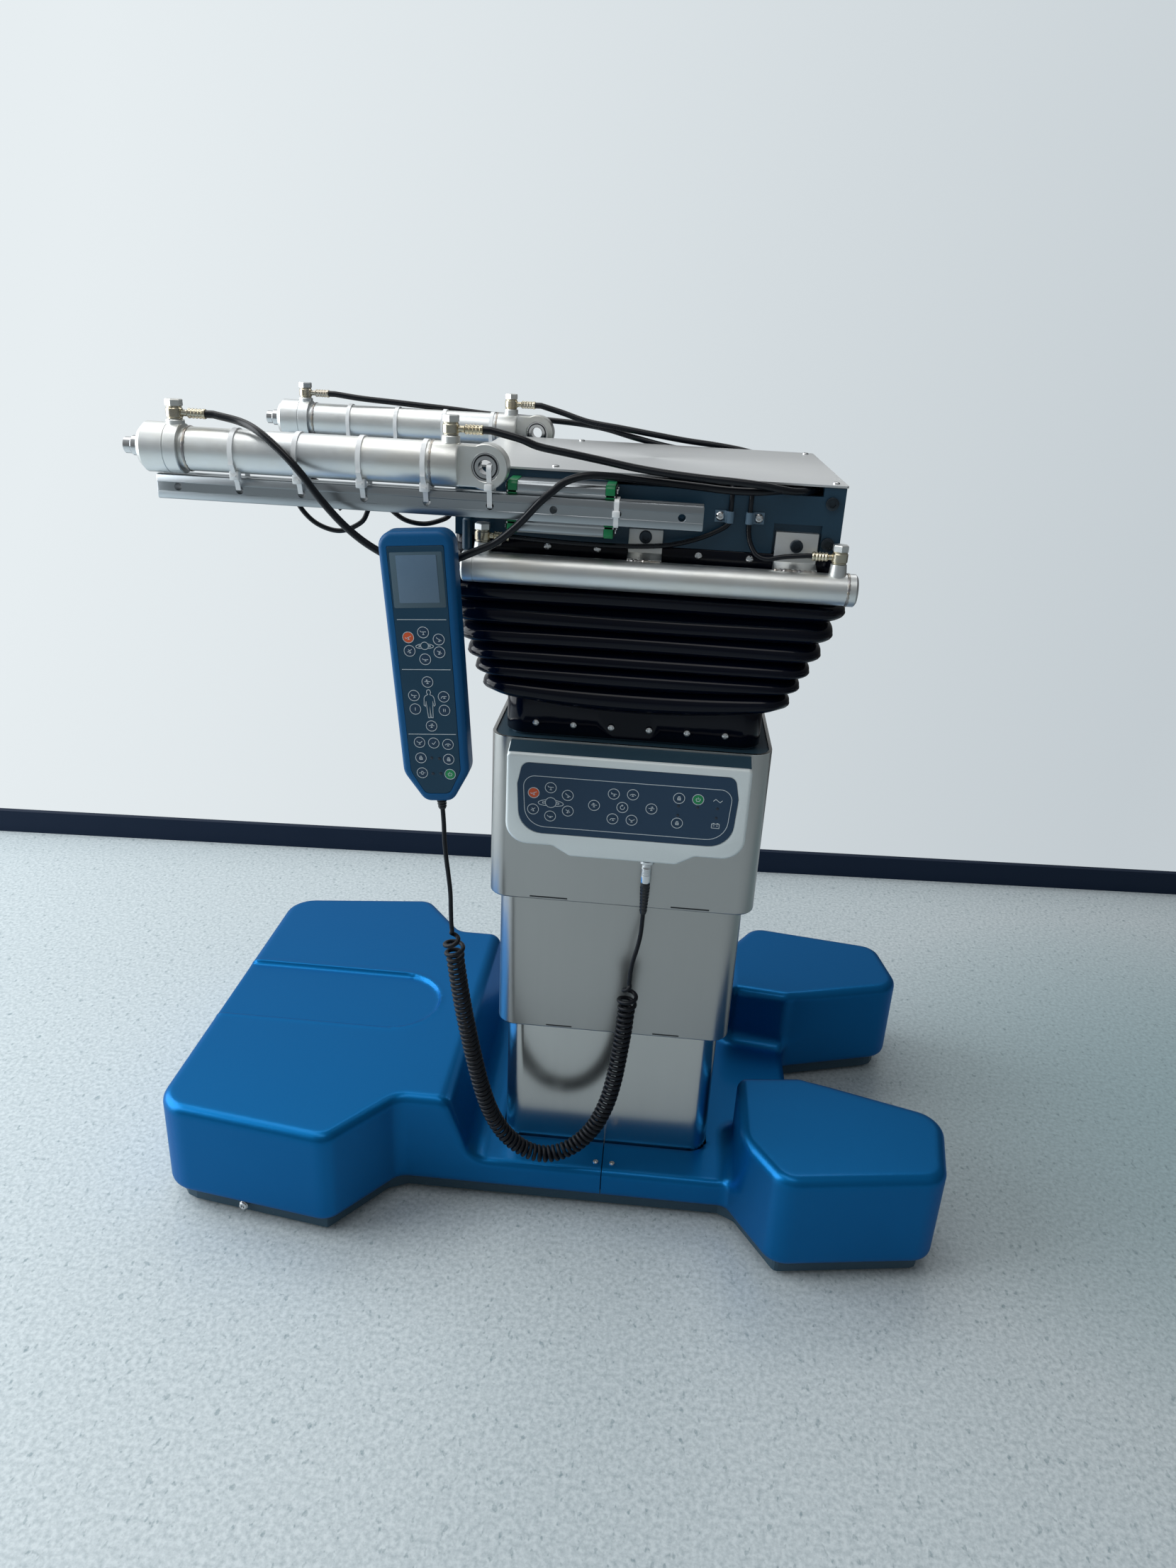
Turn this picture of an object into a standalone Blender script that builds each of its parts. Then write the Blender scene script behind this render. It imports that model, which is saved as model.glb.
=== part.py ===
"""Electro-hydraulic operating table: base, lifting column, gimballed slide frame and handset.

Metres, +Z up, +X along the table. The origin lies on the floor under the column's axis.
"""
import math

import bmesh
import bpy
import numpy as np
from mathutils import Matrix, Vector

# Fits shared by the whole table
SEAT_GAP = 0.0003
RUN_GAP = 0.0004
STOP_GAP = 0.002
CUT_OVERRUN = 0.003
SMALL_RADIUS = 0.0004

# Levels of the column, from the floor up
PLATE_BOTTOM = 0.006
PLATE_THICKNESS = 0.020
DECK_TOP = 0.064
BLOCK_TOP = 0.150
MIDDLE_SHELL_BOTTOM = 0.235
MIDDLE_SHELL_SHOWN = 0.177
UPPER_SHELL_HEIGHT = 0.190
UPPER_SHELL_BOTTOM = MIDDLE_SHELL_BOTTOM + MIDDLE_SHELL_SHOWN
UPPER_SHELL_TOP = UPPER_SHELL_BOTTOM + UPPER_SHELL_HEIGHT
LIFT_TRAVEL = 0.325
HEAD_RISE = 0.046
PIVOT_RISE = 0.087
FRAME_RISE = 0.0563
SIDE_PLATE_RISE = 0.0167
HEAD_TOP = UPPER_SHELL_TOP + HEAD_RISE
PIVOT_HEIGHT = HEAD_TOP + PIVOT_RISE
FRAME_BOTTOM = PIVOT_HEIGHT + FRAME_RISE
SIDE_PLATE_BOTTOM = FRAME_BOTTOM + SIDE_PLATE_RISE

# Half sizes of the column's upper shell
UPPER_HALF_X = 0.1482
UPPER_HALF_Y = 0.1639

# Base outline, seen from above
BLOCK_END = 0.5235
SHOULDER = 0.311
SHOULDER_HALF = 0.281
BLOCK_END_TAPER = 0.032
NECK = 0.247
DECK_MARGIN = 0.0331
DECK_HALF = UPPER_HALF_Y + DECK_MARGIN
BLOCK_END_HALF = SHOULDER_HALF - BLOCK_END_TAPER
BLOCK_INNER = 0.188
BLOCK_FOOT = 0.160
DECK_END = 0.2395
TOE_ROOT = 0.1506
TOE_INNER = 0.160
TOE_TIP = 0.4064
TOE_FACE = 0.387
TOE_SHOULDER = 0.2013
TOE_NECK = 0.1587
TOE_SHOULDER_INSET = 0.0014
TOE_NECK_INSET = 0.0708
TOE_FACE_INSET = 0.0305
TOE_TIP_INSET = 0.1415
TOE_INNER_INSET = 0.183
TOE_CREST_INSET = 0.1934
TOE_SHOULDER_HALF = SHOULDER_HALF - TOE_SHOULDER_INSET
TOE_NECK_HALF = SHOULDER_HALF - TOE_NECK_INSET
TOE_FACE_HALF = SHOULDER_HALF - TOE_FACE_INSET
TOE_TIP_HALF = SHOULDER_HALF - TOE_TIP_INSET
TOE_INNER_HALF = SHOULDER_HALF - TOE_INNER_INSET
TOE_CREST_HALF = SHOULDER_HALF - TOE_CREST_INSET
END_RADIUS = 0.042
SHOULDER_RADIUS = 0.014
NECK_RADIUS = 0.016
BLOCK_INNER_RADIUS = 0.018
TOE_TIP_RADIUS = 0.036
TOE_FACE_RADIUS = 0.024
TOE_SHOULDER_RADIUS = 0.020
TOE_NECK_RADIUS = 0.010
TOE_ROOT_RADIUS = 0.012
TOE_CREST_RADIUS = 0.045

# Base covers
COVER_WALL = 0.005
COVER_LIP = 0.022
COVER_LIP_HEIGHT = 0.005
COVER_EDGE_RADIUS = 0.012
COVER_FOOT_RADIUS = 0.008
DECK_EDGE_RADIUS = 0.008
SHELL_OPENING_GAP = 0.001
SLOT_HALF = 0.063
SLOT_END = 0.239
SLOT_DEPTH = 0.004
PLATE_INSET = 0.013

# Floor-lock feet
FOOT_PAD_RADIUS = 0.022
FOOT_PAD_HEIGHT = 0.005
FOOT_STEM_RADIUS = 0.008
FOOT_STEM_TOP = 0.070
FOOT_TRAVEL = 0.008
FOOT_JACK_RADIUS = 0.016
FOOT_JACK_TOP = 0.060
FOOT_BLOCK_INSET_X = 0.0685
FOOT_BLOCK_INSET_Y = 0.096
FOOT_TOE_INSET_X = 0.067
FOOT_TOE_INSET_Y = 0.086
FOOT_BLOCK_X = BLOCK_END - FOOT_BLOCK_INSET_X
FOOT_BLOCK_Y = SHOULDER_HALF - FOOT_BLOCK_INSET_Y
FOOT_TOE_X = TOE_FACE - FOOT_TOE_INSET_X
FOOT_TOE_Y = SHOULDER_HALF - FOOT_TOE_INSET_Y

# Earth terminal on the plate's front edge
TERMINAL_RADIUS = 0.0055
TERMINAL_LENGTH = 0.007
TERMINAL_SHARE = 0.47

# Column shells
SHELL_RADIUS = 0.022
SHELL_WALL = 0.002
SHELL_STEP = 0.0108
SHELL_LIP_HEIGHT = 0.004
SHELL_FOOT_ROUND = 0.0025

# Telescopic lift cylinder
LIFT_BARREL_RADIUS = 0.055
LIFT_BARREL_WALL = 0.005
LIFT_STAGE_WALL = 0.010
LIFT_FLOOR = 0.010

# Column head, gimbal and lugs
HEAD_PLATE = 0.007
HEAD_HALF_X = 0.1295
HEAD_HALF_Y = 0.1445
HEAD_RADIUS = 0.012
HEAD_LUG_INNER = 0.062
LUG_THICKNESS = 0.012
LUG_HALF = 0.024
LUG_CREST = 0.023
FRAME_LUG_INNER = 0.092
SHAFT_RADIUS = 0.012
CROSS_HALF = 0.022
SHAFT_OVERHANG = 0.001

# Bellows
BELLOWS_WALL = 0.0052
BELLOWS_NECK_HEIGHT = 0.040
BELLOWS_NECK_RISE = 0.0015
BELLOWS_NECK_BOTTOM = UPPER_SHELL_TOP + BELLOWS_NECK_RISE
BELLOWS_TOP_RIDGE_X = 0.206
BELLOWS_LOW_RIDGE_X = 0.160
BELLOWS_BULGE_Y = 0.0165
BELLOWS_FOLD = 0.010
BELLOWS_RIDGE_RADIUS = 0.030
BELLOWS_FOLD_SHARES = (0.09, 0.25, 0.40, 0.545, 0.68, 0.795, 0.895)

# Slide frame
FRAME_HALF_X = 0.187
FRAME_HALF_Y = 0.154
FRAME_END_WALL = 0.008
FRAME_FOOT_STEP = 0.005
SIDE_PLATE_THICKNESS = 0.010
SIDE_PLATE_HEIGHT = 0.0648
COVER_RISE = 0.0025
SIDE_PLATE_TOP = SIDE_PLATE_BOTTOM + SIDE_PLATE_HEIGHT
COVER_TOP = SIDE_PLATE_TOP + COVER_RISE
COVER_SHEET = 0.002
COVER_OVERHANG = 0.0014
HOSE_SLOT_START = 0.031
HOSE_SLOT_INSET = 0.021
HOSE_SLOT_END = FRAME_HALF_X - HOSE_SLOT_INSET
HOSE_SLOT_DEPTH = 0.0088
POCKET_INSET = 0.0185
POCKET_WIDTH = 0.046
POCKET_END = FRAME_HALF_X - POCKET_INSET
POCKET_START = POCKET_END - POCKET_WIDTH
POCKET_HEIGHT = 0.029
POCKET_TOP = SIDE_PLATE_BOTTOM + POCKET_HEIGHT
POCKET_DEPTH = 0.005

# Guide rails and carriages
RAIL_HOLE_PITCH = 0.060
RAIL_HOLES = 9
RAIL_END = 0.020
RAIL_FIRST_HOLE = 0.4466
RAIL_STANDOFF = 0.040
RAIL_RISE = 0.0345
RAIL_FACE = FRAME_HALF_Y + RAIL_STANDOFF
RAIL_CENTRE = SIDE_PLATE_BOTTOM + RAIL_RISE
RAIL_HALF = 0.0115
RAIL_DEPTH = 0.022
RAIL_HOLE_RADIUS = 0.0035
RAIL_CHAMFER = 0.001
RAIL_WAIST = 0.003
RAIL_WAIST_START = 0.008
RAIL_WAIST_END = 0.0165
RAIL_BAND_HALF = 0.0040
RAIL_BAND_DEPTH = 0.0004
CARRIAGE_HALF = 0.024
CARRIAGE_START = 0.1325
CARRIAGE_LENGTH = 0.104
CARRIAGE_LIP = 0.0055
CARRIAGE_CHAMFER = 0.0030

# Tabletop cylinders strapped on the rails
ARM_SETBACK = 0.0038
ARM_RISE = 0.0355
ARM_AXIS_Y = RAIL_FACE - ARM_SETBACK
ARM_AXIS_Z = RAIL_CENTRE + ARM_RISE
ARM_GLAND_START = 0.477
ARM_GLAND_END = 0.437
ARM_BARREL_END = 0.200
ARM_CAP_END = 0.1775
ARM_EYE = 0.1503
ARM_GLAND_RADIUS = 0.023
ARM_GLAND_NOSE = 0.0185
ARM_GLAND_CHAMFER = 0.006
ARM_NECK_RADIUS = 0.0185
ARM_NECK_LENGTH = 0.005
ARM_BARREL_RADIUS = 0.020
ARM_CAP_RADIUS = 0.0206
ARM_BORE_RADIUS = 0.016
ARM_BORE_END = 0.207
ARM_EYE_RADIUS = 0.0206
ARM_EYE_HALF = 0.010
ROD_RADIUS = 0.0092
ROD_TIP = 0.495
ROD_TIP_HEX = 0.0078
ROD_TIP_HEX_LENGTH = 0.007
PISTON_LENGTH = 0.014
BEARING_RADIUS = 0.0126
BEARING_BORE = 0.0065
BEARING_HALF = 0.009
BEARING_RACE_RADIUS = 0.0105
BEARING_RACE_DEPTH = 0.0012

# Translation cylinder below the frame's front edge
SHIFT_STANDOFF = 0.0194
SHIFT_DROP = 0.0268
SHIFT_AXIS_Y = FRAME_HALF_Y + SHIFT_STANDOFF
SHIFT_AXIS_Z = SIDE_PLATE_BOTTOM - SHIFT_DROP
SHIFT_RADIUS = 0.015
SHIFT_BORE = 0.0115
SHIFT_LEAD = 0.0439
SHIFT_OVERHANG = 0.0184
SHIFT_CAP_LENGTH = 0.0089
SHIFT_START = CARRIAGE_START + SHIFT_LEAD
SHIFT_END = FRAME_HALF_X + SHIFT_OVERHANG
SHIFT_CAP_START = SHIFT_END - SHIFT_CAP_LENGTH
SHIFT_CAP_STEP = 0.0006
SHIFT_NECK = 0.0020
SHIFT_ROD_RADIUS = 0.006
SHIFT_ROD_SHOWN = 0.0356
SHIFT_PISTON_INSET = 0.032
SHIFT_ROD_TIP = SHIFT_START + SHIFT_ROD_SHOWN
SHIFT_ROD_END = FRAME_HALF_X - SHIFT_PISTON_INSET
TAB_THICKNESS = 0.0035
TAB_LEFT_START = -0.016
TAB_LEFT_END = 0.0173
TAB_LEFT_HEIGHT = 0.0431
TAB_LEFT_TOP = SHIFT_AXIS_Z + TAB_LEFT_HEIGHT
TAB_POCKET_GAP = 0.0025
TAB_RIGHT_START = POCKET_START + TAB_POCKET_GAP
TAB_RIGHT_END = POCKET_END - TAB_POCKET_GAP
TAB_RIGHT_HEIGHT = 0.0485
TAB_SCREW_RISE = 0.0361
TAB_RIGHT_TOP = SHIFT_AXIS_Z + TAB_RIGHT_HEIGHT
TAB_SCREW_HEIGHT = SHIFT_AXIS_Z + TAB_SCREW_RISE
TAB_SCREW_RADIUS = 0.0065
TAB_SCREW_HEAD = 0.005

# Banjo fittings
BANJO_RING_RADIUS = 0.0078
BANJO_RING_HEIGHT = 0.0088
BANJO_HEX_RADIUS = 0.0080
BANJO_HEX_HEIGHT = 0.0065
BANJO_WASHER_RADIUS = 0.0066
BANJO_WASHER_HEIGHT = 0.0012
BANJO_BOSS_RADIUS = 0.0085
BANJO_BOSS_LIFT = 0.0028
SHIFT_BOSS_LIFT = 0.0095
FERRULE_RADIUS = 0.0046
FERRULE_STEM = 0.0030
FERRULE_STEM_SHARE = 0.45
ARM_FERRULE_REACH = 0.0300
SHIFT_FERRULE_REACH = 0.0260
ARM_BANJO_LEFT = 0.4446
ARM_BANJO_RIGHT = 0.1840
SHIFT_BANJO_LEFT_LEAD = 0.024
SHIFT_BANJO_RIGHT_INSET = 0.0015
SHIFT_BANJO_LEFT = -(CARRIAGE_START + SHIFT_BANJO_LEFT_LEAD)
SHIFT_BANJO_RIGHT = FRAME_HALF_X - SHIFT_BANJO_RIGHT_INSET

# Hoses
HOSE_RADIUS = 0.0036
THIN_HOSE_RADIUS = 0.0024
HOSE_SPACING = 0.0215
THIN_HOSE_SPACING = 0.0100
ROUTE_REACH = 0.166
SPARE_EXIT_INSET = 0.005
SPARE_EXIT_Y = FRAME_HALF_Y - SPARE_EXIT_INSET
SPARE_EXIT_RISE = 0.018
SPARE_EXIT_Z = SIDE_PLATE_BOTTOM + SPARE_EXIT_RISE
CLIP_HALF_WIDTH = 0.004
CLIP_HALF_HEIGHT = 0.0060
CLIP_SHEET = 0.0012
CLIP_SCREW_RADIUS = 0.0048
CLIP_SCREW_HEIGHT = 0.0026
CLIP_RISE = 0.0328
CLIP_HEIGHT = SIDE_PLATE_BOTTOM + CLIP_RISE
CLIP_LEFT_SHARE = 0.48
CLIP_RIGHT_SHARE = 0.59
CLIP_LEFT_HOSE = CLIP_LEFT_SHARE * HOSE_SLOT_END
CLIP_RIGHT_HOSE = CLIP_RIGHT_SHARE * HOSE_SLOT_END
CLIP_SCREW_OFFSET = 0.0092
CLIP_LEFT_SCREW = CLIP_LEFT_HOSE - CLIP_SCREW_OFFSET
CLIP_RIGHT_SCREW = CLIP_RIGHT_HOSE + CLIP_SCREW_OFFSET

# Control panel on the column
PANEL_HALF = 0.1270
PANEL_DEPTH = 0.0220
PANEL_TOP_DROP = 0.0080
PANEL_HEIGHT = 0.1040
PANEL_TONGUE_DROP = 0.0110
PANEL_TONGUE_HALF = 0.0570
PANEL_TONGUE_SLOPE = 0.0190
PANEL_FACE_TOP = UPPER_SHELL_TOP - PANEL_TOP_DROP
PANEL_BOTTOM = PANEL_FACE_TOP - PANEL_HEIGHT
PANEL_TONGUE_BOTTOM = PANEL_BOTTOM - PANEL_TONGUE_DROP
PANEL_CORNER = 0.0240
PANEL_TOP_CORNER = 0.0030
PANEL_TONGUE_ROUND = 0.0100
PANEL_EDGE = 0.0030
KEYPAD_RISE = 0.0148
KEYPAD_HEIGHT = 0.0794
KEYPAD_BOTTOM = PANEL_BOTTOM + KEYPAD_RISE
KEYPAD_TOP = KEYPAD_BOTTOM + KEYPAD_HEIGHT
KEYPAD_HALF = 0.1150
KEYPAD_TOP_HALF = 0.1100
KEYPAD_LOW_HALF = 0.1120
KEYPAD_WAIST = 0.0240
KEYPAD_CORNER = 0.0260
KEYPAD_TOP_CORNER = 0.0090
KEYPAD_THICKNESS = 0.0008
KEYPAD_RECESS = 0.0006
PLUG_X = 0.0260
PLUG_STANDOFF = 0.0121
PLUG_Y = UPPER_HALF_Y + PLUG_STANDOFF
SOCKET_RADIUS = 0.0085
SOCKET_HEIGHT = 0.0040
SOCKET_BORE = 0.0064
PLUG_RADIUS = 0.0060
PLUG_GRIP_DROP = 0.0275
PLUG_BOOT_LENGTH = 0.0390
PLUG_GRIP_BOTTOM = PANEL_TONGUE_BOTTOM - PLUG_GRIP_DROP
PLUG_BOOT_BOTTOM = PLUG_GRIP_BOTTOM - PLUG_BOOT_LENGTH
PLUG_BOOT_RADIUS = 0.0052
PLUG_BOOT_TIP = 0.0034

# Handset
HANDSET_TOP_HALF = 0.0352
HANDSET_LOW_HALF = 0.0331
HANDSET_FOOT_HALF = 0.0140
HANDSET_LENGTH = 0.2710
HANDSET_TAPER_LENGTH = 0.2400
HANDSET_THICKNESS = 0.0280
HANDSET_STANDOFF = 0.0460
HANDSET_TOP_X = 0.2090
HANDSET_RISE = 0.0182
HANDSET_FRONT = RAIL_FACE + HANDSET_STANDOFF
HANDSET_TOP_Z = SIDE_PLATE_BOTTOM + HANDSET_RISE
HANDSET_TILT = math.radians(4.7)
HANDSET_CORNER = 0.0140
HANDSET_LOW_CORNER = 0.0200
HANDSET_FOOT_CORNER = 0.0120
HANDSET_EDGE = 0.0050
HANDSET_FACE_BORDER = 0.0085
HANDSET_FACE_THICKNESS = 0.0008
HANDSET_FACE_RECESS = 0.0006
SCREEN_HALF = 0.0245
SCREEN_TOP = 0.0205
SCREEN_HEIGHT = 0.0540
SCREEN_CORNER = 0.0015
SCREEN_THICKNESS = 0.0014
HOOK_HALF = 0.0060
HOOK_REACH = 0.0150
HOOK_SHEET = 0.0030
HOOK_DROP = 0.0120
HOOK_GAP = 0.0015
RELIEF_RADIUS = 0.0050
RELIEF_TIP = 0.0034
RELIEF_LENGTH = 0.0130

# Handset cord
CORD_RADIUS = 0.0024
CORD_SPACING = 0.0135
CURLS = 90
POINTS_PER_CURL = 8
CURL_RADIUS = 0.0076
CURL_FLARE = 1.5

# Parts inside the base
PACK_INSET = 0.1435
PACK_X = BLOCK_END - PACK_INSET
PACK_HALF_X = 0.070
PACK_HALF_Y = 0.090
PACK_HEIGHT = 0.070
PACK_CORNER = 0.010
MOTOR_RADIUS = 0.036
MOTOR_HEIGHT = 0.036
BATTERY_INSET = 0.140
BATTERY_X = PACK_X - BATTERY_INSET
BATTERY_HALF_X = 0.045
BATTERY_HALF_Y = 0.085
BATTERY_HEIGHT = 0.090

# Fineness of the round shapes
CORNER_SAG = 0.0010
SHELL_STEPS = 3
FITTING_SIDES = 10
ROUND_SIDES = 16
SMALL_SIDES = 12
HOLE_SIDES = 8
HEX_SIDES = 6
HOSE_BEVEL_STEPS = 2
CURL_BEVEL_STEPS = 1
SMOOTH_ANGLE = math.radians(35)

# Levels and places that follow from the sizes above
PLATE_TOP = PLATE_BOTTOM + PLATE_THICKNESS
FLOOR_LEVEL = PLATE_TOP + SEAT_GAP
HEAD_BOTTOM = UPPER_SHELL_TOP - HEAD_PLATE - 0.5 * STOP_GAP
MIDDLE_SHELL_TOP = HEAD_BOTTOM - LIFT_TRAVEL / 2 - STOP_GAP
LOWER_SHELL_TOP = HEAD_BOTTOM - LIFT_TRAVEL - STOP_GAP
MIDDLE_HALF_X = UPPER_HALF_X - SHELL_STEP
MIDDLE_HALF_Y = UPPER_HALF_Y - SHELL_STEP
LOWER_HALF_X = MIDDLE_HALF_X - SHELL_STEP
LOWER_HALF_Y = MIDDLE_HALF_Y - SHELL_STEP
PANEL_BACK = UPPER_HALF_Y + SEAT_GAP
PANEL_FACE = PANEL_BACK + PANEL_DEPTH
SIDE_PLATE_INNER = FRAME_HALF_Y - SIDE_PLATE_THICKNESS
TRAY_HALF_Y = SIDE_PLATE_INNER - SEAT_GAP
RAIL_BACK = RAIL_FACE - RAIL_DEPTH
RAIL_LEFT = -RAIL_FIRST_HOLE - RAIL_END
RAIL_RIGHT = RAIL_LEFT + 2 * RAIL_END + (RAIL_HOLES - 1) * RAIL_HOLE_PITCH


def material(name, colour, roughness, metallic):
    """A plain surface for one kind of piece."""
    made = bpy.data.materials.new(name)
    made.use_nodes = True
    shader = made.node_tree.nodes["Principled BSDF"]
    shader.inputs["Base Color"].default_value = (*colour, 1.0)
    shader.inputs["Roughness"].default_value = roughness
    shader.inputs["Metallic"].default_value = metallic
    return made


def empty(name, at, parent=None):
    """A guide on a joint's axis, which carries the pieces that move there."""
    guide = bpy.data.objects.new(name, None)
    bpy.context.scene.collection.objects.link(guide)
    guide.parent = parent
    guide.location = Vector(at) - world_place(parent)
    return guide


def world_place(parent):
    """Where an unturned guide stands."""
    place = Vector((0, 0, 0))
    while parent is not None:
        place += parent.location
        parent = parent.parent
    return place


def add(name, mesh_data, finish, at=(0, 0, 0), turn=(0, 0, 0), parent=None, smooth=True):
    """Makes one named piece from a bmesh whose points are measured from its place."""
    bmesh.ops.recalc_face_normals(mesh_data, faces=mesh_data.faces[:])
    mesh = bpy.data.meshes.new(name)
    mesh_data.to_mesh(mesh)
    mesh_data.free()
    if smooth:
        mesh.shade_smooth()
        mesh.set_sharp_from_angle(angle=SMOOTH_ANGLE)
    mesh.materials.append(finish)
    piece = bpy.data.objects.new(name, mesh)
    bpy.context.scene.collection.objects.link(piece)
    piece.parent = parent
    piece.location = Vector(at) - world_place(parent)
    piece.rotation_euler = turn
    return piece


def guide_solid(name, mesh_data, at=(0, 0, 0), turn=(0, 0, 0)):
    """A solid that only cuts or fills out another piece."""
    solid = add(name, mesh_data, GUIDE, at, turn, smooth=False)
    solid.hide_render = True
    solid.display_type = "WIRE"
    return solid


def combine(piece, other, operation):
    """Joins a guide to a piece or cuts it away."""
    change = piece.modifiers.new(operation.title(), "BOOLEAN")
    change.operation = operation
    change.solver = "EXACT"
    change.object = other
    return change


def loft(rings, wrap=False):
    """Skins a row of rings of points. A ring of one point closes to a tip."""
    made = bmesh.new()
    rows = [[made.verts.new(point) for point in ring] for ring in rings]
    pairs = list(zip(rows, rows[1:]))
    if wrap:
        pairs.append((rows[-1], rows[0]))
    for low, high in pairs:
        sides = max(len(low), len(high))
        for i in range(sides):
            j = (i + 1) % sides
            if len(low) == 1:
                made.faces.new((low[0], high[j], high[i]))
            elif len(high) == 1:
                made.faces.new((low[i], low[j], high[0]))
            else:
                made.faces.new((low[i], low[j], high[j], high[i]))
    if not wrap:
        for row in (rows[0], rows[-1]):
            if len(row) > 2:
                made.faces.new(row)
    return made


def corner_steps(angle, radius):
    """How many chords turn a corner within the allowed sag."""
    if radius <= CORNER_SAG:
        return 1
    chord = 2 * math.acos(1 - CORNER_SAG / radius)
    return max(1, round(abs(angle) / chord))


def rounded(corners, inset=0, steps=None):
    """Closed outline with rounded corners, moved inwards by inset.

    Each corner is x, y and radius, and the corners run counterclockwise.
    """
    count = len(corners)
    shifted = []
    for i in range(count):
        here = Vector(corners[i][:2])
        before = Vector(corners[i - 1][:2])
        after = Vector(corners[(i + 1) % count][:2])
        into = (here - before).normalized()
        out = (after - here).normalized()
        side_in = Vector((-into.y, into.x))
        side_out = Vector((-out.y, out.x))
        bend = into.x * out.y - into.y * out.x
        middle = side_in + side_out
        middle *= inset / (1 + side_in.dot(side_out))
        radius = corners[i][2] - inset if bend > 0 else corners[i][2] + inset
        angle = math.atan2(bend, into.dot(out))
        chords = steps or corner_steps(angle, corners[i][2])
        shifted.append((here + middle, into, out, angle, max(radius, SMALL_RADIUS), chords))
    points = []
    for here, into, out, angle, radius, chords in shifted:
        reach = radius * math.tan(abs(angle) / 2)
        side = 1 if angle > 0 else -1
        centre = here - into * reach + side * Vector((-into.y, into.x)) * radius
        start = here - into * reach - centre
        for step in range(chords + 1):
            turned_by = Matrix.Rotation(angle * step / chords, 2)
            points.append(tuple(centre + turned_by @ start))
    return points


def box_corners(half_x, half_y, radius):
    """Corners of a rounded rectangle about the origin."""
    return [(half_x, -half_y, radius), (half_x, half_y, radius),
            (-half_x, half_y, radius), (-half_x, -half_y, radius)]


def level(points, height):
    """Points of a plan outline at one height."""
    return [(x, y, height) for x, y in points]


def prism(points, bottom, top):
    """A plan outline drawn up from bottom to top."""
    return loft([level(points, bottom), level(points, top)])


def front_prism(points, back, front):
    """An outline in x and z drawn along y."""
    return loft([[(x, back, z) for x, z in points], [(x, front, z) for x, z in points]])


def end_prism(points, left, right):
    """An outline in y and z drawn along x."""
    return loft([[(left, y, z) for y, z in points], [(right, y, z) for y, z in points]])


def block(low, high):
    """A plain box between two corners."""
    (x0, y0, z0), (x1, y1, z1) = low, high
    return prism([(x0, y0), (x1, y0), (x1, y1), (x0, y1)], z0, z1)


def turned(profile, sides=ROUND_SIDES, wrap=False):
    """A shape turned about its own z axis from pairs of height and radius."""
    rings = []
    for height, radius in profile:
        if radius == 0:
            rings.append([(0, 0, height)])
            continue
        ring = []
        for i in range(sides):
            angle = 2 * math.pi * (i + 0.5) / sides
            ring.append((radius * math.cos(angle), radius * math.sin(angle), height))
        rings.append(ring)
    return loft(rings, wrap)


ALONG_X = (0, math.pi / 2, 0)
ALONG_Y = (-math.pi / 2, 0, 0)
TOWARDS_LEFT = (0, -math.pi / 2, 0)


def smooth_points(route, spacing):
    """Even points on a smooth curve through a route."""
    given = [Vector(point) for point in route]
    ends = [2 * given[0] - given[1], *given, 2 * given[-1] - given[-2]]
    fine = []
    parts = 12
    for i in range(1, len(ends) - 2):
        a, b, c, d = ends[i - 1:i + 3]
        for part in range(parts):
            t = part / parts
            fine.append(0.5 * (2 * b + (c - a) * t + (2 * a - 5 * b + 4 * c - d) * t ** 2
                               + (3 * b - a - 3 * c + d) * t ** 3))
    fine.append(given[-1])
    path = np.array(fine)
    walked = np.concatenate([[0], np.cumsum(np.linalg.norm(np.diff(path, axis=0), axis=1))])
    count = max(2, round(walked[-1] / spacing)) + 1
    stops = np.linspace(0, walked[-1], count)
    return np.stack([np.interp(stops, walked, path[:, axis]) for axis in range(3)], axis=1)


def placed(route, side, start=0):
    """A route at its place beside the frame.

    It is given along x from the start, outwards from the side plate's face and up from its bottom edge.
    """
    return [Vector((start + along, side * (FRAME_HALF_Y + out), SIDE_PLATE_BOTTOM + rise))
            for along, out, rise in route]


def to_slot(route):
    """A hose's route, with its stretch right of the middle fitted to the slot that it enters."""
    fit = HOSE_SLOT_END / ROUTE_REACH
    return [(along if along < 0 else along * fit, out, rise) for along, out, rise in route]


def run_points(inner, spacing, radius, start=None, end=None):
    """Even points along a route, straight for one diameter where it meets a fitting.

    The start and end are each a point and the heading in which the run passes it.
    """
    lead = 2 * radius
    inner = list(inner)
    if start:
        inner.insert(0, start[0] + lead * start[1])
    if end:
        inner.append(end[0] - lead * end[1])
    points = list(smooth_points(inner, spacing))
    if start:
        points.insert(0, np.array(start[0]))
    if end:
        points.append(np.array(end[0]))
    return np.array(points)


def tube(name, points, radius, finish, bevel, parent=None):
    """A round tube along a row of points, closed at both ends."""
    curve = bpy.data.curves.new(name, "CURVE")
    curve.dimensions = "3D"
    curve.bevel_depth = radius
    curve.bevel_resolution = bevel
    curve.use_fill_caps = True
    spline = curve.splines.new("POLY")
    spline.points.add(len(points) - 1)
    origin = world_place(parent)
    for target, point in zip(spline.points, points):
        target.co = (*(Vector(point) - origin), 1)
    curve.materials.append(finish)
    piece = bpy.data.objects.new(name, curve)
    bpy.context.scene.collection.objects.link(piece)
    piece.parent = parent
    return piece


for old in list(bpy.data.objects):
    bpy.data.objects.remove(old)

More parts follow.
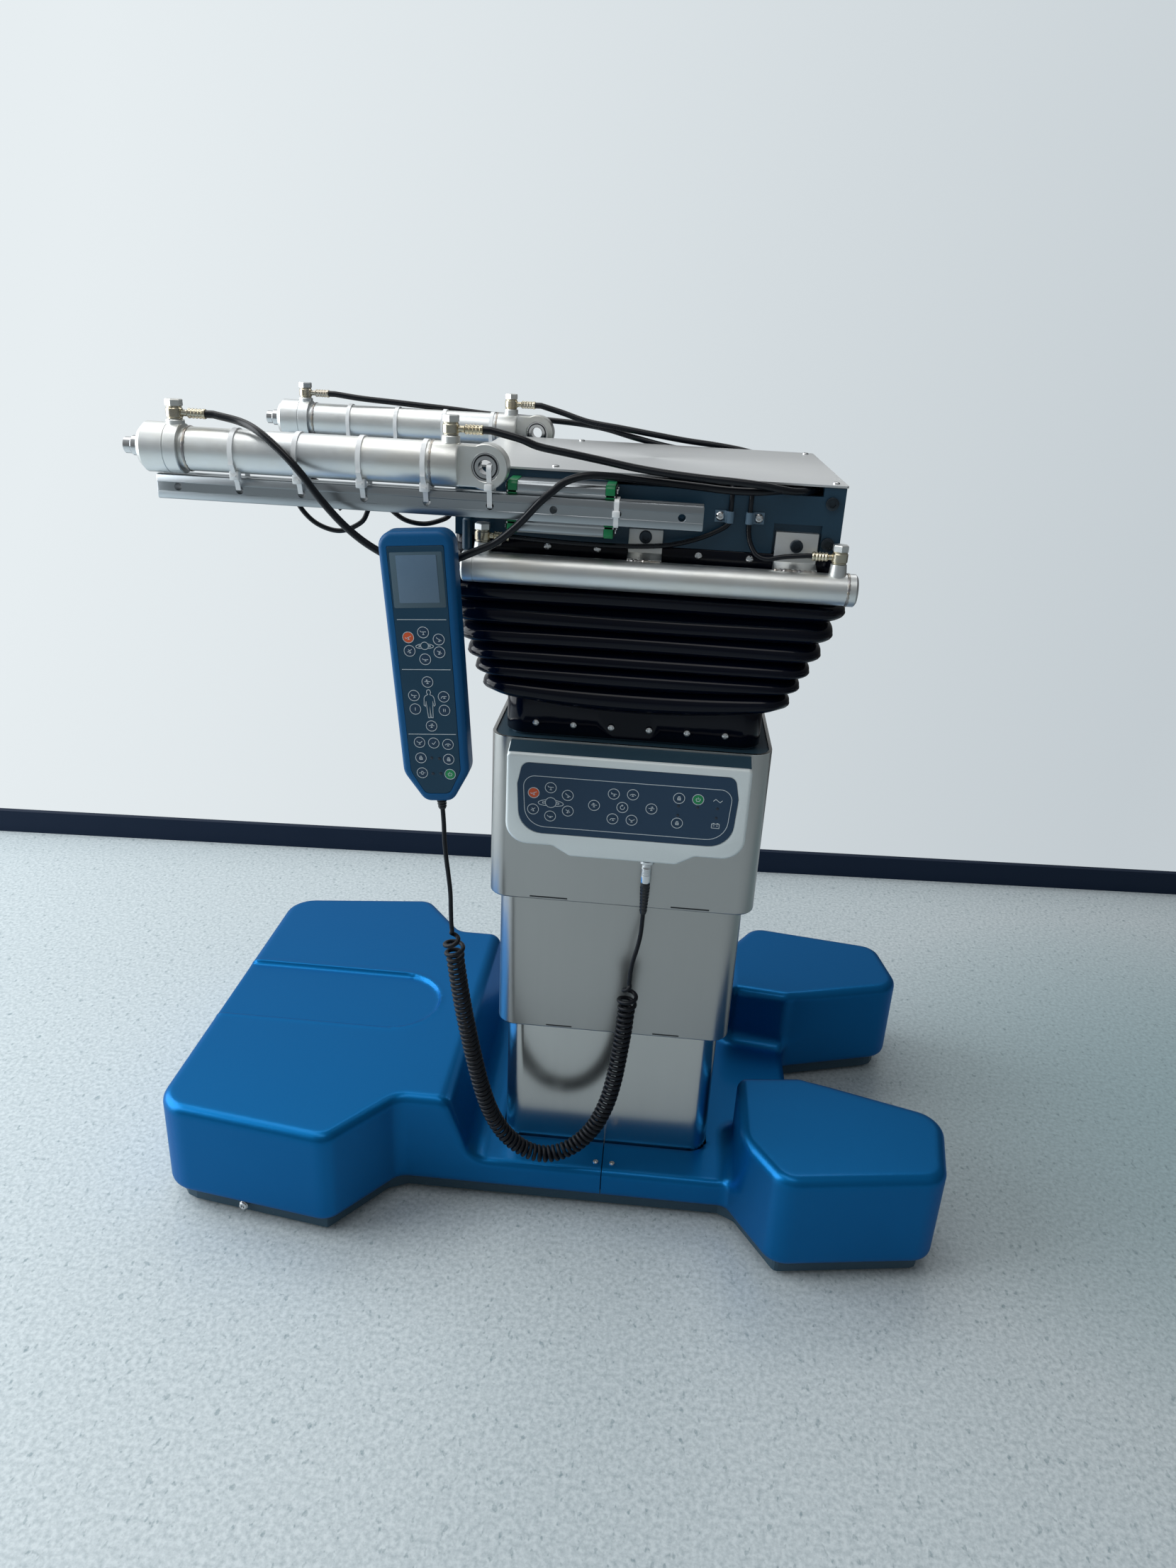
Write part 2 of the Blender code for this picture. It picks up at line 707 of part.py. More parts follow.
GUIDE = material("guide", (0.5, 0.5, 0.5), 0.5, 0)
BLUE_COVER = material("blue_cover", (0.02, 0.16, 0.40), 0.28, 0.1)
PLATE_PAINT = material("plate_paint", (0.10, 0.14, 0.16), 0.5, 0.2)
BRUSHED = material("brushed_stainless", (0.55, 0.54, 0.52), 0.32, 1)
ZINC = material("zinc_plated", (0.60, 0.58, 0.54), 0.28, 1)
GROUND = material("ground_steel", (0.55, 0.57, 0.58), 0.3, 1)
DARK_PAINT = material("slate_paint", (0.02, 0.05, 0.09), 0.35, 0.1)
BLACK_RUBBER = material("black_rubber", (0.01, 0.012, 0.016), 0.25, 0)
HOSE_RUBBER = material("hose_rubber", (0.01, 0.011, 0.014), 0.3, 0)
SILVER_PAINT = material("silver_paint", (0.42, 0.44, 0.46), 0.4, 0.5)
KEY_FILM = material("key_film", (0.04, 0.06, 0.12), 0.35, 0)
BLUE_RUBBER = material("blue_rubber", (0.01, 0.12, 0.33), 0.45, 0)
SCREEN = material("screen", (0.20, 0.24, 0.30), 0.15, 0)
CHROME = material("chrome", (0.75, 0.76, 0.78), 0.12, 1)
MOTOR_GREY = material("motor_grey", (0.2, 0.21, 0.22), 0.5, 0.3)

middle_guide = empty("middle_lift_axis", (0, 0, MIDDLE_SHELL_BOTTOM))
upper_guide = empty("upper_lift_axis", (0, 0, UPPER_SHELL_BOTTOM))
pitch_guide = empty("pitch_axis", (0, 0, PIVOT_HEIGHT), upper_guide)
roll_guide = empty("roll_axis", (0, 0, PIVOT_HEIGHT), pitch_guide)


def block_corners(inner):
    """Plan of the tall block at the head end."""
    return [(-inner, -DECK_HALF, BLOCK_INNER_RADIUS), (-inner, DECK_HALF, BLOCK_INNER_RADIUS),
            (-NECK, DECK_HALF, NECK_RADIUS), (-SHOULDER, SHOULDER_HALF, SHOULDER_RADIUS),
            (-BLOCK_END, BLOCK_END_HALF, END_RADIUS), (-BLOCK_END, -BLOCK_END_HALF, END_RADIUS),
            (-SHOULDER, -SHOULDER_HALF, SHOULDER_RADIUS), (-NECK, -DECK_HALF, NECK_RADIUS)]


def toe_corners(side):
    """Plan of one toe at the foot end; side is 1 at the back and -1 at the front."""
    corners = [(DECK_END, side * TOE_CREST_HALF, TOE_CREST_RADIUS),
               (TOE_TIP, side * TOE_TIP_HALF, TOE_TIP_RADIUS),
               (TOE_FACE, side * TOE_FACE_HALF, TOE_FACE_RADIUS),
               (TOE_SHOULDER, side * TOE_SHOULDER_HALF, TOE_SHOULDER_RADIUS),
               (TOE_NECK, side * TOE_NECK_HALF, TOE_NECK_RADIUS),
               (TOE_INNER, side * TOE_INNER_HALF, TOE_ROOT_RADIUS)]
    return corners if side > 0 else corners[::-1]


def tall_cover(corners_at, inset, bottom, top, edge):
    """The tall part of a cover, rounded along its top and drawn in at its foot."""
    if edge:
        foot = COVER_FOOT_RADIUS
        levels = [(bottom, foot), (bottom + foot / 2, foot / 4), (bottom + foot + SMALL_RADIUS, 0)]
    else:
        levels = [(bottom, 0)]
    levels += [(DECK_TOP, 0), (top - edge, 0)]
    if edge:
        diagonal = edge * math.sin(math.pi / 4)
        levels += [(top - edge + diagonal, edge - diagonal), (top, edge)]
    rings = []
    for height, draw_in in levels:
        share = min(max((height - DECK_TOP) / (BLOCK_TOP - DECK_TOP), 0), 1)
        rings.append(level(rounded(corners_at(share), inset + draw_in), height))
    return loft(rings)


def deck_outline(inset, bottom, top, edge):
    """Section of the low deck beside the column, in y and z."""
    foot = COVER_FOOT_RADIUS if edge > COVER_WALL else edge
    half = DECK_HALF - SMALL_RADIUS - inset
    return rounded([(-half, bottom, foot), (half, bottom, foot), (half, top, edge), (-half, top, edge)])


def block_plan(share):
    """The head block leans away from the column as it rises."""
    return block_corners(BLOCK_FOOT + (BLOCK_INNER - BLOCK_FOOT) * share)


def cover_solid(name, plans, deck_left, deck_right, finish):
    """A thin moulded cover: tall parts and deck, hollow from below, with a lip to rest on."""
    deck_floor = FLOOR_LEVEL + SMALL_RADIUS
    shell = add(name, end_prism(deck_outline(0, deck_floor, DECK_TOP, DECK_EDGE_RADIUS),
                                deck_left, deck_right), finish)
    hollow_left = deck_left + COVER_WALL if deck_left > 0 else deck_left
    hollow_right = deck_right - COVER_WALL
    for i, plan in enumerate(plans):
        tall = guide_solid(f"{name}_rise_{i}",
                           tall_cover(plan, 0, FLOOR_LEVEL, BLOCK_TOP, COVER_EDGE_RADIUS))
        combine(shell, tall, "UNION")
    above_lip = FLOOR_LEVEL + COVER_LIP_HEIGHT
    low = FLOOR_LEVEL - CUT_OVERRUN
    deck_hollow = guide_solid(f"{name}_deck_hollow", end_prism(
        deck_outline(COVER_WALL, above_lip + SMALL_RADIUS, DECK_TOP - COVER_WALL, SMALL_RADIUS),
        hollow_left, hollow_right))
    mouth_half = DECK_HALF - COVER_LIP - SMALL_RADIUS
    deck_mouth = guide_solid(f"{name}_deck_mouth", block(
        (hollow_left + SMALL_RADIUS, -mouth_half, low),
        (hollow_right - SMALL_RADIUS, mouth_half, above_lip + CUT_OVERRUN)))
    combine(shell, deck_hollow, "DIFFERENCE")
    combine(shell, deck_mouth, "DIFFERENCE")
    for i, plan in enumerate(plans):
        hollow = guide_solid(f"{name}_hollow_{i}", tall_cover(
            plan, COVER_WALL, above_lip, BLOCK_TOP - COVER_WALL - SLOT_DEPTH, 0))
        mouth = guide_solid(f"{name}_mouth_{i}", prism(
            rounded(plan(0), COVER_LIP), low, above_lip + CUT_OVERRUN))
        combine(shell, hollow, "DIFFERENCE")
        combine(shell, mouth, "DIFFERENCE")
    opening = guide_solid(f"{name}_opening", prism(
        rounded(box_corners(LOWER_HALF_X, LOWER_HALF_Y, SHELL_RADIUS), -SHELL_OPENING_GAP),
        low, DECK_TOP + CUT_OVERRUN))
    combine(shell, opening, "DIFFERENCE")
    return shell


def base_cover_head_end():
    """Cover over the power pack, with the shallow slot in its top."""
    seam = -SEAT_GAP / 2
    overlap = -BLOCK_FOOT - COVER_EDGE_RADIUS - COVER_WALL
    cover = cover_solid("base_cover_head_end", [block_plan], overlap, seam, BLUE_COVER)
    slot_left = -BLOCK_END - CUT_OVERRUN
    slot = guide_solid("cover_slot", prism(rounded([
        (slot_left, -SLOT_HALF, SMALL_RADIUS), (-SLOT_END, -SLOT_HALF, SLOT_HALF - SMALL_RADIUS),
        (-SLOT_END, SLOT_HALF, SLOT_HALF - SMALL_RADIUS), (slot_left, SLOT_HALF, SMALL_RADIUS)]),
        BLOCK_TOP - SLOT_DEPTH, BLOCK_TOP + CUT_OVERRUN))
    combine(cover, slot, "DIFFERENCE")


def base_cover_foot_end():
    """Cover with the two toes at the foot end."""
    cover_solid("base_cover_foot_end", [lambda share: toe_corners(-1), lambda share: toe_corners(1)],
                SEAT_GAP / 2, DECK_END - CUT_OVERRUN, BLUE_COVER)


def base_plan():
    """Outline of the whole base at the floor."""
    half = [(-BLOCK_END, -BLOCK_END_HALF, END_RADIUS), (-SHOULDER, -SHOULDER_HALF, SHOULDER_RADIUS),
            (-NECK, -DECK_HALF, NECK_RADIUS), (TOE_ROOT, -DECK_HALF, TOE_NECK_RADIUS),
            (TOE_SHOULDER, -TOE_SHOULDER_HALF, TOE_SHOULDER_RADIUS),
            (TOE_FACE, -TOE_FACE_HALF, TOE_FACE_RADIUS),
            (TOE_TIP, -TOE_TIP_HALF, TOE_TIP_RADIUS), (DECK_END, -TOE_CREST_HALF, TOE_ROOT_RADIUS)]
    return half + [(x, -y, radius) for x, y, radius in reversed(half)]


def foot_places():
    """The four floor-lock feet."""
    return [(-FOOT_BLOCK_X, -FOOT_BLOCK_Y), (-FOOT_BLOCK_X, FOOT_BLOCK_Y),
            (FOOT_TOE_X, -FOOT_TOE_Y), (FOOT_TOE_X, FOOT_TOE_Y)]


def base_plate():
    """Steel plate that carries the column, with a jack and a pocket at each foot."""
    plate = add("base_plate", prism(rounded(base_plan(), PLATE_INSET), PLATE_BOTTOM, PLATE_TOP), PLATE_PAINT)
    pocket_top = PLATE_BOTTOM + FOOT_TRAVEL
    for i, (x, y) in enumerate(foot_places()):
        jack = guide_solid(f"foot_jack_{i}", turned(
            [(PLATE_BOTTOM + PLATE_THICKNESS / 2, FOOT_JACK_RADIUS), (FOOT_JACK_TOP, FOOT_JACK_RADIUS)],
            SMALL_SIDES), (x, y, 0))
        combine(plate, jack, "UNION")
        bore = guide_solid(f"foot_bore_{i}", turned(
            [(-CUT_OVERRUN, FOOT_PAD_RADIUS + RUN_GAP), (pocket_top, FOOT_PAD_RADIUS + RUN_GAP),
             (pocket_top, FOOT_STEM_RADIUS + RUN_GAP),
             (FOOT_JACK_TOP + CUT_OVERRUN, FOOT_STEM_RADIUS + RUN_GAP)], SMALL_SIDES), (x, y, 0))
        combine(plate, bore, "DIFFERENCE")


def floor_lock_feet():
    """Feet that the jacks push down on the floor."""
    for i, (x, y) in enumerate(foot_places()):
        foot = turned([(0, FOOT_PAD_RADIUS), (FOOT_PAD_HEIGHT, FOOT_PAD_RADIUS),
                       (FOOT_PAD_HEIGHT, FOOT_STEM_RADIUS), (FOOT_STEM_TOP, FOOT_STEM_RADIUS)], SMALL_SIDES)
        add(f"floor_lock_foot_{i + 1}", foot, BLACK_RUBBER, (x, y, 0))


def earth_terminal():
    """Round terminal on the plate's front edge."""
    start = Vector((-BLOCK_END, -BLOCK_END_HALF))
    end = Vector((-SHOULDER, -SHOULDER_HALF))
    along = (end - start).normalized()
    outward = Vector((along.y, -along.x))
    place = start.lerp(end, TERMINAL_SHARE) - outward * (PLATE_INSET - SEAT_GAP)
    height = PLATE_BOTTOM + PLATE_THICKNESS / 2
    turn = (math.pi / 2, 0, math.atan2(along.y, along.x))
    stud = turned([(0, TERMINAL_RADIUS), (TERMINAL_LENGTH, TERMINAL_RADIUS)], SMALL_SIDES)
    add("earth_terminal", stud, CHROME, (place.x, place.y, height), turn)


def parts_in_base():
    """Power pack and battery under the head-end cover."""
    pack = add("hydraulic_power_pack", prism(
        rounded(box_corners(PACK_HALF_X, PACK_HALF_Y, PACK_CORNER)), 0, PACK_HEIGHT),
        MOTOR_GREY, (-PACK_X, 0, FLOOR_LEVEL))
    motor_top = PACK_HEIGHT + MOTOR_HEIGHT
    motor = guide_solid("pack_motor", turned([(PACK_HEIGHT / 2, MOTOR_RADIUS), (motor_top, MOTOR_RADIUS)]),
                        (-PACK_X, 0, FLOOR_LEVEL))
    combine(pack, motor, "UNION")
    box = rounded(box_corners(BATTERY_HALF_X, BATTERY_HALF_Y, PACK_CORNER))
    add("battery_box", prism(box, 0, BATTERY_HEIGHT), BLACK_RUBBER, (-BATTERY_X, 0, FLOOR_LEVEL))


def column_shell(name, half_x, half_y, bottom, top, inner_step, parent=None):
    """One telescoping sheet-metal shell. Its foot turns in to run on the next shell."""
    corners = box_corners(half_x, half_y, SHELL_RADIUS)
    outer = rounded(corners, 0, SHELL_STEPS)
    wall = rounded(corners, SHELL_WALL, SHELL_STEPS)
    place = world_place(parent)
    if inner_step:
        lip = rounded(corners, inner_step - RUN_GAP, SHELL_STEPS)
        round_in = rounded(corners, SHELL_FOOT_ROUND / 2, SHELL_STEPS)
        rings = [level(lip, bottom), level(round_in, bottom), level(outer, bottom + SHELL_FOOT_ROUND),
                 level(outer, top), level(wall, top), level(wall, bottom + SHELL_LIP_HEIGHT),
                 level(lip, bottom + SHELL_LIP_HEIGHT)]
    else:
        rings = [level(outer, bottom), level(outer, top), level(wall, top), level(wall, bottom)]
    rings = [[(x, y, z - place.z) for x, y, z in ring] for ring in rings]
    add(name, loft(rings, wrap=True), BRUSHED, place, parent=parent)


def lift_cylinder():
    """Three-part telescopic ram inside the column."""
    barrel_bore = LIFT_BARREL_RADIUS - LIFT_BARREL_WALL
    stage_radius = barrel_bore - RUN_GAP
    stage_bore = stage_radius - LIFT_STAGE_WALL
    cup_floor = FLOOR_LEVEL + LIFT_FLOOR
    add("lift_cylinder_barrel", turned([
        (FLOOR_LEVEL, 0), (FLOOR_LEVEL, LIFT_BARREL_RADIUS), (LOWER_SHELL_TOP, LIFT_BARREL_RADIUS),
        (LOWER_SHELL_TOP, barrel_bore), (cup_floor, barrel_bore), (cup_floor, 0)]), ZINC)
    stage_bottom = cup_floor + STOP_GAP + LIFT_TRAVEL / 2 - MIDDLE_SHELL_BOTTOM
    stage_top = MIDDLE_SHELL_TOP - MIDDLE_SHELL_BOTTOM
    add("lift_cylinder_stage", turned([
        (stage_bottom, stage_radius), (stage_top, stage_radius), (stage_top, stage_bore),
        (stage_bottom, stage_bore)], wrap=True), ZINC, (0, 0, MIDDLE_SHELL_BOTTOM), parent=middle_guide)
    rod_bottom = cup_floor + STOP_GAP + LIFT_TRAVEL - UPPER_SHELL_BOTTOM
    rod_top = HEAD_BOTTOM - SEAT_GAP - UPPER_SHELL_BOTTOM
    rod_radius = stage_bore - RUN_GAP
    add("lift_piston_rod", turned([(rod_bottom, rod_radius), (rod_top, rod_radius)]),
        CHROME, (0, 0, UPPER_SHELL_BOTTOM), parent=upper_guide)


def turning_bore(radius, sides):
    """Radius of a faceted bore whose flats clear the corners of a shaft that turns in it."""
    return (radius + SEAT_GAP) / math.cos(math.pi / sides)


def lug_outline(crest):
    """Upright lug with a rounded crest, about the pivot."""
    foot = HEAD_TOP - PIVOT_HEIGHT - LUG_THICKNESS / 2
    return rounded([(-LUG_HALF, foot, SMALL_RADIUS), (LUG_HALF, foot, SMALL_RADIUS),
                    (LUG_HALF, crest, LUG_HALF - SMALL_RADIUS), (-LUG_HALF, crest, LUG_HALF - SMALL_RADIUS)])


def column_head():
    """Block that closes the column and carries the gimbal's lugs."""
    shell_corners = box_corners(UPPER_HALF_X, UPPER_HALF_Y, SHELL_RADIUS)
    shell_inside = rounded(shell_corners, SHELL_WALL + SEAT_GAP, SHELL_STEPS)
    box = rounded(box_corners(HEAD_HALF_X, HEAD_HALF_Y, HEAD_RADIUS), 0, SHELL_STEPS)
    step = HEAD_BOTTOM + HEAD_PLATE
    rings = [level(shell_inside, HEAD_BOTTOM), level(shell_inside, step),
             level(box, step), level(box, HEAD_TOP)]
    place = Vector((0, 0, UPPER_SHELL_BOTTOM))
    rings = [[(x, y, z - place.z) for x, y, z in ring] for ring in rings]
    head = add("column_head", loft(rings), PLATE_PAINT, place, parent=upper_guide)
    for side in (-1, 1):
        inner = side * HEAD_LUG_INNER
        outer = side * (HEAD_LUG_INNER + LUG_THICKNESS)
        lug = guide_solid(f"head_lug_{side}", front_prism(lug_outline(LUG_CREST), outer, inner),
                          (0, 0, PIVOT_HEIGHT))
        combine(head, lug, "UNION")
    reach = HEAD_LUG_INNER + LUG_THICKNESS + CUT_OVERRUN
    bore_radius = turning_bore(SHAFT_RADIUS, SMALL_SIDES)
    bore = guide_solid("head_lug_bore", turned([(-reach, bore_radius), (reach, bore_radius)], SMALL_SIDES),
                       (0, 0, PIVOT_HEIGHT), ALONG_Y)
    combine(head, bore, "DIFFERENCE")


def gimbal_cross():
    """Cross with two pairs of stub shafts: pitch along y, roll along x."""
    cross = add("gimbal_cross", block((-CROSS_HALF,) * 3, (CROSS_HALF,) * 3), ZINC,
                (0, 0, PIVOT_HEIGHT), parent=pitch_guide)
    pitch_reach = HEAD_LUG_INNER + LUG_THICKNESS + SHAFT_OVERHANG
    roll_reach = FRAME_LUG_INNER + LUG_THICKNESS + SHAFT_OVERHANG
    for name, reach, turn in (("pitch_shaft", pitch_reach, ALONG_Y), ("roll_shaft", roll_reach, ALONG_X)):
        shaft = guide_solid(name, turned([(-reach, SHAFT_RADIUS), (reach, SHAFT_RADIUS)], SMALL_SIDES),
                            (0, 0, PIVOT_HEIGHT), turn)
        combine(cross, shaft, "UNION")


def bellows():
    """Rubber concertina between the column head and the frame."""
    top = SIDE_PLATE_BOTTOM - SEAT_GAP
    neck_top = BELLOWS_NECK_BOTTOM + BELLOWS_NECK_HEIGHT
    foot_x = FRAME_HALF_X - FRAME_FOOT_STEP + SEAT_GAP
    foot_y = TRAY_HALF_Y + SEAT_GAP
    neck_x = HEAD_HALF_X + SEAT_GAP
    neck_y = HEAD_HALF_Y + SEAT_GAP
    height = FRAME_BOTTOM - neck_top
    folds = len(BELLOWS_FOLD_SHARES)

    def ring(half_x, half_y, radius, z):
        return level(rounded(box_corners(half_x, half_y, radius), 0, SHELL_STEPS), z - PIVOT_HEIGHT)

    rings = [ring(FRAME_HALF_X, FRAME_HALF_Y, HEAD_RADIUS, top),
             ring(FRAME_HALF_X, FRAME_HALF_Y, HEAD_RADIUS, FRAME_BOTTOM)]
    bulge = FRAME_HALF_Y + BELLOWS_BULGE_Y
    for i, share in enumerate(BELLOWS_FOLD_SHARES):
        along = i / (folds - 1)
        ridge_x = BELLOWS_TOP_RIDGE_X + (BELLOWS_LOW_RIDGE_X - BELLOWS_TOP_RIDGE_X) * along
        ridge_y = FRAME_HALF_Y + BELLOWS_WALL / 2 if i == 0 else bulge - BELLOWS_WALL * along
        fold = BELLOWS_FOLD
        z = FRAME_BOTTOM - share * height
        following = BELLOWS_FOLD_SHARES[i + 1] if i + 1 < folds else 1
        half_step = (following - share) * height / 2
        rings.append(ring(ridge_x, ridge_y, BELLOWS_RIDGE_RADIUS, z))
        if i + 1 < folds:
            valley_radius = BELLOWS_RIDGE_RADIUS - fold / 2
            rings.append(ring(ridge_x - fold, ridge_y - fold, valley_radius, z - half_step))
    rings.append(ring(neck_x + BELLOWS_WALL, neck_y + BELLOWS_WALL, SHELL_RADIUS, neck_top))
    rings.append(ring(neck_x + BELLOWS_WALL, neck_y + BELLOWS_WALL, SHELL_RADIUS, BELLOWS_NECK_BOTTOM))
    rings.append(ring(neck_x, neck_y, HEAD_RADIUS, BELLOWS_NECK_BOTTOM))
    rings.append(ring(neck_x, neck_y, HEAD_RADIUS, neck_top))
    rings.append(ring(foot_x, foot_y, SMALL_RADIUS, FRAME_BOTTOM))
    rings.append(ring(foot_x, foot_y, SMALL_RADIUS, top))
    add("bellows", loft(rings, wrap=True), BLACK_RUBBER, (0, 0, PIVOT_HEIGHT), parent=upper_guide)


def frame_tray():
    """Bottom and ends of the slide frame, with the lugs of the roll shaft."""
    foot = FRAME_HALF_X - FRAME_FOOT_STEP
    inner = FRAME_HALF_X - FRAME_END_WALL
    floor_top = SIDE_PLATE_BOTTOM
    section = [(-foot, FRAME_BOTTOM), (foot, FRAME_BOTTOM), (foot, floor_top), (FRAME_HALF_X, floor_top),
               (FRAME_HALF_X, SIDE_PLATE_TOP), (inner, SIDE_PLATE_TOP), (inner, floor_top),
               (-inner, floor_top), (-inner, SIDE_PLATE_TOP), (-FRAME_HALF_X, SIDE_PLATE_TOP),
               (-FRAME_HALF_X, floor_top), (-foot, floor_top)]
    section = [(x, z - PIVOT_HEIGHT) for x, z in section]
    tray = add("frame_tray", front_prism(section, TRAY_HALF_Y, -TRAY_HALF_Y), DARK_PAINT,
               (0, 0, PIVOT_HEIGHT), parent=roll_guide)
    foot_height = FRAME_BOTTOM - PIVOT_HEIGHT + LUG_THICKNESS / 2
    lug = rounded([(-LUG_HALF, -LUG_CREST, LUG_HALF - SMALL_RADIUS),
                   (LUG_HALF, -LUG_CREST, LUG_HALF - SMALL_RADIUS),
                   (LUG_HALF, foot_height, SMALL_RADIUS), (-LUG_HALF, foot_height, SMALL_RADIUS)])
    for side in (-1, 1):
        solid = guide_solid(f"frame_lug_{side}", end_prism(
            lug, side * FRAME_LUG_INNER, side * (FRAME_LUG_INNER + LUG_THICKNESS)), (0, 0, PIVOT_HEIGHT))
        combine(tray, solid, "UNION")
    reach = FRAME_LUG_INNER + LUG_THICKNESS + CUT_OVERRUN
    bore_radius = turning_bore(SHAFT_RADIUS, SMALL_SIDES)
    bore = guide_solid("frame_lug_bore", turned([(-reach, bore_radius), (reach, bore_radius)], SMALL_SIDES),
                       (0, 0, PIVOT_HEIGHT), ALONG_X)
    combine(tray, bore, "DIFFERENCE")


def side_plate(name, side):
    """Machined plate along one side of the frame, with the slot that the hoses enter."""
    outline = [(-FRAME_HALF_X, SIDE_PLATE_BOTTOM), (FRAME_HALF_X, SIDE_PLATE_BOTTOM),
               (FRAME_HALF_X, SIDE_PLATE_TOP), (HOSE_SLOT_END, SIDE_PLATE_TOP),
               (HOSE_SLOT_END, SIDE_PLATE_TOP - HOSE_SLOT_DEPTH),
               (-HOSE_SLOT_START, SIDE_PLATE_TOP - HOSE_SLOT_DEPTH), (-HOSE_SLOT_START, SIDE_PLATE_TOP),
               (-FRAME_HALF_X, SIDE_PLATE_TOP)]
    outline = [(x, z - PIVOT_HEIGHT) for x, z in outline]
    plate = add(name, front_prism(outline, side * SIDE_PLATE_INNER, side * FRAME_HALF_Y), DARK_PAINT,
                (0, 0, PIVOT_HEIGHT), parent=roll_guide)
    if side < 0:
        pocket = guide_solid(f"{name}_pocket", block(
            (POCKET_START, -FRAME_HALF_Y - CUT_OVERRUN, SIDE_PLATE_BOTTOM - CUT_OVERRUN),
            (POCKET_END, -FRAME_HALF_Y + POCKET_DEPTH, POCKET_TOP)))
        combine(plate, pocket, "DIFFERENCE")


def top_cover():
    """Brushed sheet over the frame."""
    half_x = FRAME_HALF_X + COVER_OVERHANG
    half_y = FRAME_HALF_Y + COVER_OVERHANG
    bottom = COVER_TOP - COVER_SHEET
    add("frame_top_cover", prism(rounded(box_corners(half_x, half_y, COVER_SHEET)),
                                 bottom - PIVOT_HEIGHT, COVER_TOP - PIVOT_HEIGHT),
        BRUSHED, (0, 0, PIVOT_HEIGHT), parent=roll_guide)


def rail_section():
    """Section of a profile rail: depth from its mounting face, and height from its middle."""
    waist = RAIL_HALF - RAIL_WAIST
    mid_end = (RAIL_WAIST_START + RAIL_WAIST_END) / 2
    upper = [(RAIL_BAND_DEPTH, RAIL_BAND_HALF), (0, RAIL_BAND_HALF + RAIL_BAND_DEPTH),
             (0, RAIL_HALF - RAIL_CHAMFER), (RAIL_CHAMFER, RAIL_HALF), (RAIL_WAIST_START, RAIL_HALF),
             (mid_end - RAIL_CHAMFER, waist), (mid_end + RAIL_CHAMFER, waist), (RAIL_WAIST_END, RAIL_HALF),
             (RAIL_DEPTH - RAIL_CHAMFER, RAIL_HALF), (RAIL_DEPTH, RAIL_HALF - RAIL_CHAMFER)]
    return upper + [(depth, -height) for depth, height in reversed(upper)]


def rail(name, side, guide):
    """Profile rail with its row of bolt holes."""
    section = [(side * (RAIL_FACE - depth), height) for depth, height in rail_section()]
    piece = add(name, end_prism(section, RAIL_LEFT, RAIL_RIGHT), GROUND, (0, 0, RAIL_CENTRE), parent=guide)
    reach = RAIL_DEPTH / 2 + CUT_OVERRUN
    holes = bmesh.new()
    for i in range(RAIL_HOLES):
        for end in (-reach, reach):
            middle = Matrix.Translation((i * RAIL_HOLE_PITCH, 0, end))
            circle = bmesh.ops.create_circle(holes, segments=HOLE_SIDES, radius=RAIL_HOLE_RADIUS,
                                             cap_ends=True, matrix=middle)
            if end > 0:
                upper_ring = circle["verts"]
            else:
                lower_ring = circle["verts"]
        for a, b in zip(range(HOLE_SIDES), [*range(1, HOLE_SIDES), 0]):
            holes.faces.new((lower_ring[a], lower_ring[b], upper_ring[b], upper_ring[a]))
    bmesh.ops.rotate(holes, verts=holes.verts[:], matrix=Matrix.Rotation(math.pi / 2, 3, "X"))
    first = (-RAIL_FIRST_HOLE, side * (RAIL_FACE + RAIL_BACK) / 2, RAIL_CENTRE)
    cutter = guide_solid(f"{name}_holes", holes, first)
    combine(piece, cutter, "DIFFERENCE")


def carriage(name, side):
    """Ball carriage on the side plate that the rail runs through."""
    channel = RAIL_HALF + RUN_GAP
    inner_face = FRAME_HALF_Y + SEAT_GAP
    outer_face = RAIL_FACE - CARRIAGE_LIP
    floor_face = RAIL_BACK - RUN_GAP
    section = [(inner_face, -CARRIAGE_HALF), (outer_face - CARRIAGE_CHAMFER, -CARRIAGE_HALF),
               (outer_face, -CARRIAGE_HALF + CARRIAGE_CHAMFER), (outer_face, -channel),
               (floor_face, -channel), (floor_face, channel), (outer_face, channel),
               (outer_face, CARRIAGE_HALF - CARRIAGE_CHAMFER),
               (outer_face - CARRIAGE_CHAMFER, CARRIAGE_HALF), (inner_face, CARRIAGE_HALF)]
    section = [(side * y, z) for y, z in section]
    add(name, end_prism(section, -CARRIAGE_START, CARRIAGE_LENGTH - CARRIAGE_START), GROUND,
        (0, 0, RAIL_CENTRE), parent=roll_guide)


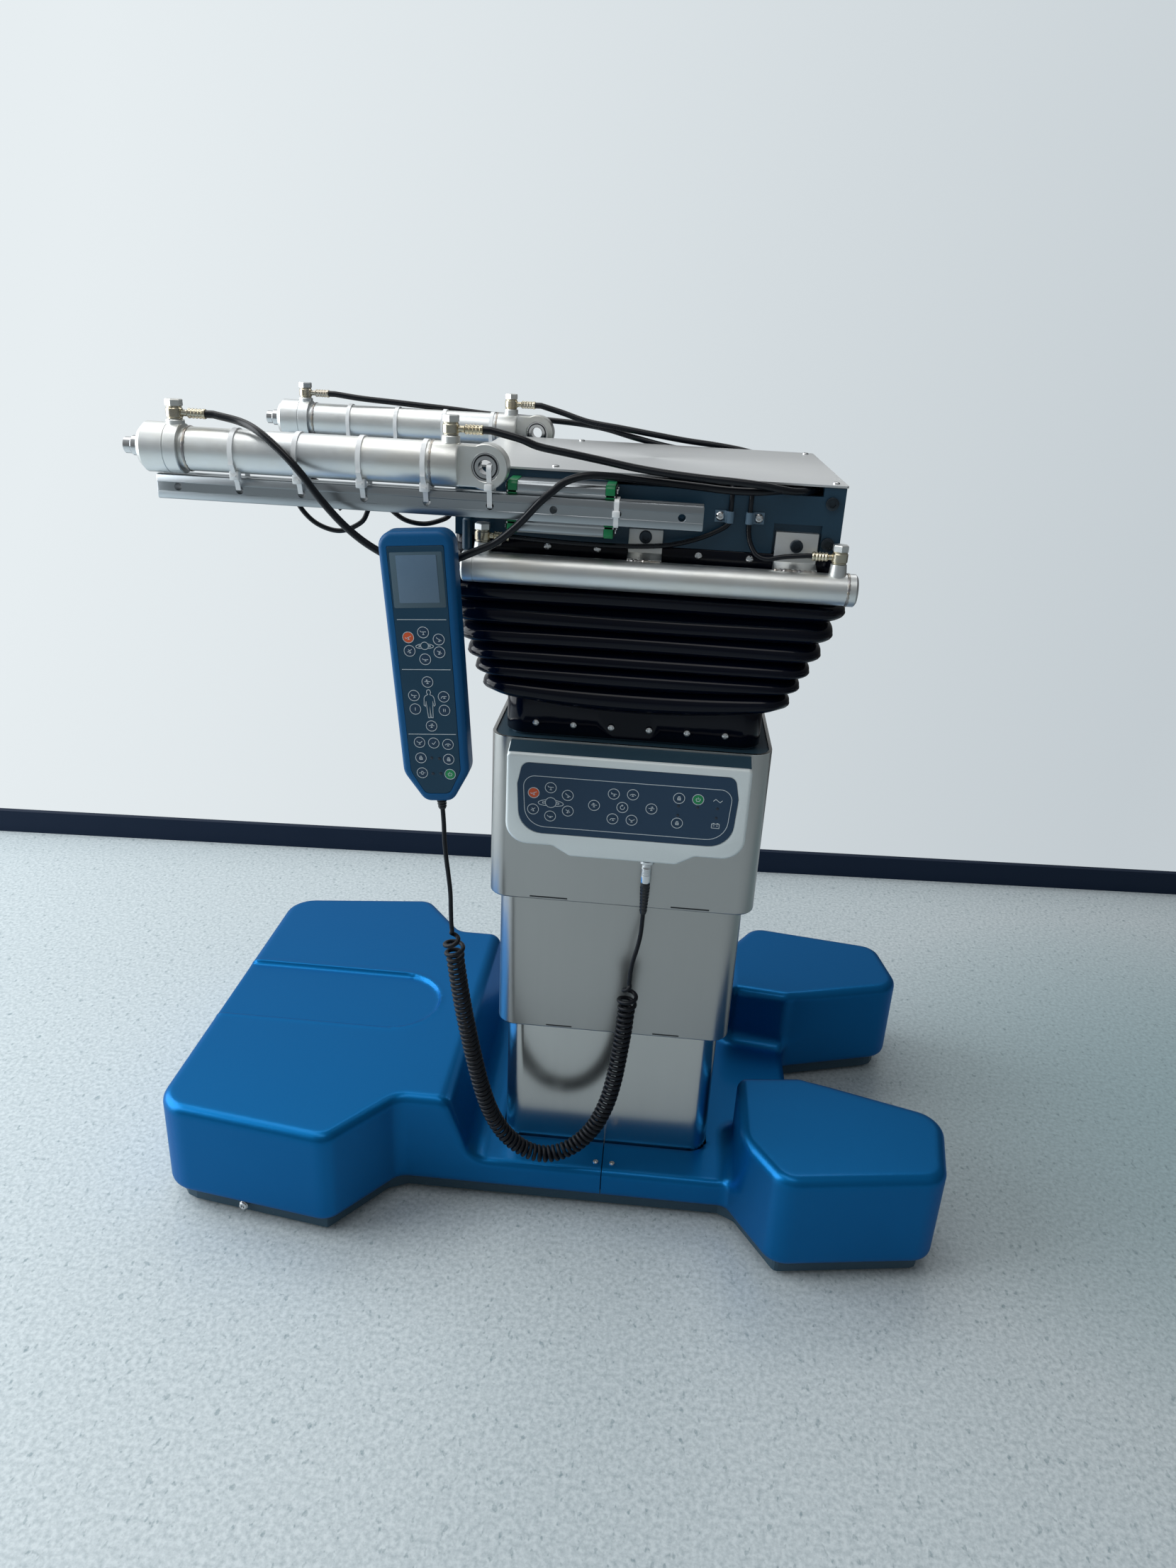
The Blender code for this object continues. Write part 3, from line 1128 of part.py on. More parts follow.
def arm_cylinder(tag, side, guide):
    """Cylinder of the tabletop, strapped on the rail for transport, with its rod and eye bearing."""
    place = (-ARM_EYE, side * ARM_AXIS_Y, ARM_AXIS_Z)
    bore_lip = ROD_RADIUS + RUN_GAP
    nose = ARM_GLAND_START - ARM_EYE
    neck = ARM_GLAND_END - ARM_EYE
    barrel_end = ARM_BARREL_END - ARM_EYE
    cap_end = ARM_CAP_END - ARM_EYE
    bore_end = ARM_BORE_END - ARM_EYE
    profile = [(cap_end - CUT_OVERRUN, 0), (cap_end - CUT_OVERRUN, ARM_CAP_RADIUS),
               (barrel_end, ARM_CAP_RADIUS), (barrel_end + SMALL_RADIUS, ARM_BARREL_RADIUS),
               (neck - ARM_NECK_LENGTH, ARM_BARREL_RADIUS), (neck - ARM_NECK_LENGTH / 2, ARM_NECK_RADIUS),
               (neck, ARM_NECK_RADIUS), (neck, ARM_GLAND_RADIUS),
               (nose - ARM_GLAND_CHAMFER, ARM_GLAND_RADIUS), (nose, ARM_GLAND_NOSE), (nose, bore_lip),
               (neck, bore_lip), (neck, ARM_BORE_RADIUS), (bore_end, ARM_BORE_RADIUS), (bore_end, 0)]
    barrel = add(f"cylinder_{tag}", turned(profile), ZINC, place, TOWARDS_LEFT, parent=guide)
    eye_disc = turned([(-ARM_EYE_HALF, ARM_EYE_RADIUS), (ARM_EYE_HALF, ARM_EYE_RADIUS)])
    eye = guide_solid(f"eye_{tag}", eye_disc, place, ALONG_Y)
    shank = guide_solid(f"shank_{tag}", block(
        (-cap_end - CUT_OVERRUN, -ARM_EYE_HALF, -ARM_EYE_RADIUS + CUT_OVERRUN),
        (0, ARM_EYE_HALF, ARM_EYE_RADIUS - CUT_OVERRUN)), place)
    combine(barrel, eye, "UNION")
    combine(barrel, shank, "UNION")
    for i, x in enumerate((ARM_BANJO_LEFT, ARM_BANJO_RIGHT)):
        radius = ARM_GLAND_RADIUS if i == 0 else ARM_CAP_RADIUS
        boss = guide_solid(f"boss_{tag}_{i}", turned(
            [(radius - CUT_OVERRUN * 2, BANJO_BOSS_RADIUS),
             (ARM_GLAND_RADIUS + BANJO_BOSS_LIFT, BANJO_BOSS_RADIUS)], SMALL_SIDES),
            (-x, place[1], place[2]))
        combine(barrel, boss, "UNION")
    hole = guide_solid(f"eye_hole_{tag}", turned([(-ARM_EYE_HALF - CUT_OVERRUN, BEARING_RADIUS + SEAT_GAP),
                                                  (ARM_EYE_HALF + CUT_OVERRUN, BEARING_RADIUS + SEAT_GAP)]),
                       place, ALONG_Y)
    combine(barrel, hole, "DIFFERENCE")

    tip = ROD_TIP - ARM_EYE
    piston_end = bore_end + STOP_GAP
    piston_radius = ARM_BORE_RADIUS - RUN_GAP
    rod_guide = empty(f"rod_{tag}_axis", place, guide)
    rod = turned([(piston_end, piston_radius), (piston_end + PISTON_LENGTH, piston_radius),
                  (piston_end + PISTON_LENGTH, ROD_RADIUS), (tip - ROD_TIP_HEX_LENGTH, ROD_RADIUS),
                  (tip - ROD_TIP_HEX_LENGTH, ROD_TIP_HEX), (tip, ROD_TIP_HEX)])
    add(f"piston_rod_{tag}", rod, CHROME, place, TOWARDS_LEFT, parent=rod_guide)

    race = BEARING_HALF - BEARING_RACE_DEPTH
    ring = turned([(-race, BEARING_RADIUS), (race, BEARING_RADIUS), (BEARING_HALF, BEARING_RACE_RADIUS),
                   (BEARING_HALF, BEARING_BORE), (-BEARING_HALF, BEARING_BORE),
                   (-BEARING_HALF, BEARING_RACE_RADIUS)], wrap=True)
    add(f"eye_bearing_{tag}", ring, GROUND, place, ALONG_Y, parent=guide)


def banjo(name, place, direction, reach, parent):
    """Banjo bolt, ring and hose ferrule on top of a boss; direction is along x."""
    ring_low = BANJO_WASHER_HEIGHT
    ring_high = ring_low + BANJO_RING_HEIGHT
    hex_low = ring_high + BANJO_WASHER_HEIGHT
    body = turned([(0, BANJO_WASHER_RADIUS), (ring_low, BANJO_WASHER_RADIUS), (ring_low, BANJO_RING_RADIUS),
                   (ring_high, BANJO_RING_RADIUS), (ring_high, BANJO_WASHER_RADIUS),
                   (hex_low + SMALL_RADIUS, BANJO_WASHER_RADIUS)], FITTING_SIDES)
    fitting = add(name, body, ZINC, place, parent=parent)
    head = guide_solid(f"{name}_head", turned(
        [(hex_low, BANJO_HEX_RADIUS), (hex_low + BANJO_HEX_HEIGHT, BANJO_HEX_RADIUS)], HEX_SIDES), place)
    combine(fitting, head, "UNION")
    stem_end = reach * FERRULE_STEM_SHARE
    middle = (place[0], place[1], place[2] + (ring_low + ring_high) / 2)
    ferrule = guide_solid(f"{name}_ferrule", turned(
        [(BANJO_RING_RADIUS / 2, FERRULE_STEM), (stem_end, FERRULE_STEM), (stem_end, FERRULE_RADIUS),
         (reach, FERRULE_RADIUS)], FITTING_SIDES), middle, ALONG_X if direction > 0 else TOWARDS_LEFT)
    combine(fitting, ferrule, "UNION")
    mouth = Vector((middle[0] + direction * (reach + SEAT_GAP), middle[1], middle[2]))
    return mouth, Vector((direction, 0, 0))


def arm_banjos(tag, side, guide):
    """The two fittings of one tabletop cylinder; returns where their hoses start."""
    height = ARM_AXIS_Z + ARM_GLAND_RADIUS + BANJO_BOSS_LIFT + SEAT_GAP
    starts = []
    for end, x in (("left", ARM_BANJO_LEFT), ("right", ARM_BANJO_RIGHT)):
        foot = (-x, side * ARM_AXIS_Y, height)
        starts.append(banjo(f"banjo_{tag}_{end}", foot, 1, ARM_FERRULE_REACH, guide))
    return starts


def translation_cylinder():
    """Welded cylinder that shifts the tabletop, hung on two tabs below the frame's front edge."""
    place = (0, -SHIFT_AXIS_Y, SHIFT_AXIS_Z)
    bore_lip = SHIFT_ROD_RADIUS + RUN_GAP
    gland = SHIFT_START - SHIFT_RADIUS
    cap_radius = SHIFT_RADIUS + SHIFT_CAP_STEP
    profile = [(SHIFT_END, 0), (SHIFT_END, SHIFT_RADIUS - SHIFT_NECK), (SHIFT_END - SHIFT_NECK, cap_radius),
               (SHIFT_CAP_START, cap_radius), (SHIFT_CAP_START, SHIFT_RADIUS),
               (-SHIFT_START + SHIFT_NECK, SHIFT_RADIUS), (-SHIFT_START, SHIFT_RADIUS - SHIFT_NECK),
               (-SHIFT_START, bore_lip), (-gland, bore_lip), (-gland, SHIFT_BORE),
               (SHIFT_CAP_START - SHIFT_RADIUS, SHIFT_BORE), (SHIFT_CAP_START - SHIFT_RADIUS, 0)]
    barrel = add("translation_cylinder", turned(profile), ZINC, place, ALONG_X, parent=roll_guide)
    for i, (start, end, top, sunk) in enumerate((
            (TAB_LEFT_START, TAB_LEFT_END, TAB_LEFT_TOP, 0),
            (TAB_RIGHT_START, TAB_RIGHT_END, TAB_RIGHT_TOP, POCKET_DEPTH))):
        back = FRAME_HALF_Y + SEAT_GAP
        front = back + TAB_THICKNESS
        weld_top = SHIFT_AXIS_Z + SHIFT_RADIUS + TAB_THICKNESS / 2
        weld_low = SHIFT_AXIS_Z + SHIFT_RADIUS - TAB_THICKNESS
        section = [(-back, weld_low), (-SHIFT_AXIS_Y, weld_low), (-SHIFT_AXIS_Y, weld_top),
                   (-front, weld_top + TAB_THICKNESS), (-front, top)]
        if sunk:
            step = SIDE_PLATE_BOTTOM + TAB_THICKNESS / 2
            section += [(-back + sunk, top), (-back + sunk, step), (-back, step)]
        else:
            section.append((-back, top))
        tab = guide_solid(f"tab_{i}", end_prism(section, start, end))
        combine(barrel, tab, "UNION")
        screw_top = TAB_THICKNESS + TAB_SCREW_HEAD
        screw = guide_solid(f"tab_screw_{i}", turned(
            [(TAB_THICKNESS / 2, TAB_SCREW_RADIUS), (screw_top, TAB_SCREW_RADIUS)], SMALL_SIDES),
            ((start + end) / 2, -back, TAB_SCREW_HEIGHT), (math.pi / 2, 0, 0))
        combine(barrel, screw, "UNION")
    boss_top = SHIFT_RADIUS + SHIFT_BOSS_LIFT
    for i, x in enumerate((SHIFT_BANJO_LEFT, SHIFT_BANJO_RIGHT)):
        boss = guide_solid(f"shift_boss_{i}", turned([(SHIFT_RADIUS - CUT_OVERRUN, BANJO_BOSS_RADIUS),
                                                      (boss_top, BANJO_RING_RADIUS)], SMALL_SIDES),
                           (x, place[1], place[2]))
        combine(barrel, boss, "UNION")
    rod_guide = empty("translation_rod_axis", place, roll_guide)
    piston_end = SHIFT_ROD_END
    piston = SHIFT_BORE - RUN_GAP
    piston_start = piston_end - PISTON_LENGTH
    add("translation_rod", turned([(-SHIFT_ROD_TIP, SHIFT_ROD_RADIUS), (piston_start, SHIFT_ROD_RADIUS),
                                   (piston_start, piston), (piston_end, piston)], SMALL_SIDES),
        CHROME, place, ALONG_X, parent=rod_guide)
    height = SHIFT_AXIS_Z + boss_top + SEAT_GAP
    left = banjo("banjo_translation_left", (SHIFT_BANJO_LEFT, -SHIFT_AXIS_Y, height), 1,
                 SHIFT_FERRULE_REACH, roll_guide)
    right = banjo("banjo_translation_right", (SHIFT_BANJO_RIGHT, -SHIFT_AXIS_Y, height), -1,
                  SHIFT_FERRULE_REACH, roll_guide)
    return left, right


def hose_clip(name, hose_x, screw_x):
    """Sheet clip on the side plate that holds a thin hose, with its screw."""
    back = FRAME_HALF_Y + SEAT_GAP
    low_x = min(hose_x, screw_x) - CLIP_HALF_WIDTH
    high_x = max(hose_x, screw_x) + CLIP_HALF_WIDTH
    place = (0, -back, CLIP_HEIGHT)
    clip = add(name, block((low_x, -CLIP_SHEET, -CLIP_HALF_HEIGHT), (high_x, 0, CLIP_HALF_HEIGHT)), ZINC,
               place, parent=roll_guide)
    screw_top = CLIP_SHEET + CLIP_SCREW_HEIGHT
    screw = guide_solid(f"{name}_screw", turned(
        [(CLIP_SHEET / 2, CLIP_SCREW_RADIUS), (screw_top, CLIP_SCREW_RADIUS)], HOLE_SIDES),
        (screw_x, -back, CLIP_HEIGHT), (math.pi / 2, 0, 0))
    combine(clip, screw, "UNION")


def panel_outline():
    """Front outline of the control panel's housing, in x and z."""
    slope_end = PANEL_TONGUE_HALF + PANEL_TONGUE_SLOPE
    return [(-PANEL_HALF, PANEL_BOTTOM, PANEL_CORNER), (-slope_end, PANEL_BOTTOM, PANEL_TONGUE_ROUND),
            (-PANEL_TONGUE_HALF, PANEL_TONGUE_BOTTOM, PANEL_TONGUE_ROUND),
            (PANEL_TONGUE_HALF, PANEL_TONGUE_BOTTOM, PANEL_TONGUE_ROUND),
            (slope_end, PANEL_BOTTOM, PANEL_TONGUE_ROUND), (PANEL_HALF, PANEL_BOTTOM, PANEL_CORNER),
            (PANEL_HALF, PANEL_FACE_TOP, PANEL_TOP_CORNER), (-PANEL_HALF, PANEL_FACE_TOP, PANEL_TOP_CORNER)]


def keypad_outline():
    """Outline of the membrane keypad, in x and z."""
    waist = KEYPAD_TOP - KEYPAD_WAIST
    return [(-KEYPAD_LOW_HALF, KEYPAD_BOTTOM, KEYPAD_CORNER),
            (KEYPAD_LOW_HALF, KEYPAD_BOTTOM, KEYPAD_CORNER),
            (KEYPAD_HALF, waist, KEYPAD_TOP_CORNER), (KEYPAD_TOP_HALF, KEYPAD_TOP, KEYPAD_TOP_CORNER),
            (-KEYPAD_TOP_HALF, KEYPAD_TOP, KEYPAD_TOP_CORNER), (-KEYPAD_HALF, waist, KEYPAD_TOP_CORNER)]


def control_panel():
    """Housing with its hood, membrane keypad and handset socket."""
    base = Vector((0, 0, UPPER_SHELL_BOTTOM))
    hood_rise = UPPER_SHELL_TOP - PANEL_FACE_TOP
    outline = panel_outline()

    def ring(depth, inset, rise):
        points = rounded(outline, inset)
        middle = (PANEL_FACE_TOP + PANEL_BOTTOM) / 2
        return [(x, -depth, z + (rise if z > middle else 0) - base.z) for x, z in points]

    edge_start = PANEL_FACE - PANEL_EDGE
    rings = [ring(PANEL_BACK, 0, hood_rise), ring(edge_start, 0, hood_rise * PANEL_EDGE / PANEL_DEPTH),
             ring(PANEL_FACE - PANEL_EDGE / 3, PANEL_EDGE / 3, 0), ring(PANEL_FACE, PANEL_EDGE, 0)]
    housing = add("panel_housing", loft(rings), SILVER_PAINT, base, parent=upper_guide)
    keypad = rounded(keypad_outline())
    recess = guide_solid("keypad_recess", front_prism(
        rounded(keypad_outline(), -SEAT_GAP), -PANEL_FACE + KEYPAD_RECESS + SEAT_GAP,
        -PANEL_FACE - CUT_OVERRUN))
    combine(housing, recess, "DIFFERENCE")
    film_back = PANEL_FACE - KEYPAD_RECESS
    points = [(x, z - base.z) for x, z in keypad]
    add("panel_keypad", front_prism(points, -film_back, -film_back - KEYPAD_THICKNESS), KEY_FILM, base,
        parent=upper_guide)

    top = PANEL_TONGUE_BOTTOM - SEAT_GAP - base.z
    socket_low = top - SOCKET_HEIGHT
    floor_z = top - SOCKET_HEIGHT / 4
    add("panel_socket", turned([(floor_z, 0), (floor_z, SOCKET_BORE), (socket_low, SOCKET_BORE),
                                (socket_low, SOCKET_RADIUS), (top, SOCKET_RADIUS), (top, 0)], SMALL_SIDES),
        CHROME, (PLUG_X, -PLUG_Y, base.z), parent=upper_guide)


def handset_corners():
    """Front outline of the handset, across and down from its top."""
    crest = -HANDSET_CORNER / 4
    return [(HANDSET_TOP_HALF, crest, HANDSET_CORNER), (-HANDSET_TOP_HALF, crest, HANDSET_CORNER),
            (-HANDSET_LOW_HALF, -HANDSET_TAPER_LENGTH, HANDSET_LOW_CORNER),
            (-HANDSET_FOOT_HALF, -HANDSET_LENGTH, HANDSET_FOOT_CORNER),
            (HANDSET_FOOT_HALF, -HANDSET_LENGTH, HANDSET_FOOT_CORNER),
            (HANDSET_LOW_HALF, -HANDSET_TAPER_LENGTH, HANDSET_LOW_CORNER)]


def handset(hose_top):
    """Hand control with its face, display, hanging hook and cord relief."""
    top = (-HANDSET_TOP_X, -HANDSET_FRONT + HANDSET_THICKNESS, HANDSET_TOP_Z)
    turn = (0, -HANDSET_TILT, 0)
    guide = empty("handset_axis", top, roll_guide)
    corners = handset_corners()
    depth = HANDSET_THICKNESS

    def ring(y, inset):
        return [(x, y, z) for x, z in rounded(corners, inset)]

    rings = [ring(0, HANDSET_EDGE), ring(-HANDSET_EDGE, 0), ring(-depth + HANDSET_EDGE, 0),
             ring(-depth + HANDSET_EDGE / 3, HANDSET_EDGE / 3), ring(-depth, HANDSET_EDGE)]
    shell = add("handset_shell", loft(rings), BLUE_RUBBER, top, turn, parent=guide)
    face = [(x, z) for x, z in rounded(corners, HANDSET_FACE_BORDER)]
    seat = rounded(corners, HANDSET_FACE_BORDER - SEAT_GAP)
    recess = guide_solid("handset_recess", front_prism(
        seat, -depth + HANDSET_FACE_RECESS + SEAT_GAP, -depth - CUT_OVERRUN), top, turn)
    combine(shell, recess, "DIFFERENCE")

    low = SCREEN_TOP + SCREEN_HEIGHT
    screen = [(SCREEN_HALF, -SCREEN_TOP, SCREEN_CORNER), (-SCREEN_HALF, -SCREEN_TOP, SCREEN_CORNER),
              (-SCREEN_HALF, -low, SCREEN_CORNER), (SCREEN_HALF, -low, SCREEN_CORNER)]
    film_back = -depth + HANDSET_FACE_RECESS
    film_front = film_back - HANDSET_FACE_THICKNESS
    film = add("handset_keypad", front_prism(face, film_back, film_front), KEY_FILM, top, turn, parent=guide)
    window = guide_solid("handset_window", front_prism(
        rounded(screen, -SEAT_GAP), film_back + CUT_OVERRUN, film_front - CUT_OVERRUN), top, turn)
    combine(film, window, "DIFFERENCE")
    add("handset_display", front_prism(rounded(screen), film_back, film_back - SCREEN_THICKNESS), SCREEN,
        top, turn, parent=guide)

    hook_top = hose_top + HOOK_GAP - HANDSET_TOP_Z
    crest = hook_top + HOOK_SHEET
    reach = HOOK_REACH
    section = [(-HOOK_SHEET, crest), (-HOOK_SHEET, hook_top), (reach - HOOK_SHEET, hook_top),
               (reach - HOOK_SHEET, hook_top - HOOK_DROP), (reach, hook_top - HOOK_DROP), (reach, crest)]
    hook = guide_solid("handset_hook", end_prism(section, -HOOK_HALF, HOOK_HALF), top, turn)
    combine(shell, hook, "UNION")
    middle = -depth / 2
    relief = turned([(-HANDSET_LENGTH - RELIEF_LENGTH, RELIEF_TIP),
                     (-HANDSET_LENGTH - CUT_OVERRUN, RELIEF_RADIUS),
                     (-HANDSET_LENGTH + CUT_OVERRUN, RELIEF_RADIUS)], SMALL_SIDES)
    bmesh.ops.translate(relief, verts=relief.verts[:], vec=(0, middle, 0))
    combine(shell, guide_solid("handset_relief", relief, top, turn), "UNION")
    spin = Matrix.Rotation(-HANDSET_TILT, 3, "Y")
    tip = Vector((0, middle, -HANDSET_LENGTH - RELIEF_LENGTH - SEAT_GAP))
    return Vector(top) + spin @ tip, spin @ Vector((0, 0, -1))


def plug():
    """Round plug below the panel, with its ribbed boot."""
    top = PANEL_TONGUE_BOTTOM - 2 * SEAT_GAP - SOCKET_HEIGHT
    knurl = PLUG_RADIUS - SMALL_RADIUS
    profile = [(PLUG_BOOT_BOTTOM, PLUG_BOOT_TIP), (PLUG_GRIP_BOTTOM - SMALL_RADIUS, PLUG_BOOT_RADIUS),
               (PLUG_GRIP_BOTTOM, PLUG_RADIUS), ((top + PLUG_GRIP_BOTTOM) / 2, PLUG_RADIUS),
               ((top + PLUG_GRIP_BOTTOM) / 2 + SMALL_RADIUS, knurl), (top, knurl)]
    place = (PLUG_X, -PLUG_Y, 0)
    add("handset_plug", turned(profile, SMALL_SIDES), CHROME, place)
    return Vector((PLUG_X, -PLUG_Y, PLUG_BOOT_BOTTOM - SEAT_GAP)), Vector((0, 0, -1))


def curly_points(route):
    """Points of the curly cord: a helix about a smooth axis, drawn in to the axis at both ends."""
    steps = CURLS * POINTS_PER_CURL
    axis = smooth_points(route, CORD_RADIUS)
    walked = np.concatenate([[0], np.cumsum(np.linalg.norm(np.diff(axis, axis=0), axis=1))])
    lead = 2 * CORD_RADIUS
    stops = np.linspace(lead, walked[-1] - lead, steps + 1)
    centre = np.stack([np.interp(stops, walked, axis[:, i]) for i in range(3)], axis=1)
    along = np.gradient(centre, axis=0)
    along /= np.linalg.norm(along, axis=1)[:, None]
    side = np.cross(along[0], (0, 1, 0))
    points = []
    for i in range(steps + 1):
        side = side - along[i] * np.dot(side, along[i])
        side /= np.linalg.norm(side)
        up = np.cross(along[i], side)
        angle = 2 * math.pi * i / POINTS_PER_CURL
        nearest_end = min(i, steps - i) / POINTS_PER_CURL
        share = min(1, nearest_end / CURL_FLARE)
        radius = CURL_RADIUS * math.sin(share * math.pi / 2)
        points.append(centre[i] + radius * (math.cos(angle) * side + math.sin(angle) * up))
    return np.array([axis[0], *points, axis[-1]])


def least_gap(points, radius, near):
    """Least clear distance between turns of a tube, on its points and the middles between them."""
    middles = (points[1:] + points[:-1]) / 2
    dense = np.empty((len(points) + len(middles), 3))
    dense[0::2] = points
    dense[1::2] = middles
    best = math.inf
    for i in range(len(dense) - 2 * near):
        apart = np.linalg.norm(dense[i + 2 * near:] - dense[i], axis=1)
        best = min(best, float(apart.min()))
    return best - 2 * radius


def cord_length(points):
    """Length of a row of points."""
    return float(np.sum(np.linalg.norm(np.diff(points, axis=0), axis=1)))


# Routes of the hoses and the cord, outwards from the frame's side and up from its bottom edge
FRONT_LEFT_ROUTE = [
    (-0.3790, 0.0425, 0.0970), (-0.3570, 0.0550, 0.0895), (-0.3341, 0.0620, 0.0733),
    (-0.3178, 0.0640, 0.0568), (-0.3032, 0.0610, 0.0363), (-0.2852, 0.0570, 0.0148),
    (-0.2676, 0.0535, -0.0011), (-0.2501, 0.0510, -0.0123), (-0.2300, 0.0500, -0.0213),
    (-0.2110, 0.0500, -0.0242), (-0.1924, 0.0500, -0.0223), (-0.1733, 0.0500, -0.0137),
    (-0.1551, 0.0500, -0.0052), (-0.1384, 0.0500, 0.0032), (-0.1186, 0.0500, 0.0202),
    (-0.0993, 0.0500, 0.0414), (-0.0868, 0.0470, 0.0527), (-0.0746, 0.0430, 0.0620),
    (-0.0560, 0.0370, 0.0672), (-0.0360, 0.0300, 0.0668), (-0.0120, 0.0200, 0.0642),
    (0.0164, 0.0140, 0.0620), (0.0480, 0.0125, 0.0600), (0.0760, 0.0140, 0.0585),
    (0.1020, 0.0140, 0.0588), (0.1190, 0.0080, 0.0598), (0.1310, 0.0005, 0.0604),
    (0.1400, -0.0080, 0.0604), (0.1460, -0.0150, 0.0604)]
FRONT_RIGHT_ROUTE = [
    (-0.1200, 0.0358, 0.0960), (-0.1028, 0.0340, 0.0900), (-0.0735, 0.0300, 0.0850),
    (-0.0440, 0.0255, 0.0800), (-0.0140, 0.0225, 0.0750), (0.0162, 0.0215, 0.0715),
    (0.0499, 0.0210, 0.0690), (0.0800, 0.0210, 0.0675), (0.1060, 0.0200, 0.0655),
    (0.1230, 0.0170, 0.0628), (0.1360, 0.0115, 0.0608), (0.1465, 0.0030, 0.0604),
    (0.1550, -0.0060, 0.0604), (0.1610, -0.0130, 0.0604)]
REAR_LEFT_ROUTE = [
    (-0.3725, 0.0365, 0.0982), (-0.3289, 0.0400, 0.0955), (-0.2932, 0.0445, 0.0930),
    (-0.2574, 0.0490, 0.0905), (-0.2200, 0.0520, 0.0875), (-0.1800, 0.0550, 0.0855),
    (-0.1400, 0.0540, 0.0840), (-0.1000, 0.0460, 0.0825), (-0.0650, 0.0360, 0.0790),
    (-0.0300, 0.0240, 0.0720), (0.0050, 0.0160, 0.0655), (0.0340, 0.0120, 0.0615),
    (0.0560, 0.0070, 0.0604), (0.0720, -0.0010, 0.0604), (0.0840, -0.0100, 0.0604),
    (0.0920, -0.0170, 0.0604)]
REAR_RIGHT_ROUTE = [
    (-0.1200, 0.0358, 0.0950), (-0.0865, 0.0290, 0.0865), (-0.0459, 0.0220, 0.0820),
    (-0.0057, 0.0195, 0.0770), (0.0350, 0.0185, 0.0720), (0.0700, 0.0175, 0.0690),
    (0.1000, 0.0160, 0.0655), (0.1200, 0.0120, 0.0620), (0.1350, 0.0050, 0.0605),
    (0.1460, -0.0040, 0.0604), (0.1540, -0.0130, 0.0604)]
SHIFT_LEFT_ROUTE = [
    (0.0797, -0.0140, 0.0618), (0.0797, -0.0048, 0.0618), (0.0797, 0.0035, 0.0594),
    (0.0797, 0.0056, 0.0512), (0.0797, 0.0048, 0.0420), (0.0797, 0.0048, 0.0328),
    (0.0775, 0.0052, 0.0250), (0.0643, 0.0065, 0.0170), (0.0503, 0.0080, 0.0110),
    (0.0323, 0.0120, 0.0060), (0.0141, 0.0150, 0.0032), (-0.0199, 0.0160, 0.0010),
    (-0.0609, 0.0170, 0.0008), (-0.0950, 0.0182, 0.0019)]
SHIFT_RIGHT_ROUTE = [
    (0.0981, -0.0140, 0.0618), (0.0981, -0.0048, 0.0618), (0.0981, 0.0035, 0.0594),
    (0.0981, 0.0056, 0.0512), (0.0981, 0.0048, 0.0420), (0.0981, 0.0048, 0.0328),
    (0.0985, 0.0055, 0.0207), (0.1010, 0.0090, 0.0100), (0.1075, 0.0140, 0.0005),
    (0.1180, 0.0175, -0.0025), (0.1330, 0.0190, 0.0010)]
SPARE_ROUTE = [
    (-0.0115, -0.0020, 0.0130), (-0.0295, 0.0025, 0.0080), (-0.0480, 0.0060, 0.0110),
    (-0.0630, 0.0070, 0.0210), (-0.0750, 0.0070, 0.0320), (-0.0830, 0.0100, 0.0210),
    (-0.0910, 0.0105, 0.0070), (-0.1122, 0.0110, -0.0025), (-0.1350, 0.0110, 0.0030),
    (-0.1510, 0.0110, 0.0180), (-0.1560, 0.0100, 0.0340), (-0.1460, 0.0080, 0.0460),
    (-0.1310, 0.0060, 0.0400), (-0.1190, 0.0050, 0.0250), (-0.1120, 0.0040, 0.0170)]
PLUG_TAIL_ROUTE = [
    (0.0253, 0.0228, -0.4210), (0.0228, 0.0245, -0.4380), (0.0190, 0.0265, -0.4550),
    (0.0172, 0.0285, -0.4690)]
COIL_ROUTE = [
    (0.0170, 0.0292, -0.4780), (0.0166, 0.0300, -0.4880), (0.0158, 0.0310, -0.5123),
    (0.0144, 0.0330, -0.5400), (0.0122, 0.0340, -0.5659), (0.0098, 0.0360, -0.5890),
    (0.0066, 0.0380, -0.6144), (0.0003, 0.0410, -0.6430), (-0.0105, 0.0440, -0.6710),
    (-0.0254, 0.0470, -0.6926), (-0.0431, 0.0500, -0.7070), (-0.0626, 0.0530, -0.7135),
    (-0.0820, 0.0550, -0.7115), (-0.1010, 0.0570, -0.7002), (-0.1184, 0.0590, -0.6805),
    (-0.1325, 0.0610, -0.6528), (-0.1430, 0.0630, -0.6187), (-0.1513, 0.0640, -0.5820),
    (-0.1590, 0.0660, -0.5398), (-0.1657, 0.0670, -0.5000), (-0.1711, 0.0680, -0.4605),
    (-0.1745, 0.0690, -0.4299), (-0.1768, 0.0700, -0.4047)]
HANDSET_TAIL_ROUTE = [
    (-0.1845, 0.0720, -0.2830), (-0.1838, 0.0720, -0.3020), (-0.1822, 0.0717, -0.3220),
    (-0.1798, 0.0714, -0.3430), (-0.1780, 0.0710, -0.3630), (-0.1776, 0.0706, -0.3830)]

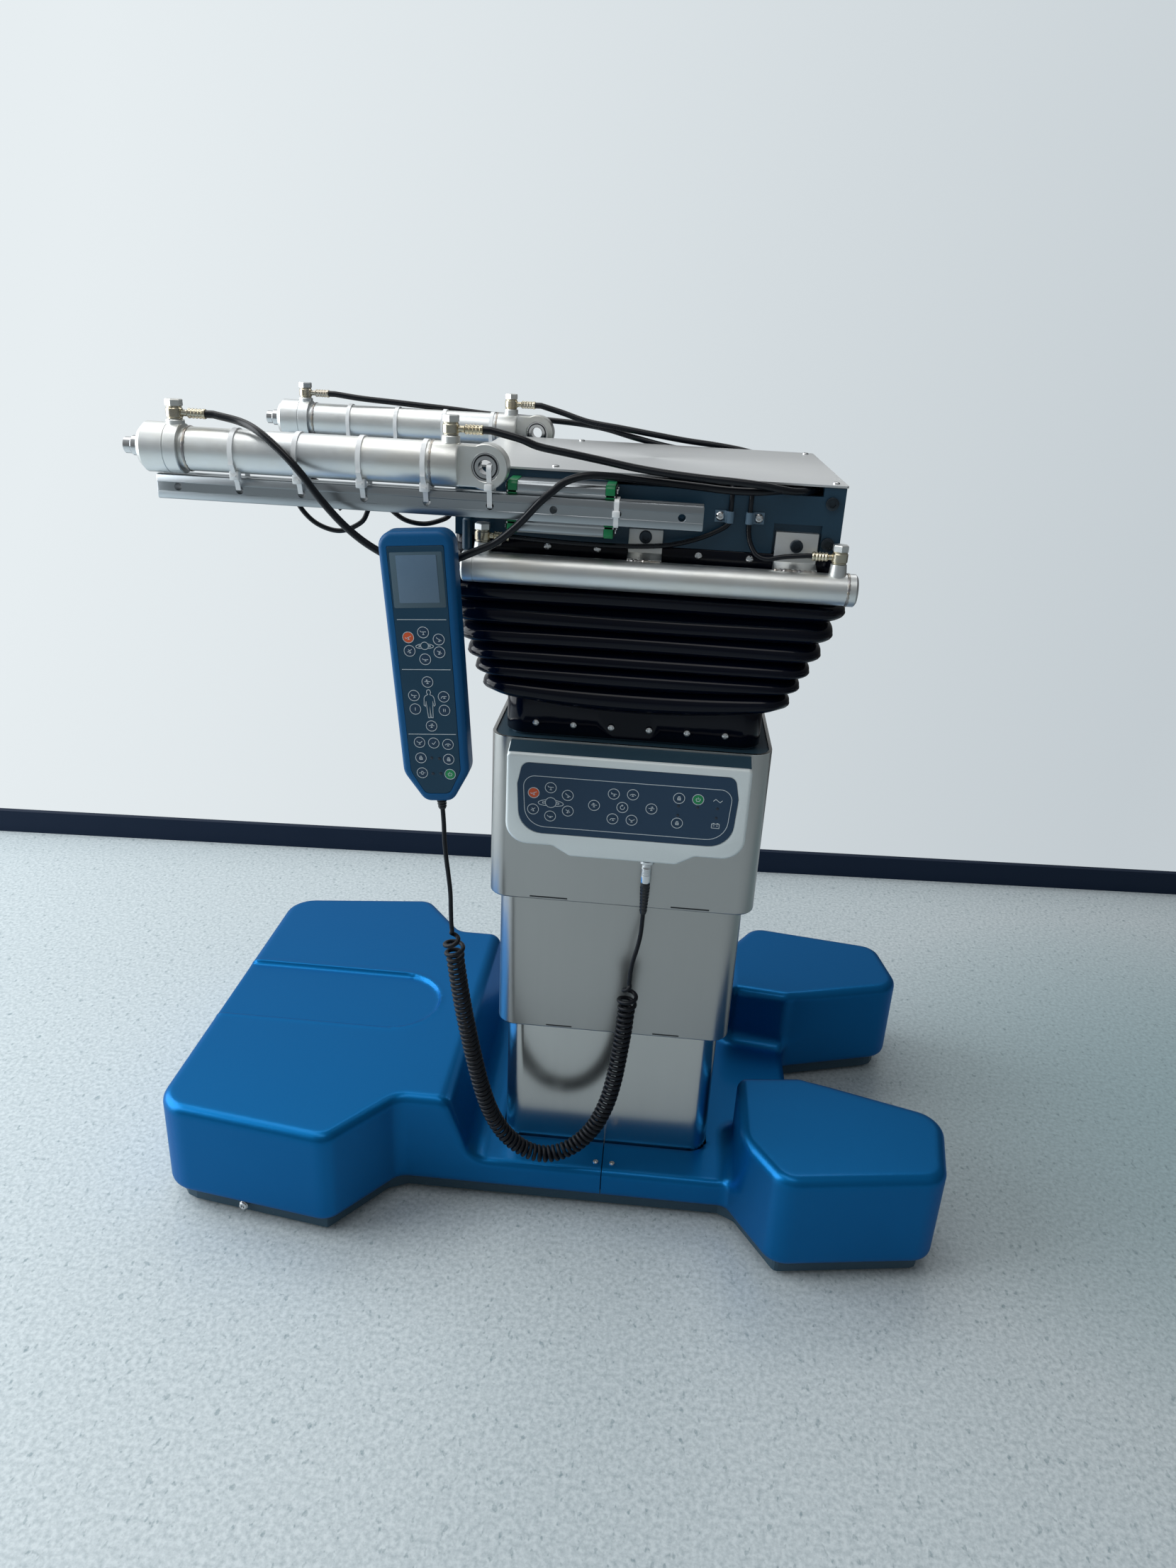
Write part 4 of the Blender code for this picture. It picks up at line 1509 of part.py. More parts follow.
column_shell("column_lower_shell", LOWER_HALF_X, LOWER_HALF_Y, FLOOR_LEVEL, LOWER_SHELL_TOP, 0)
column_shell("column_middle_shell", MIDDLE_HALF_X, MIDDLE_HALF_Y, MIDDLE_SHELL_BOTTOM, MIDDLE_SHELL_TOP,
             SHELL_STEP, middle_guide)
column_shell("column_upper_shell", UPPER_HALF_X, UPPER_HALF_Y, UPPER_SHELL_BOTTOM, UPPER_SHELL_TOP,
             SHELL_STEP, upper_guide)
base_plate()
base_cover_head_end()
base_cover_foot_end()
floor_lock_feet()
earth_terminal()
parts_in_base()
lift_cylinder()
column_head()
gimbal_cross()
bellows()
frame_tray()
side_plate("frame_side_front", -1)
side_plate("frame_side_rear", 1)
top_cover()
control_panel()

hose_ends = {}
for tag, side in (("front", -1), ("rear", 1)):
    slide_guide = empty(f"rail_{tag}_axis", (0, side * RAIL_FACE, RAIL_CENTRE), roll_guide)
    rail(f"rail_{tag}", side, slide_guide)
    carriage(f"carriage_{tag}", side)
    arm_cylinder(tag, side, slide_guide)
    hose_ends[tag] = arm_banjos(tag, side, slide_guide)
shift_left, shift_right = translation_cylinder()
hose_clip("hose_clip_left", CLIP_LEFT_HOSE, CLIP_LEFT_SCREW)
hose_clip("hose_clip_right", CLIP_RIGHT_HOSE, CLIP_RIGHT_SCREW)

for name, start, side, route in (
        ("hose_front_left", hose_ends["front"][0], -1, FRONT_LEFT_ROUTE),
        ("hose_front_right", hose_ends["front"][1], -1, FRONT_RIGHT_ROUTE),
        ("hose_rear_left", hose_ends["rear"][0], 1, REAR_LEFT_ROUTE),
        ("hose_rear_right", hose_ends["rear"][1], 1, REAR_RIGHT_ROUTE)):
    run = run_points(placed(to_slot(route), side), HOSE_SPACING, HOSE_RADIUS, start)
    tube(name, run, HOSE_RADIUS, HOSE_RUBBER, HOSE_BEVEL_STEPS, roll_guide)
for name, fitting, route in (("hose_translation_left", shift_left, SHIFT_LEFT_ROUTE),
                             ("hose_translation_right", shift_right, SHIFT_RIGHT_ROUTE)):
    arrival = (fitting[0], -fitting[1])
    run = run_points(placed(to_slot(route), -1), THIN_HOSE_SPACING, THIN_HOSE_RADIUS, end=arrival)
    tube(name, run, THIN_HOSE_RADIUS, HOSE_RUBBER, HOSE_BEVEL_STEPS, roll_guide)
spare_exit = (Vector((-FRAME_HALF_X - SEAT_GAP, -SPARE_EXIT_Y, SPARE_EXIT_Z)), Vector((-1, 0, 0)))
spare_run = run_points(placed(SPARE_ROUTE, -1, -FRAME_HALF_X), CORD_SPACING, THIN_HOSE_RADIUS, spare_exit)
tube("hose_spare_loops", spare_run, THIN_HOSE_RADIUS, HOSE_RUBBER, HOSE_BEVEL_STEPS, roll_guide)

lowest_hose = min(placed(FRONT_LEFT_ROUTE, -1), key=lambda point: point.z)
cord_top = handset(lowest_hose.z + HOSE_RADIUS)
cord_foot = plug()
coil = curly_points(placed(COIL_ROUTE, -1))
first_heading = Vector(coil[1] - coil[0]).normalized()
last_heading = Vector(coil[-1] - coil[-2]).normalized()
coil_foot = (Vector(coil[0]) - SEAT_GAP * first_heading, first_heading)
coil_top = (Vector(coil[-1]) + SEAT_GAP * last_heading, -last_heading)
handset_tail = run_points(placed(HANDSET_TAIL_ROUTE, -1), CORD_SPACING, CORD_RADIUS, cord_top, coil_top)
plug_tail = run_points(placed(PLUG_TAIL_ROUTE, -1), CORD_SPACING, CORD_RADIUS, cord_foot, coil_foot)
tube("handset_cord_upper", handset_tail, CORD_RADIUS, HOSE_RUBBER, HOSE_BEVEL_STEPS)
tube("handset_cord_lower", plug_tail, CORD_RADIUS, HOSE_RUBBER, HOSE_BEVEL_STEPS)
tube("handset_cord_coil", coil, CORD_RADIUS, HOSE_RUBBER, CURL_BEVEL_STEPS)
print("curly cord: length", round(cord_length(coil), 3), "m, least gap to itself",
      round(1000 * least_gap(coil, CORD_RADIUS, POINTS_PER_CURL - 2), 2), "mm")
print("cord tails:", round(cord_length(handset_tail), 3), "m and", round(cord_length(plug_tail), 3), "m")
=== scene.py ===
"""Looks of an electro-hydraulic operating table: base, lifting column, slide frame and handset.

Metres, +Z up, +X along the table towards its foot end, -Y towards the camera.
"""
import logging
from dataclasses import dataclass, field
from enum import Enum
from math import atan2, copysign, cos, exp, hypot, pi, radians, sin, tan, tau
from typing import Callable, Iterable, Mapping, Optional, Sequence, Union

import bmesh
import bpy
import numpy as np
from mathutils import Matrix, Vector


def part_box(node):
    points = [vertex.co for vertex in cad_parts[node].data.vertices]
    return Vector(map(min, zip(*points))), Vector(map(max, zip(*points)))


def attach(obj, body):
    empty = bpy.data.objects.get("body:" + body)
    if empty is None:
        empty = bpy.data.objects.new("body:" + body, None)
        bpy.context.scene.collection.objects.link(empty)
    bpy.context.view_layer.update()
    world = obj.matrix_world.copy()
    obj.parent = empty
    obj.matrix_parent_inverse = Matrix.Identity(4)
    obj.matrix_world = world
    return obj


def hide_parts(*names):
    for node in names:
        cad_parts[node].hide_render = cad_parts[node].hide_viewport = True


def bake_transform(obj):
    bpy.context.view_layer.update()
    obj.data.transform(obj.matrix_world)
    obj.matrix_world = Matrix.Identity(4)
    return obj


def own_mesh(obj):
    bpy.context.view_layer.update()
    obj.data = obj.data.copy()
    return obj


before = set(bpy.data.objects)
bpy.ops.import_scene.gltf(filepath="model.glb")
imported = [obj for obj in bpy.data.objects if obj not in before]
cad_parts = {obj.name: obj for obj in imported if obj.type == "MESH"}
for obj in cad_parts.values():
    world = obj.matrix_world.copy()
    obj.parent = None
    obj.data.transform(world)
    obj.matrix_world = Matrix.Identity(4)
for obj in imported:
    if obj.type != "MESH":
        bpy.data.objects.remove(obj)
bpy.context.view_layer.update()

logging.basicConfig(level=logging.INFO, format="%(message)s")
LOG = logging.getLogger("operating_table")

Point = tuple[float, float, float]
Flat = tuple[float, float]
Corner = tuple[float, float, float]
Colour = tuple[float, float, float]
Stroke = tuple[Flat, ...]
Item = bpy.types.Object
Material = bpy.types.Material
Node = bpy.types.Node
Socket = bpy.types.NodeSocket

HAIR = 0.0001
OVERRUN = 0.002
SUNK = 0.0004
PROUD = 0.0002
BEDDED = 0.0006
SMALLEST_RADIUS = 0.0003
LONG_CHORD = 0.05
FINE_SIDES = 64
TUBE_SIDES = 16
CORNER_STEPS = 8
SHARP_ANGLE = radians(32)
CASE_ANGLE = radians(40)
FOLD_ANGLE = radians(60)
SIDES = (-1, 1)

UNTURNED = Matrix.Identity(4)
TO_RIGHT = Matrix.Rotation(pi / 2, 4, "Y")
TO_LEFT = Matrix.Rotation(-pi / 2, 4, "Y")
TO_BACK = Matrix.Rotation(-pi / 2, 4, "X")
TO_FRONT = Matrix.Rotation(pi / 2, 4, "X")


class Body(str, Enum):
    """The moving bodies that pieces ride on."""

    BASE = "base"
    MIDDLE = "middle_stage"
    UPPER = "upper_stage"
    GIMBAL = "gimbal"
    SLIDE_FRAME = "slide_frame"
    RAIL_FRONT = "rail_front_body"
    RAIL_REAR = "rail_rear_body"
    ROD_FRONT = "rod_front"
    ROD_REAR = "rod_rear"
    ROD_TRANSLATION = "rod_translation"
    HANDSET = "handset"


def at(x: float, y: float, z: float, turn: Matrix = UNTURNED) -> Matrix:
    """A turn followed by a move to a place."""
    return Matrix.Translation((x, y, z)) @ turn


# ---------------------------------------------------------------- outlines and forms

def rounded(corners: Sequence[Corner], inset: float = 0.0, steps: int = CORNER_STEPS) -> list[Flat]:
    """Closed outline with rounded corners, moved inwards.

    Args:
        corners: x, y and radius of each corner, counterclockwise.
        inset: how far the outline moves inwards.
        steps: chords in each corner.

    Returns:
        The outline's points.
    """
    points = []
    count = len(corners)
    for i in range(count):
        here = Vector(corners[i][:2])
        into = (here - Vector(corners[i - 1][:2])).normalized()
        out = (Vector(corners[(i + 1) % count][:2]) - here).normalized()
        side_in = Vector((-into.y, into.x))
        side_out = Vector((-out.y, out.x))
        bend = into.x * out.y - into.y * out.x
        angle = atan2(bend, into.dot(out))
        here = here + (side_in + side_out) * inset / (1 + side_in.dot(side_out))
        radius = max(corners[i][2] - copysign(inset, bend), SMALLEST_RADIUS)
        reach = radius * tan(abs(angle) / 2)
        centre = here - into * reach + copysign(radius, angle) * side_in
        start = here - into * reach - centre
        for step in range(steps + 1):
            points.append(tuple(centre + Matrix.Rotation(angle * step / steps, 2) @ start))
    return points


def oblong(half_x: float, half_y: float, radius: float) -> list[Corner]:
    """Corners of a rounded rectangle about the origin."""
    return [
        (half_x, -half_y, radius), (half_x, half_y, radius), (-half_x, half_y, radius),
        (-half_x, -half_y, radius)]


def level(outline: Iterable[Flat], height: float) -> list[Point]:
    """Points of a plan outline at one height."""
    return [(x, y, height) for x, y in outline]


def front_ring(outline: Iterable[Flat], y: float) -> list[Point]:
    """Points of an outline in x and z, at one distance from the camera's side."""
    return [(x, y, z) for x, z in outline]


def end_ring(outline: Iterable[Flat], x: float) -> list[Point]:
    """Points of an outline in y and z, at one place along the table."""
    return [(x, y, z) for y, z in outline]


class Form:
    """A mesh in the making, built up from closed shapes."""

    def __init__(self) -> None:
        """Starts with nothing in it."""
        self.mesh = bmesh.new()

    def loft(self, rings: Sequence[Sequence[Point]], wrap: bool = False, place: Matrix = UNTURNED) -> "Form":
        """Skins a row of rings; a ring of one point closes to a tip.

        Args:
            rings: rows of points, all the same length but for tips.
            wrap: joins the last ring to the first instead of closing both ends.
            place: where the shape goes.

        Returns:
            This form.
        """
        rows = [[self.mesh.verts.new(place @ Vector(point)) for point in ring] for ring in rings]
        pairs = list(zip(rows, rows[1:])) + ([(rows[-1], rows[0])] if wrap else [])
        made = []
        for low, high in pairs:
            sides = max(len(low), len(high))
            for i in range(sides):
                j = (i + 1) % sides
                if len(low) == 1:
                    made.append(self.mesh.faces.new((low[0], high[j], high[i])))
                elif len(high) == 1:
                    made.append(self.mesh.faces.new((low[i], low[j], high[0])))
                else:
                    made.append(self.mesh.faces.new((low[i], low[j], high[j], high[i])))
        if not wrap:
            made += [self.mesh.faces.new(row) for row in (rows[0], rows[-1]) if len(row) > 2]
        bmesh.ops.recalc_face_normals(self.mesh, faces=made)
        return self

    def lathe(
            self, profile: Sequence[Flat], sides: int = FINE_SIDES, wrap: bool = False,
            place: Matrix = UNTURNED) -> "Form":
        """Turns a profile of height and radius about its own z axis.

        Args:
            profile: pairs of height and radius; a radius of zero closes to a tip.
            sides: flats round the axis.
            wrap: makes a ring instead of a solid.
            place: where the shape goes.

        Returns:
            This form.
        """
        angles = [tau * (i + 0.5) / sides for i in range(sides)]
        rings = [
            [(0.0, 0.0, height)] if radius == 0
            else [(radius * cos(a), radius * sin(a), height) for a in angles] for height, radius in profile]
        return self.loft(rings, wrap, place)

    def block(self, low: Point, high: Point, place: Matrix = UNTURNED) -> "Form":
        """A plain block between two corners.

        Args:
            low: its lowest corner.
            high: its highest corner.
            place: where the block goes.

        Returns:
            This form.
        """
        (x0, y0, z0), (x1, y1, z1) = low, high
        outline = [(x0, y0), (x1, y0), (x1, y1), (x0, y1)]
        return self.loft([level(outline, z0), level(outline, z1)], place=place)

    def ribbon(
            self, line: Sequence[Flat], width: float, low: float, high: float, closed: bool = False,
            place: Matrix = UNTURNED) -> "Form":
        """A flat stroke of even width along a line.

        Args:
            line: the stroke's middle, in x and y.
            width: the stroke's width.
            low: height of its underside.
            high: height of its face.
            closed: whether the line runs back to its start.
            place: where the stroke goes.

        Returns:
            This form.
        """
        points = [Vector(point) for point in line]
        count = len(points)
        rings = []
        for i, here in enumerate(points):
            before = points[i - 1] if closed or i else here
            after = points[(i + 1) % count] if closed or i + 1 < count else here
            into = (here - before).normalized() if here != before else (after - here).normalized()
            out = (after - here).normalized() if after != here else into
            along = (into + out).normalized()
            side = Vector((-along.y, along.x)) * width / 2 / max(0.5, along.dot(into))
            a, b = here + side, here - side
            rings.append([(a.x, a.y, low), (b.x, b.y, low), (b.x, b.y, high), (a.x, a.y, high)])
        return self.loft(rings, wrap=closed, place=place)

    def merged(self, other: "Form", operation: str = "UNION") -> "Form":
        """Joins another form to this one, or cuts it away.

        Args:
            other: the other form, which is used up.
            operation: UNION or DIFFERENCE.

        Returns:
            A new form.
        """
        first, second = self.trial_object(), other.trial_object()
        change = first.modifiers.new("change", "BOOLEAN")
        change.operation, change.solver, change.object = operation, "EXACT", second
        return form_of(evaluated(first, second))

    def softened(self, width: float, segments: int = 2, angle: float = radians(40)) -> "Form":
        """A new form with its sharp edges rounded off.

        Args:
            width: width of the rounding.
            segments: steps across it.
            angle: edges that bend more than this are rounded.

        Returns:
            A new form.
        """
        first = self.trial_object()
        change = first.modifiers.new("change", "BEVEL")
        change.width, change.segments, change.angle_limit = width, segments, angle
        change.limit_method, change.use_clamp_overlap = "ANGLE", True
        return form_of(evaluated(first))

    def trial_object(self) -> Item:
        """An object that holds the form while a modifier works on it.

        Returns:
            The object.
        """
        mesh = bpy.data.meshes.new("trial")
        self.mesh.to_mesh(mesh)
        self.mesh.free()
        return linked("trial", mesh)


def linked(name: str, data: bpy.types.ID) -> Item:
    """A new object in the scene that holds a mesh, a lamp or a lens.

    Args:
        name: the object's name.
        data: what it holds.

    Returns:
        The object.
    """
    made = bpy.data.objects.new(name, data)
    bpy.context.scene.collection.objects.link(made)
    return made


def evaluated(made: Item, *others: Item) -> bpy.types.Mesh:
    """The mesh that an object's modifiers give; the objects are removed.

    Args:
        made: the object with modifiers.
        others: objects that the modifiers use.

    Returns:
        The mesh.
    """
    bpy.context.view_layer.update()
    mesh = bpy.data.meshes.new_from_object(made.evaluated_get(bpy.context.evaluated_depsgraph_get()))
    for used in (made, *others):
        bpy.data.objects.remove(used)
    return mesh


def form_of(mesh: bpy.types.Mesh) -> Form:
    """The form of a mesh, which is used up.

    Args:
        mesh: the mesh.

    Returns:
        The form.
    """
    result = Form()
    result.mesh.from_mesh(mesh)
    bpy.data.meshes.remove(mesh)
    return result


def pane(outline: Sequence[Corner], *steps: Flat, place: Matrix = UNTURNED) -> Form:
    """A flat shape in x and z that is skinned through its edges.

    Args:
        outline: its corners.
        steps: y and inset of each edge, from the back to the face.
        place: where it goes.

    Returns:
        The form.
    """
    return Form().loft([front_ring(rounded(outline, inset), y) for y, inset in steps], place=place)


# ---------------------------------------------------------------- shader recipes

Term = Union["Signal", float]
Feed = Union["Signal", Socket, Item, Material, Sequence[float], float, str]


class Signal:
    """A number that changes over a surface, carried by a node's socket."""

    def __init__(self, tree: bpy.types.NodeTree, socket: Socket) -> None:
        """Keeps the tree and the socket."""
        self.tree, self.socket = tree, socket

    def maths(self, operation: str, *terms: Term) -> "Signal":
        """A Math node on this number and others.

        Args:
            operation: the node's operation.
            terms: the numbers after this one.

        Returns:
            The result.
        """
        node = self.tree.nodes.new("ShaderNodeMath")
        node.operation = operation
        for slot, term in zip(node.inputs, terms):
            feed(self.tree, slot, term)
        return Signal(self.tree, node.outputs[0])

    def __add__(self, other: Term) -> "Signal":
        """Sum."""
        return self.maths("ADD", self, other)

    __radd__ = __add__

    def __sub__(self, other: Term) -> "Signal":
        """Difference."""
        return self.maths("SUBTRACT", self, other)

    def __rsub__(self, other: Term) -> "Signal":
        """Difference, from a plain number."""
        return self.maths("SUBTRACT", other, self)

    def __mul__(self, other: Term) -> "Signal":
        """Product."""
        return self.maths("MULTIPLY", self, other)

    __rmul__ = __mul__

    def __truediv__(self, other: Term) -> "Signal":
        """Quotient."""
        return self.maths("DIVIDE", self, other)

    def __pow__(self, other: Term) -> "Signal":
        """Power."""
        return self.maths("POWER", self, other)

    def clamped(self) -> "Signal":
        """The number held between 0 and 1."""
        return self.maths("MINIMUM", self.maths("MAXIMUM", self, 0.0), 1.0)

    def above(self, edge: float, width: float) -> "Signal":
        """1 where the number is above an edge, 0 below, with a soft step between."""
        return ((self - edge) / width + 0.5).clamped()


def feed(tree: bpy.types.NodeTree, socket: Socket, value: Feed) -> None:
    """Gives a socket a link, a colour or a plain value.

    Args:
        tree: the socket's tree.
        socket: the socket.
        value: a signal or socket to link, a colour, or a value.
    """
    if isinstance(value, Signal):
        tree.links.new(value.socket, socket)
    elif isinstance(value, Socket):
        tree.links.new(value, socket)
    else:
        socket.default_value = (*value, 1.0) if socket.type == "RGBA" else value


class Tree:
    """A node tree, written step by step."""

    tree: bpy.types.NodeTree

    def node(
            self, kind: str, inputs: Optional[Mapping[Union[str, int], Feed]] = None,
            **settings: str) -> Node:
        """Adds a node.

        Args:
            kind: the node's type.
            inputs: values or links of its sockets, by name or number.
            settings: its settings, which are set first.

        Returns:
            The node.
        """
        made = self.tree.nodes.new(kind)
        for key, value in settings.items():
            setattr(made, key, value)
        for key, value in (inputs or {}).items():
            feed(self.tree, made.inputs[key], value)
        return made

    def signal(self, socket: Socket) -> Signal:
        """A socket of this tree as a number to reckon with."""
        return Signal(self.tree, socket)


class Recipe(Tree):
    """A material's node tree."""

    def __init__(self, name: str, world: bool = False) -> None:
        """Starts the tree of a material, or of the surroundings.

        Args:
            name: the material's name.
            world: whether it is for the surroundings.
        """
        self.holder = (bpy.data.worlds if world else bpy.data.materials).new(name)
        self.holder.use_nodes = True
        self.tree = self.holder.node_tree
        self.shader = self.tree.nodes["Background" if world else "Principled BSDF"]
        self.place = self.node("ShaderNodeTexCoord").outputs["Generated" if world else "Object"]

    def stretched(self, scale: Point) -> Socket:
        """The object's coordinates, stretched along its axes."""
        return self.node("ShaderNodeMapping", {"Vector": self.place, "Scale": scale}).outputs[0]

    def noise(
            self, scale: float, stretch: Point = (1, 1, 1), detail: float = 3.0, rough: float = 0.5,
            distortion: float = 0.0) -> Signal:
        """Smooth noise from 0 to 1.

        Args:
            scale: waves to the metre.
            stretch: the coordinates' scale along x, y and z.
            detail: octaves.
            rough: weight of the finer octaves.
            distortion: how far the noise is bent by itself.

        Returns:
            The noise.
        """
        made = self.node(
            "ShaderNodeTexNoise",
            {
                "Vector": self.stretched(stretch), "Scale": scale, "Detail": detail, "Roughness": rough,
                "Distortion": distortion})
        return self.signal(made.outputs[0])

    def along(self, way: Point) -> Signal:
        """How far the coordinates reach along a direction."""
        made = self.node("ShaderNodeVectorMath", {0: self.place, 1: way}, operation="DOT_PRODUCT")
        return self.signal(made.outputs["Value"])

    def mixed(self, share: Term, first: Feed, second: Feed) -> Socket:
        """A colour between two colours."""
        return self.node("ShaderNodeMix", {0: share, 6: first, 7: second}, data_type="RGBA").outputs[2]

    def bump(self, height: Signal, depth: float) -> Socket:
        """A normal raised by a height from 0 to 1, which stands for a depth in metres."""
        return self.node("ShaderNodeBump", {"Height": height, "Distance": depth, "Strength": 1.0}).outputs[0]

    def finished(self, **sockets: Feed) -> bpy.types.ID:
        """Feeds the shader's sockets.

        Args:
            sockets: values or links of the shader's sockets, named with _ for spaces.

        Returns:
            The material or world.
        """
        for key, value in sockets.items():
            feed(self.tree, self.shader.inputs[key.replace("_", " ")], value)
        return self.holder


# ---------------------------------------------------------------- finishes

@dataclass(frozen=True)
class Paint:
    """Sprayed or powder-coated paint with faint mottling, settled dust and orange peel."""

    name: str
    colour: Colour
    worn: Colour
    rough: float = 0.35
    metallic: float = 0.0
    coat: float = 0.0
    mottle: float = 7.0
    peel: float = 260.0
    peel_depth: float = 0.00008
    dust: Colour = (0.45, 0.48, 0.52)
    dust_share: float = 0.05
    streak: Point = (1, 1, 1)
    tint: Colour = (1, 1, 1)

    def material(self) -> Material:
        """Builds the paint's node tree.

        Returns:
            The material.
        """
        recipe = Recipe(self.name)
        cloud = recipe.noise(self.mottle, self.streak, detail=5.0, rough=0.6)
        fine = recipe.noise(self.peel, detail=2.0)
        flake = recipe.noise(1900.0, detail=1.0)
        speck = recipe.noise(330.0, detail=4.0, rough=0.75).above(0.66, 0.06)
        tone = recipe.mixed((cloud * 0.8 + flake * 0.35 - 0.1).clamped(), self.worn, self.colour)
        dusty = recipe.mixed(
            (speck * self.dust_share + cloud * self.dust_share * 0.4).clamped(), tone, self.dust)
        rough = self.rough + cloud * 0.1 + speck * 0.12 - 0.05
        return recipe.finished(
            Base_Color=dusty, Roughness=rough, Metallic=self.metallic, Coat_Weight=self.coat,
            Coat_Roughness=0.12, Specular_Tint=self.tint, Normal=recipe.bump(fine, self.peel_depth))


@dataclass(frozen=True)
class Grained:
    """Brushed, drawn or ground metal, with grain along one axis and cloudy tarnish."""

    name: str
    colour: Colour
    tarnish: Colour
    rough: float = 0.3
    grain: Point = (600.0, 600.0, 6.0)
    depth: float = 0.000003
    cloud: float = 9.0
    tarnish_share: float = 0.22
    rough_swing: float = 0.08
    anisotropic: float = 0.0

    def material(self) -> Material:
        """Builds the metal's node tree.

        Returns:
            The material.
        """
        recipe = Recipe(self.name)
        lines = recipe.noise(1.0, self.grain, detail=3.0, rough=0.65)
        broad = recipe.noise(0.12, self.grain, detail=2.0, rough=0.5)
        patches = recipe.noise(self.cloud, detail=5.0, rough=0.6, distortion=0.4)
        share = (patches * self.tarnish_share + broad * 0.22 + lines * 0.14 - 0.1).clamped()
        colour = recipe.mixed(share, self.colour, self.tarnish)
        rough = self.rough + (lines - 0.5) * self.rough_swing + (patches - 0.5) * 0.05
        return recipe.finished(
            Base_Color=colour, Roughness=rough.clamped(), Metallic=1.0, Anisotropic=self.anisotropic,
            Normal=recipe.bump(lines, self.depth))


@dataclass(frozen=True)
class Plated:
    """Zinc-plated or passivated steel with faint straw and violet tints."""

    name: str
    colour: Colour
    warm: Colour
    cool: Colour
    rough: float = 0.33
    tint_scale: float = 16.0
    pits: float = 0.000004

    def material(self) -> Material:
        """Builds the plating's node tree.

        Returns:
            The material.
        """
        recipe = Recipe(self.name)
        drift = recipe.noise(self.tint_scale, (0.5, 1, 1), detail=5.0, rough=0.62, distortion=0.8)
        other = recipe.noise(self.tint_scale * 0.45, (0.6, 1.4, 1.2), detail=4.0, rough=0.5, distortion=1.2)
        spangle = recipe.noise(140.0, detail=4.0, rough=0.7)
        lines = recipe.noise(1.0, (30.0, 900.0, 900.0), detail=2.0, rough=0.6)
        warm = recipe.mixed((drift.above(0.52, 0.3) * 0.6).clamped(), self.colour, self.warm)
        tinted = recipe.mixed((other.above(0.55, 0.22) * 0.5).clamped(), warm, self.cool)
        rough = self.rough + (spangle - 0.5) * 0.12 + (lines - 0.5) * 0.08
        return recipe.finished(
            Base_Color=tinted, Roughness=rough.clamped(), Metallic=1.0,
            Normal=recipe.bump(spangle + lines, self.pits))


@dataclass(frozen=True)
class Moulded:
    """Rubber or moulded plastic: fine grain, handling marks and a little dust."""

    name: str
    colour: Colour
    pale: Colour
    rough: float = 0.4
    grain: float = 900.0
    depth: float = 0.00003
    cloud: float = 12.0
    haze: float = 0.35
    coat: float = 0.0
    transmission: float = 0.0
    specular: float = 0.5
    ribs: float = 0.0

    def material(self) -> Material:
        """Builds the plastic's node tree.

        Returns:
            The material.
        """
        recipe = Recipe(self.name)
        grain = recipe.noise(self.grain, detail=3.0)
        patches = recipe.noise(self.cloud, detail=5.0, rough=0.65, distortion=0.5)
        lint = recipe.noise(420.0, (1, 1, 0.3), detail=4.0, rough=0.8).above(0.7, 0.05)
        share = (patches.above(0.55, 0.4) * self.haze + lint * 0.25).clamped()
        colour = recipe.mixed(share, self.colour, self.pale)
        rough = self.rough + (patches - 0.5) * 0.16 + lint * 0.2
        height = grain + patches * 0.6
        if self.ribs:
            along = recipe.node("ShaderNodeUVMap").outputs[0]
            braid = recipe.node(
                "ShaderNodeTexWave", {"Vector": along, "Scale": self.ribs, "Distortion": 0.6},
                wave_type="BANDS", bands_direction="X")
            height = height + recipe.signal(braid.outputs[1]) * 0.8
        return recipe.finished(
            Base_Color=colour, Roughness=rough.clamped(), Coat_Weight=self.coat, Coat_Roughness=0.12,
            Transmission_Weight=self.transmission, Specular_IOR_Level=self.specular,
            Normal=recipe.bump(height, self.depth))


@dataclass(frozen=True)
class Ink:
    """Printed ink or a dark window, slightly uneven."""

    name: str
    colour: Colour
    faded: Colour
    rough: float = 0.4

    def material(self) -> Material:
        """Builds the ink's node tree.

        Returns:
            The material.
        """
        recipe = Recipe(self.name)
        uneven = recipe.noise(700.0, detail=3.0, rough=0.7)
        broad = recipe.noise(60.0, detail=2.0)
        colour = recipe.mixed((uneven * 0.5 + broad * 0.5).clamped(), self.colour, self.faded)
        return recipe.finished(
            Base_Color=colour, Roughness=self.rough + uneven * 0.1, Normal=recipe.bump(uneven, 0.00001))


@dataclass(frozen=True)
class Vinyl:
    """Pale sheet flooring with fine flecks, faint random tone, and a painted shadow: a darker oval pool to
    the right of the table.
    """

    name: str
    colour: Colour
    shade: Colour
    fleck: Colour
    painted_shadow: Colour

    def material(self) -> Material:
        """Builds the floor's node tree.

        Returns:
            The material.
        """
        recipe = Recipe(self.name)
        broad = recipe.noise(1.1, detail=3.0)
        grains = recipe.noise(190.0, detail=3.0, rough=0.6)
        flecks = recipe.noise(140.0, (1.0, 0.6, 1.0), detail=2.0, rough=0.5).above(0.66, 0.06)
        # Painted shadow: an oval pool around x 0.94 m, y 0.09 m, right of the column, is mixed towards the
        # shadow colour and stands for the table's cast shadow.
        across, away = recipe.along((1.55, 0.0, 0.0)) - 1.45, recipe.along((0.0, 1.7, 0.0)) - 0.15
        dim = (1.0 - across * across - away * away).clamped() * 0.62
        ground = recipe.mixed(dim, recipe.mixed(broad, self.colour, self.shade), self.painted_shadow)
        mixed = recipe.mixed((flecks * 0.4 + (grains - 0.36) * 1.5).clamped(), ground, self.fleck)
        return recipe.finished(
            Base_Color=mixed, Roughness=0.36 + (grains - 0.5) * 0.15, Normal=recipe.bump(grains, 0.0001))


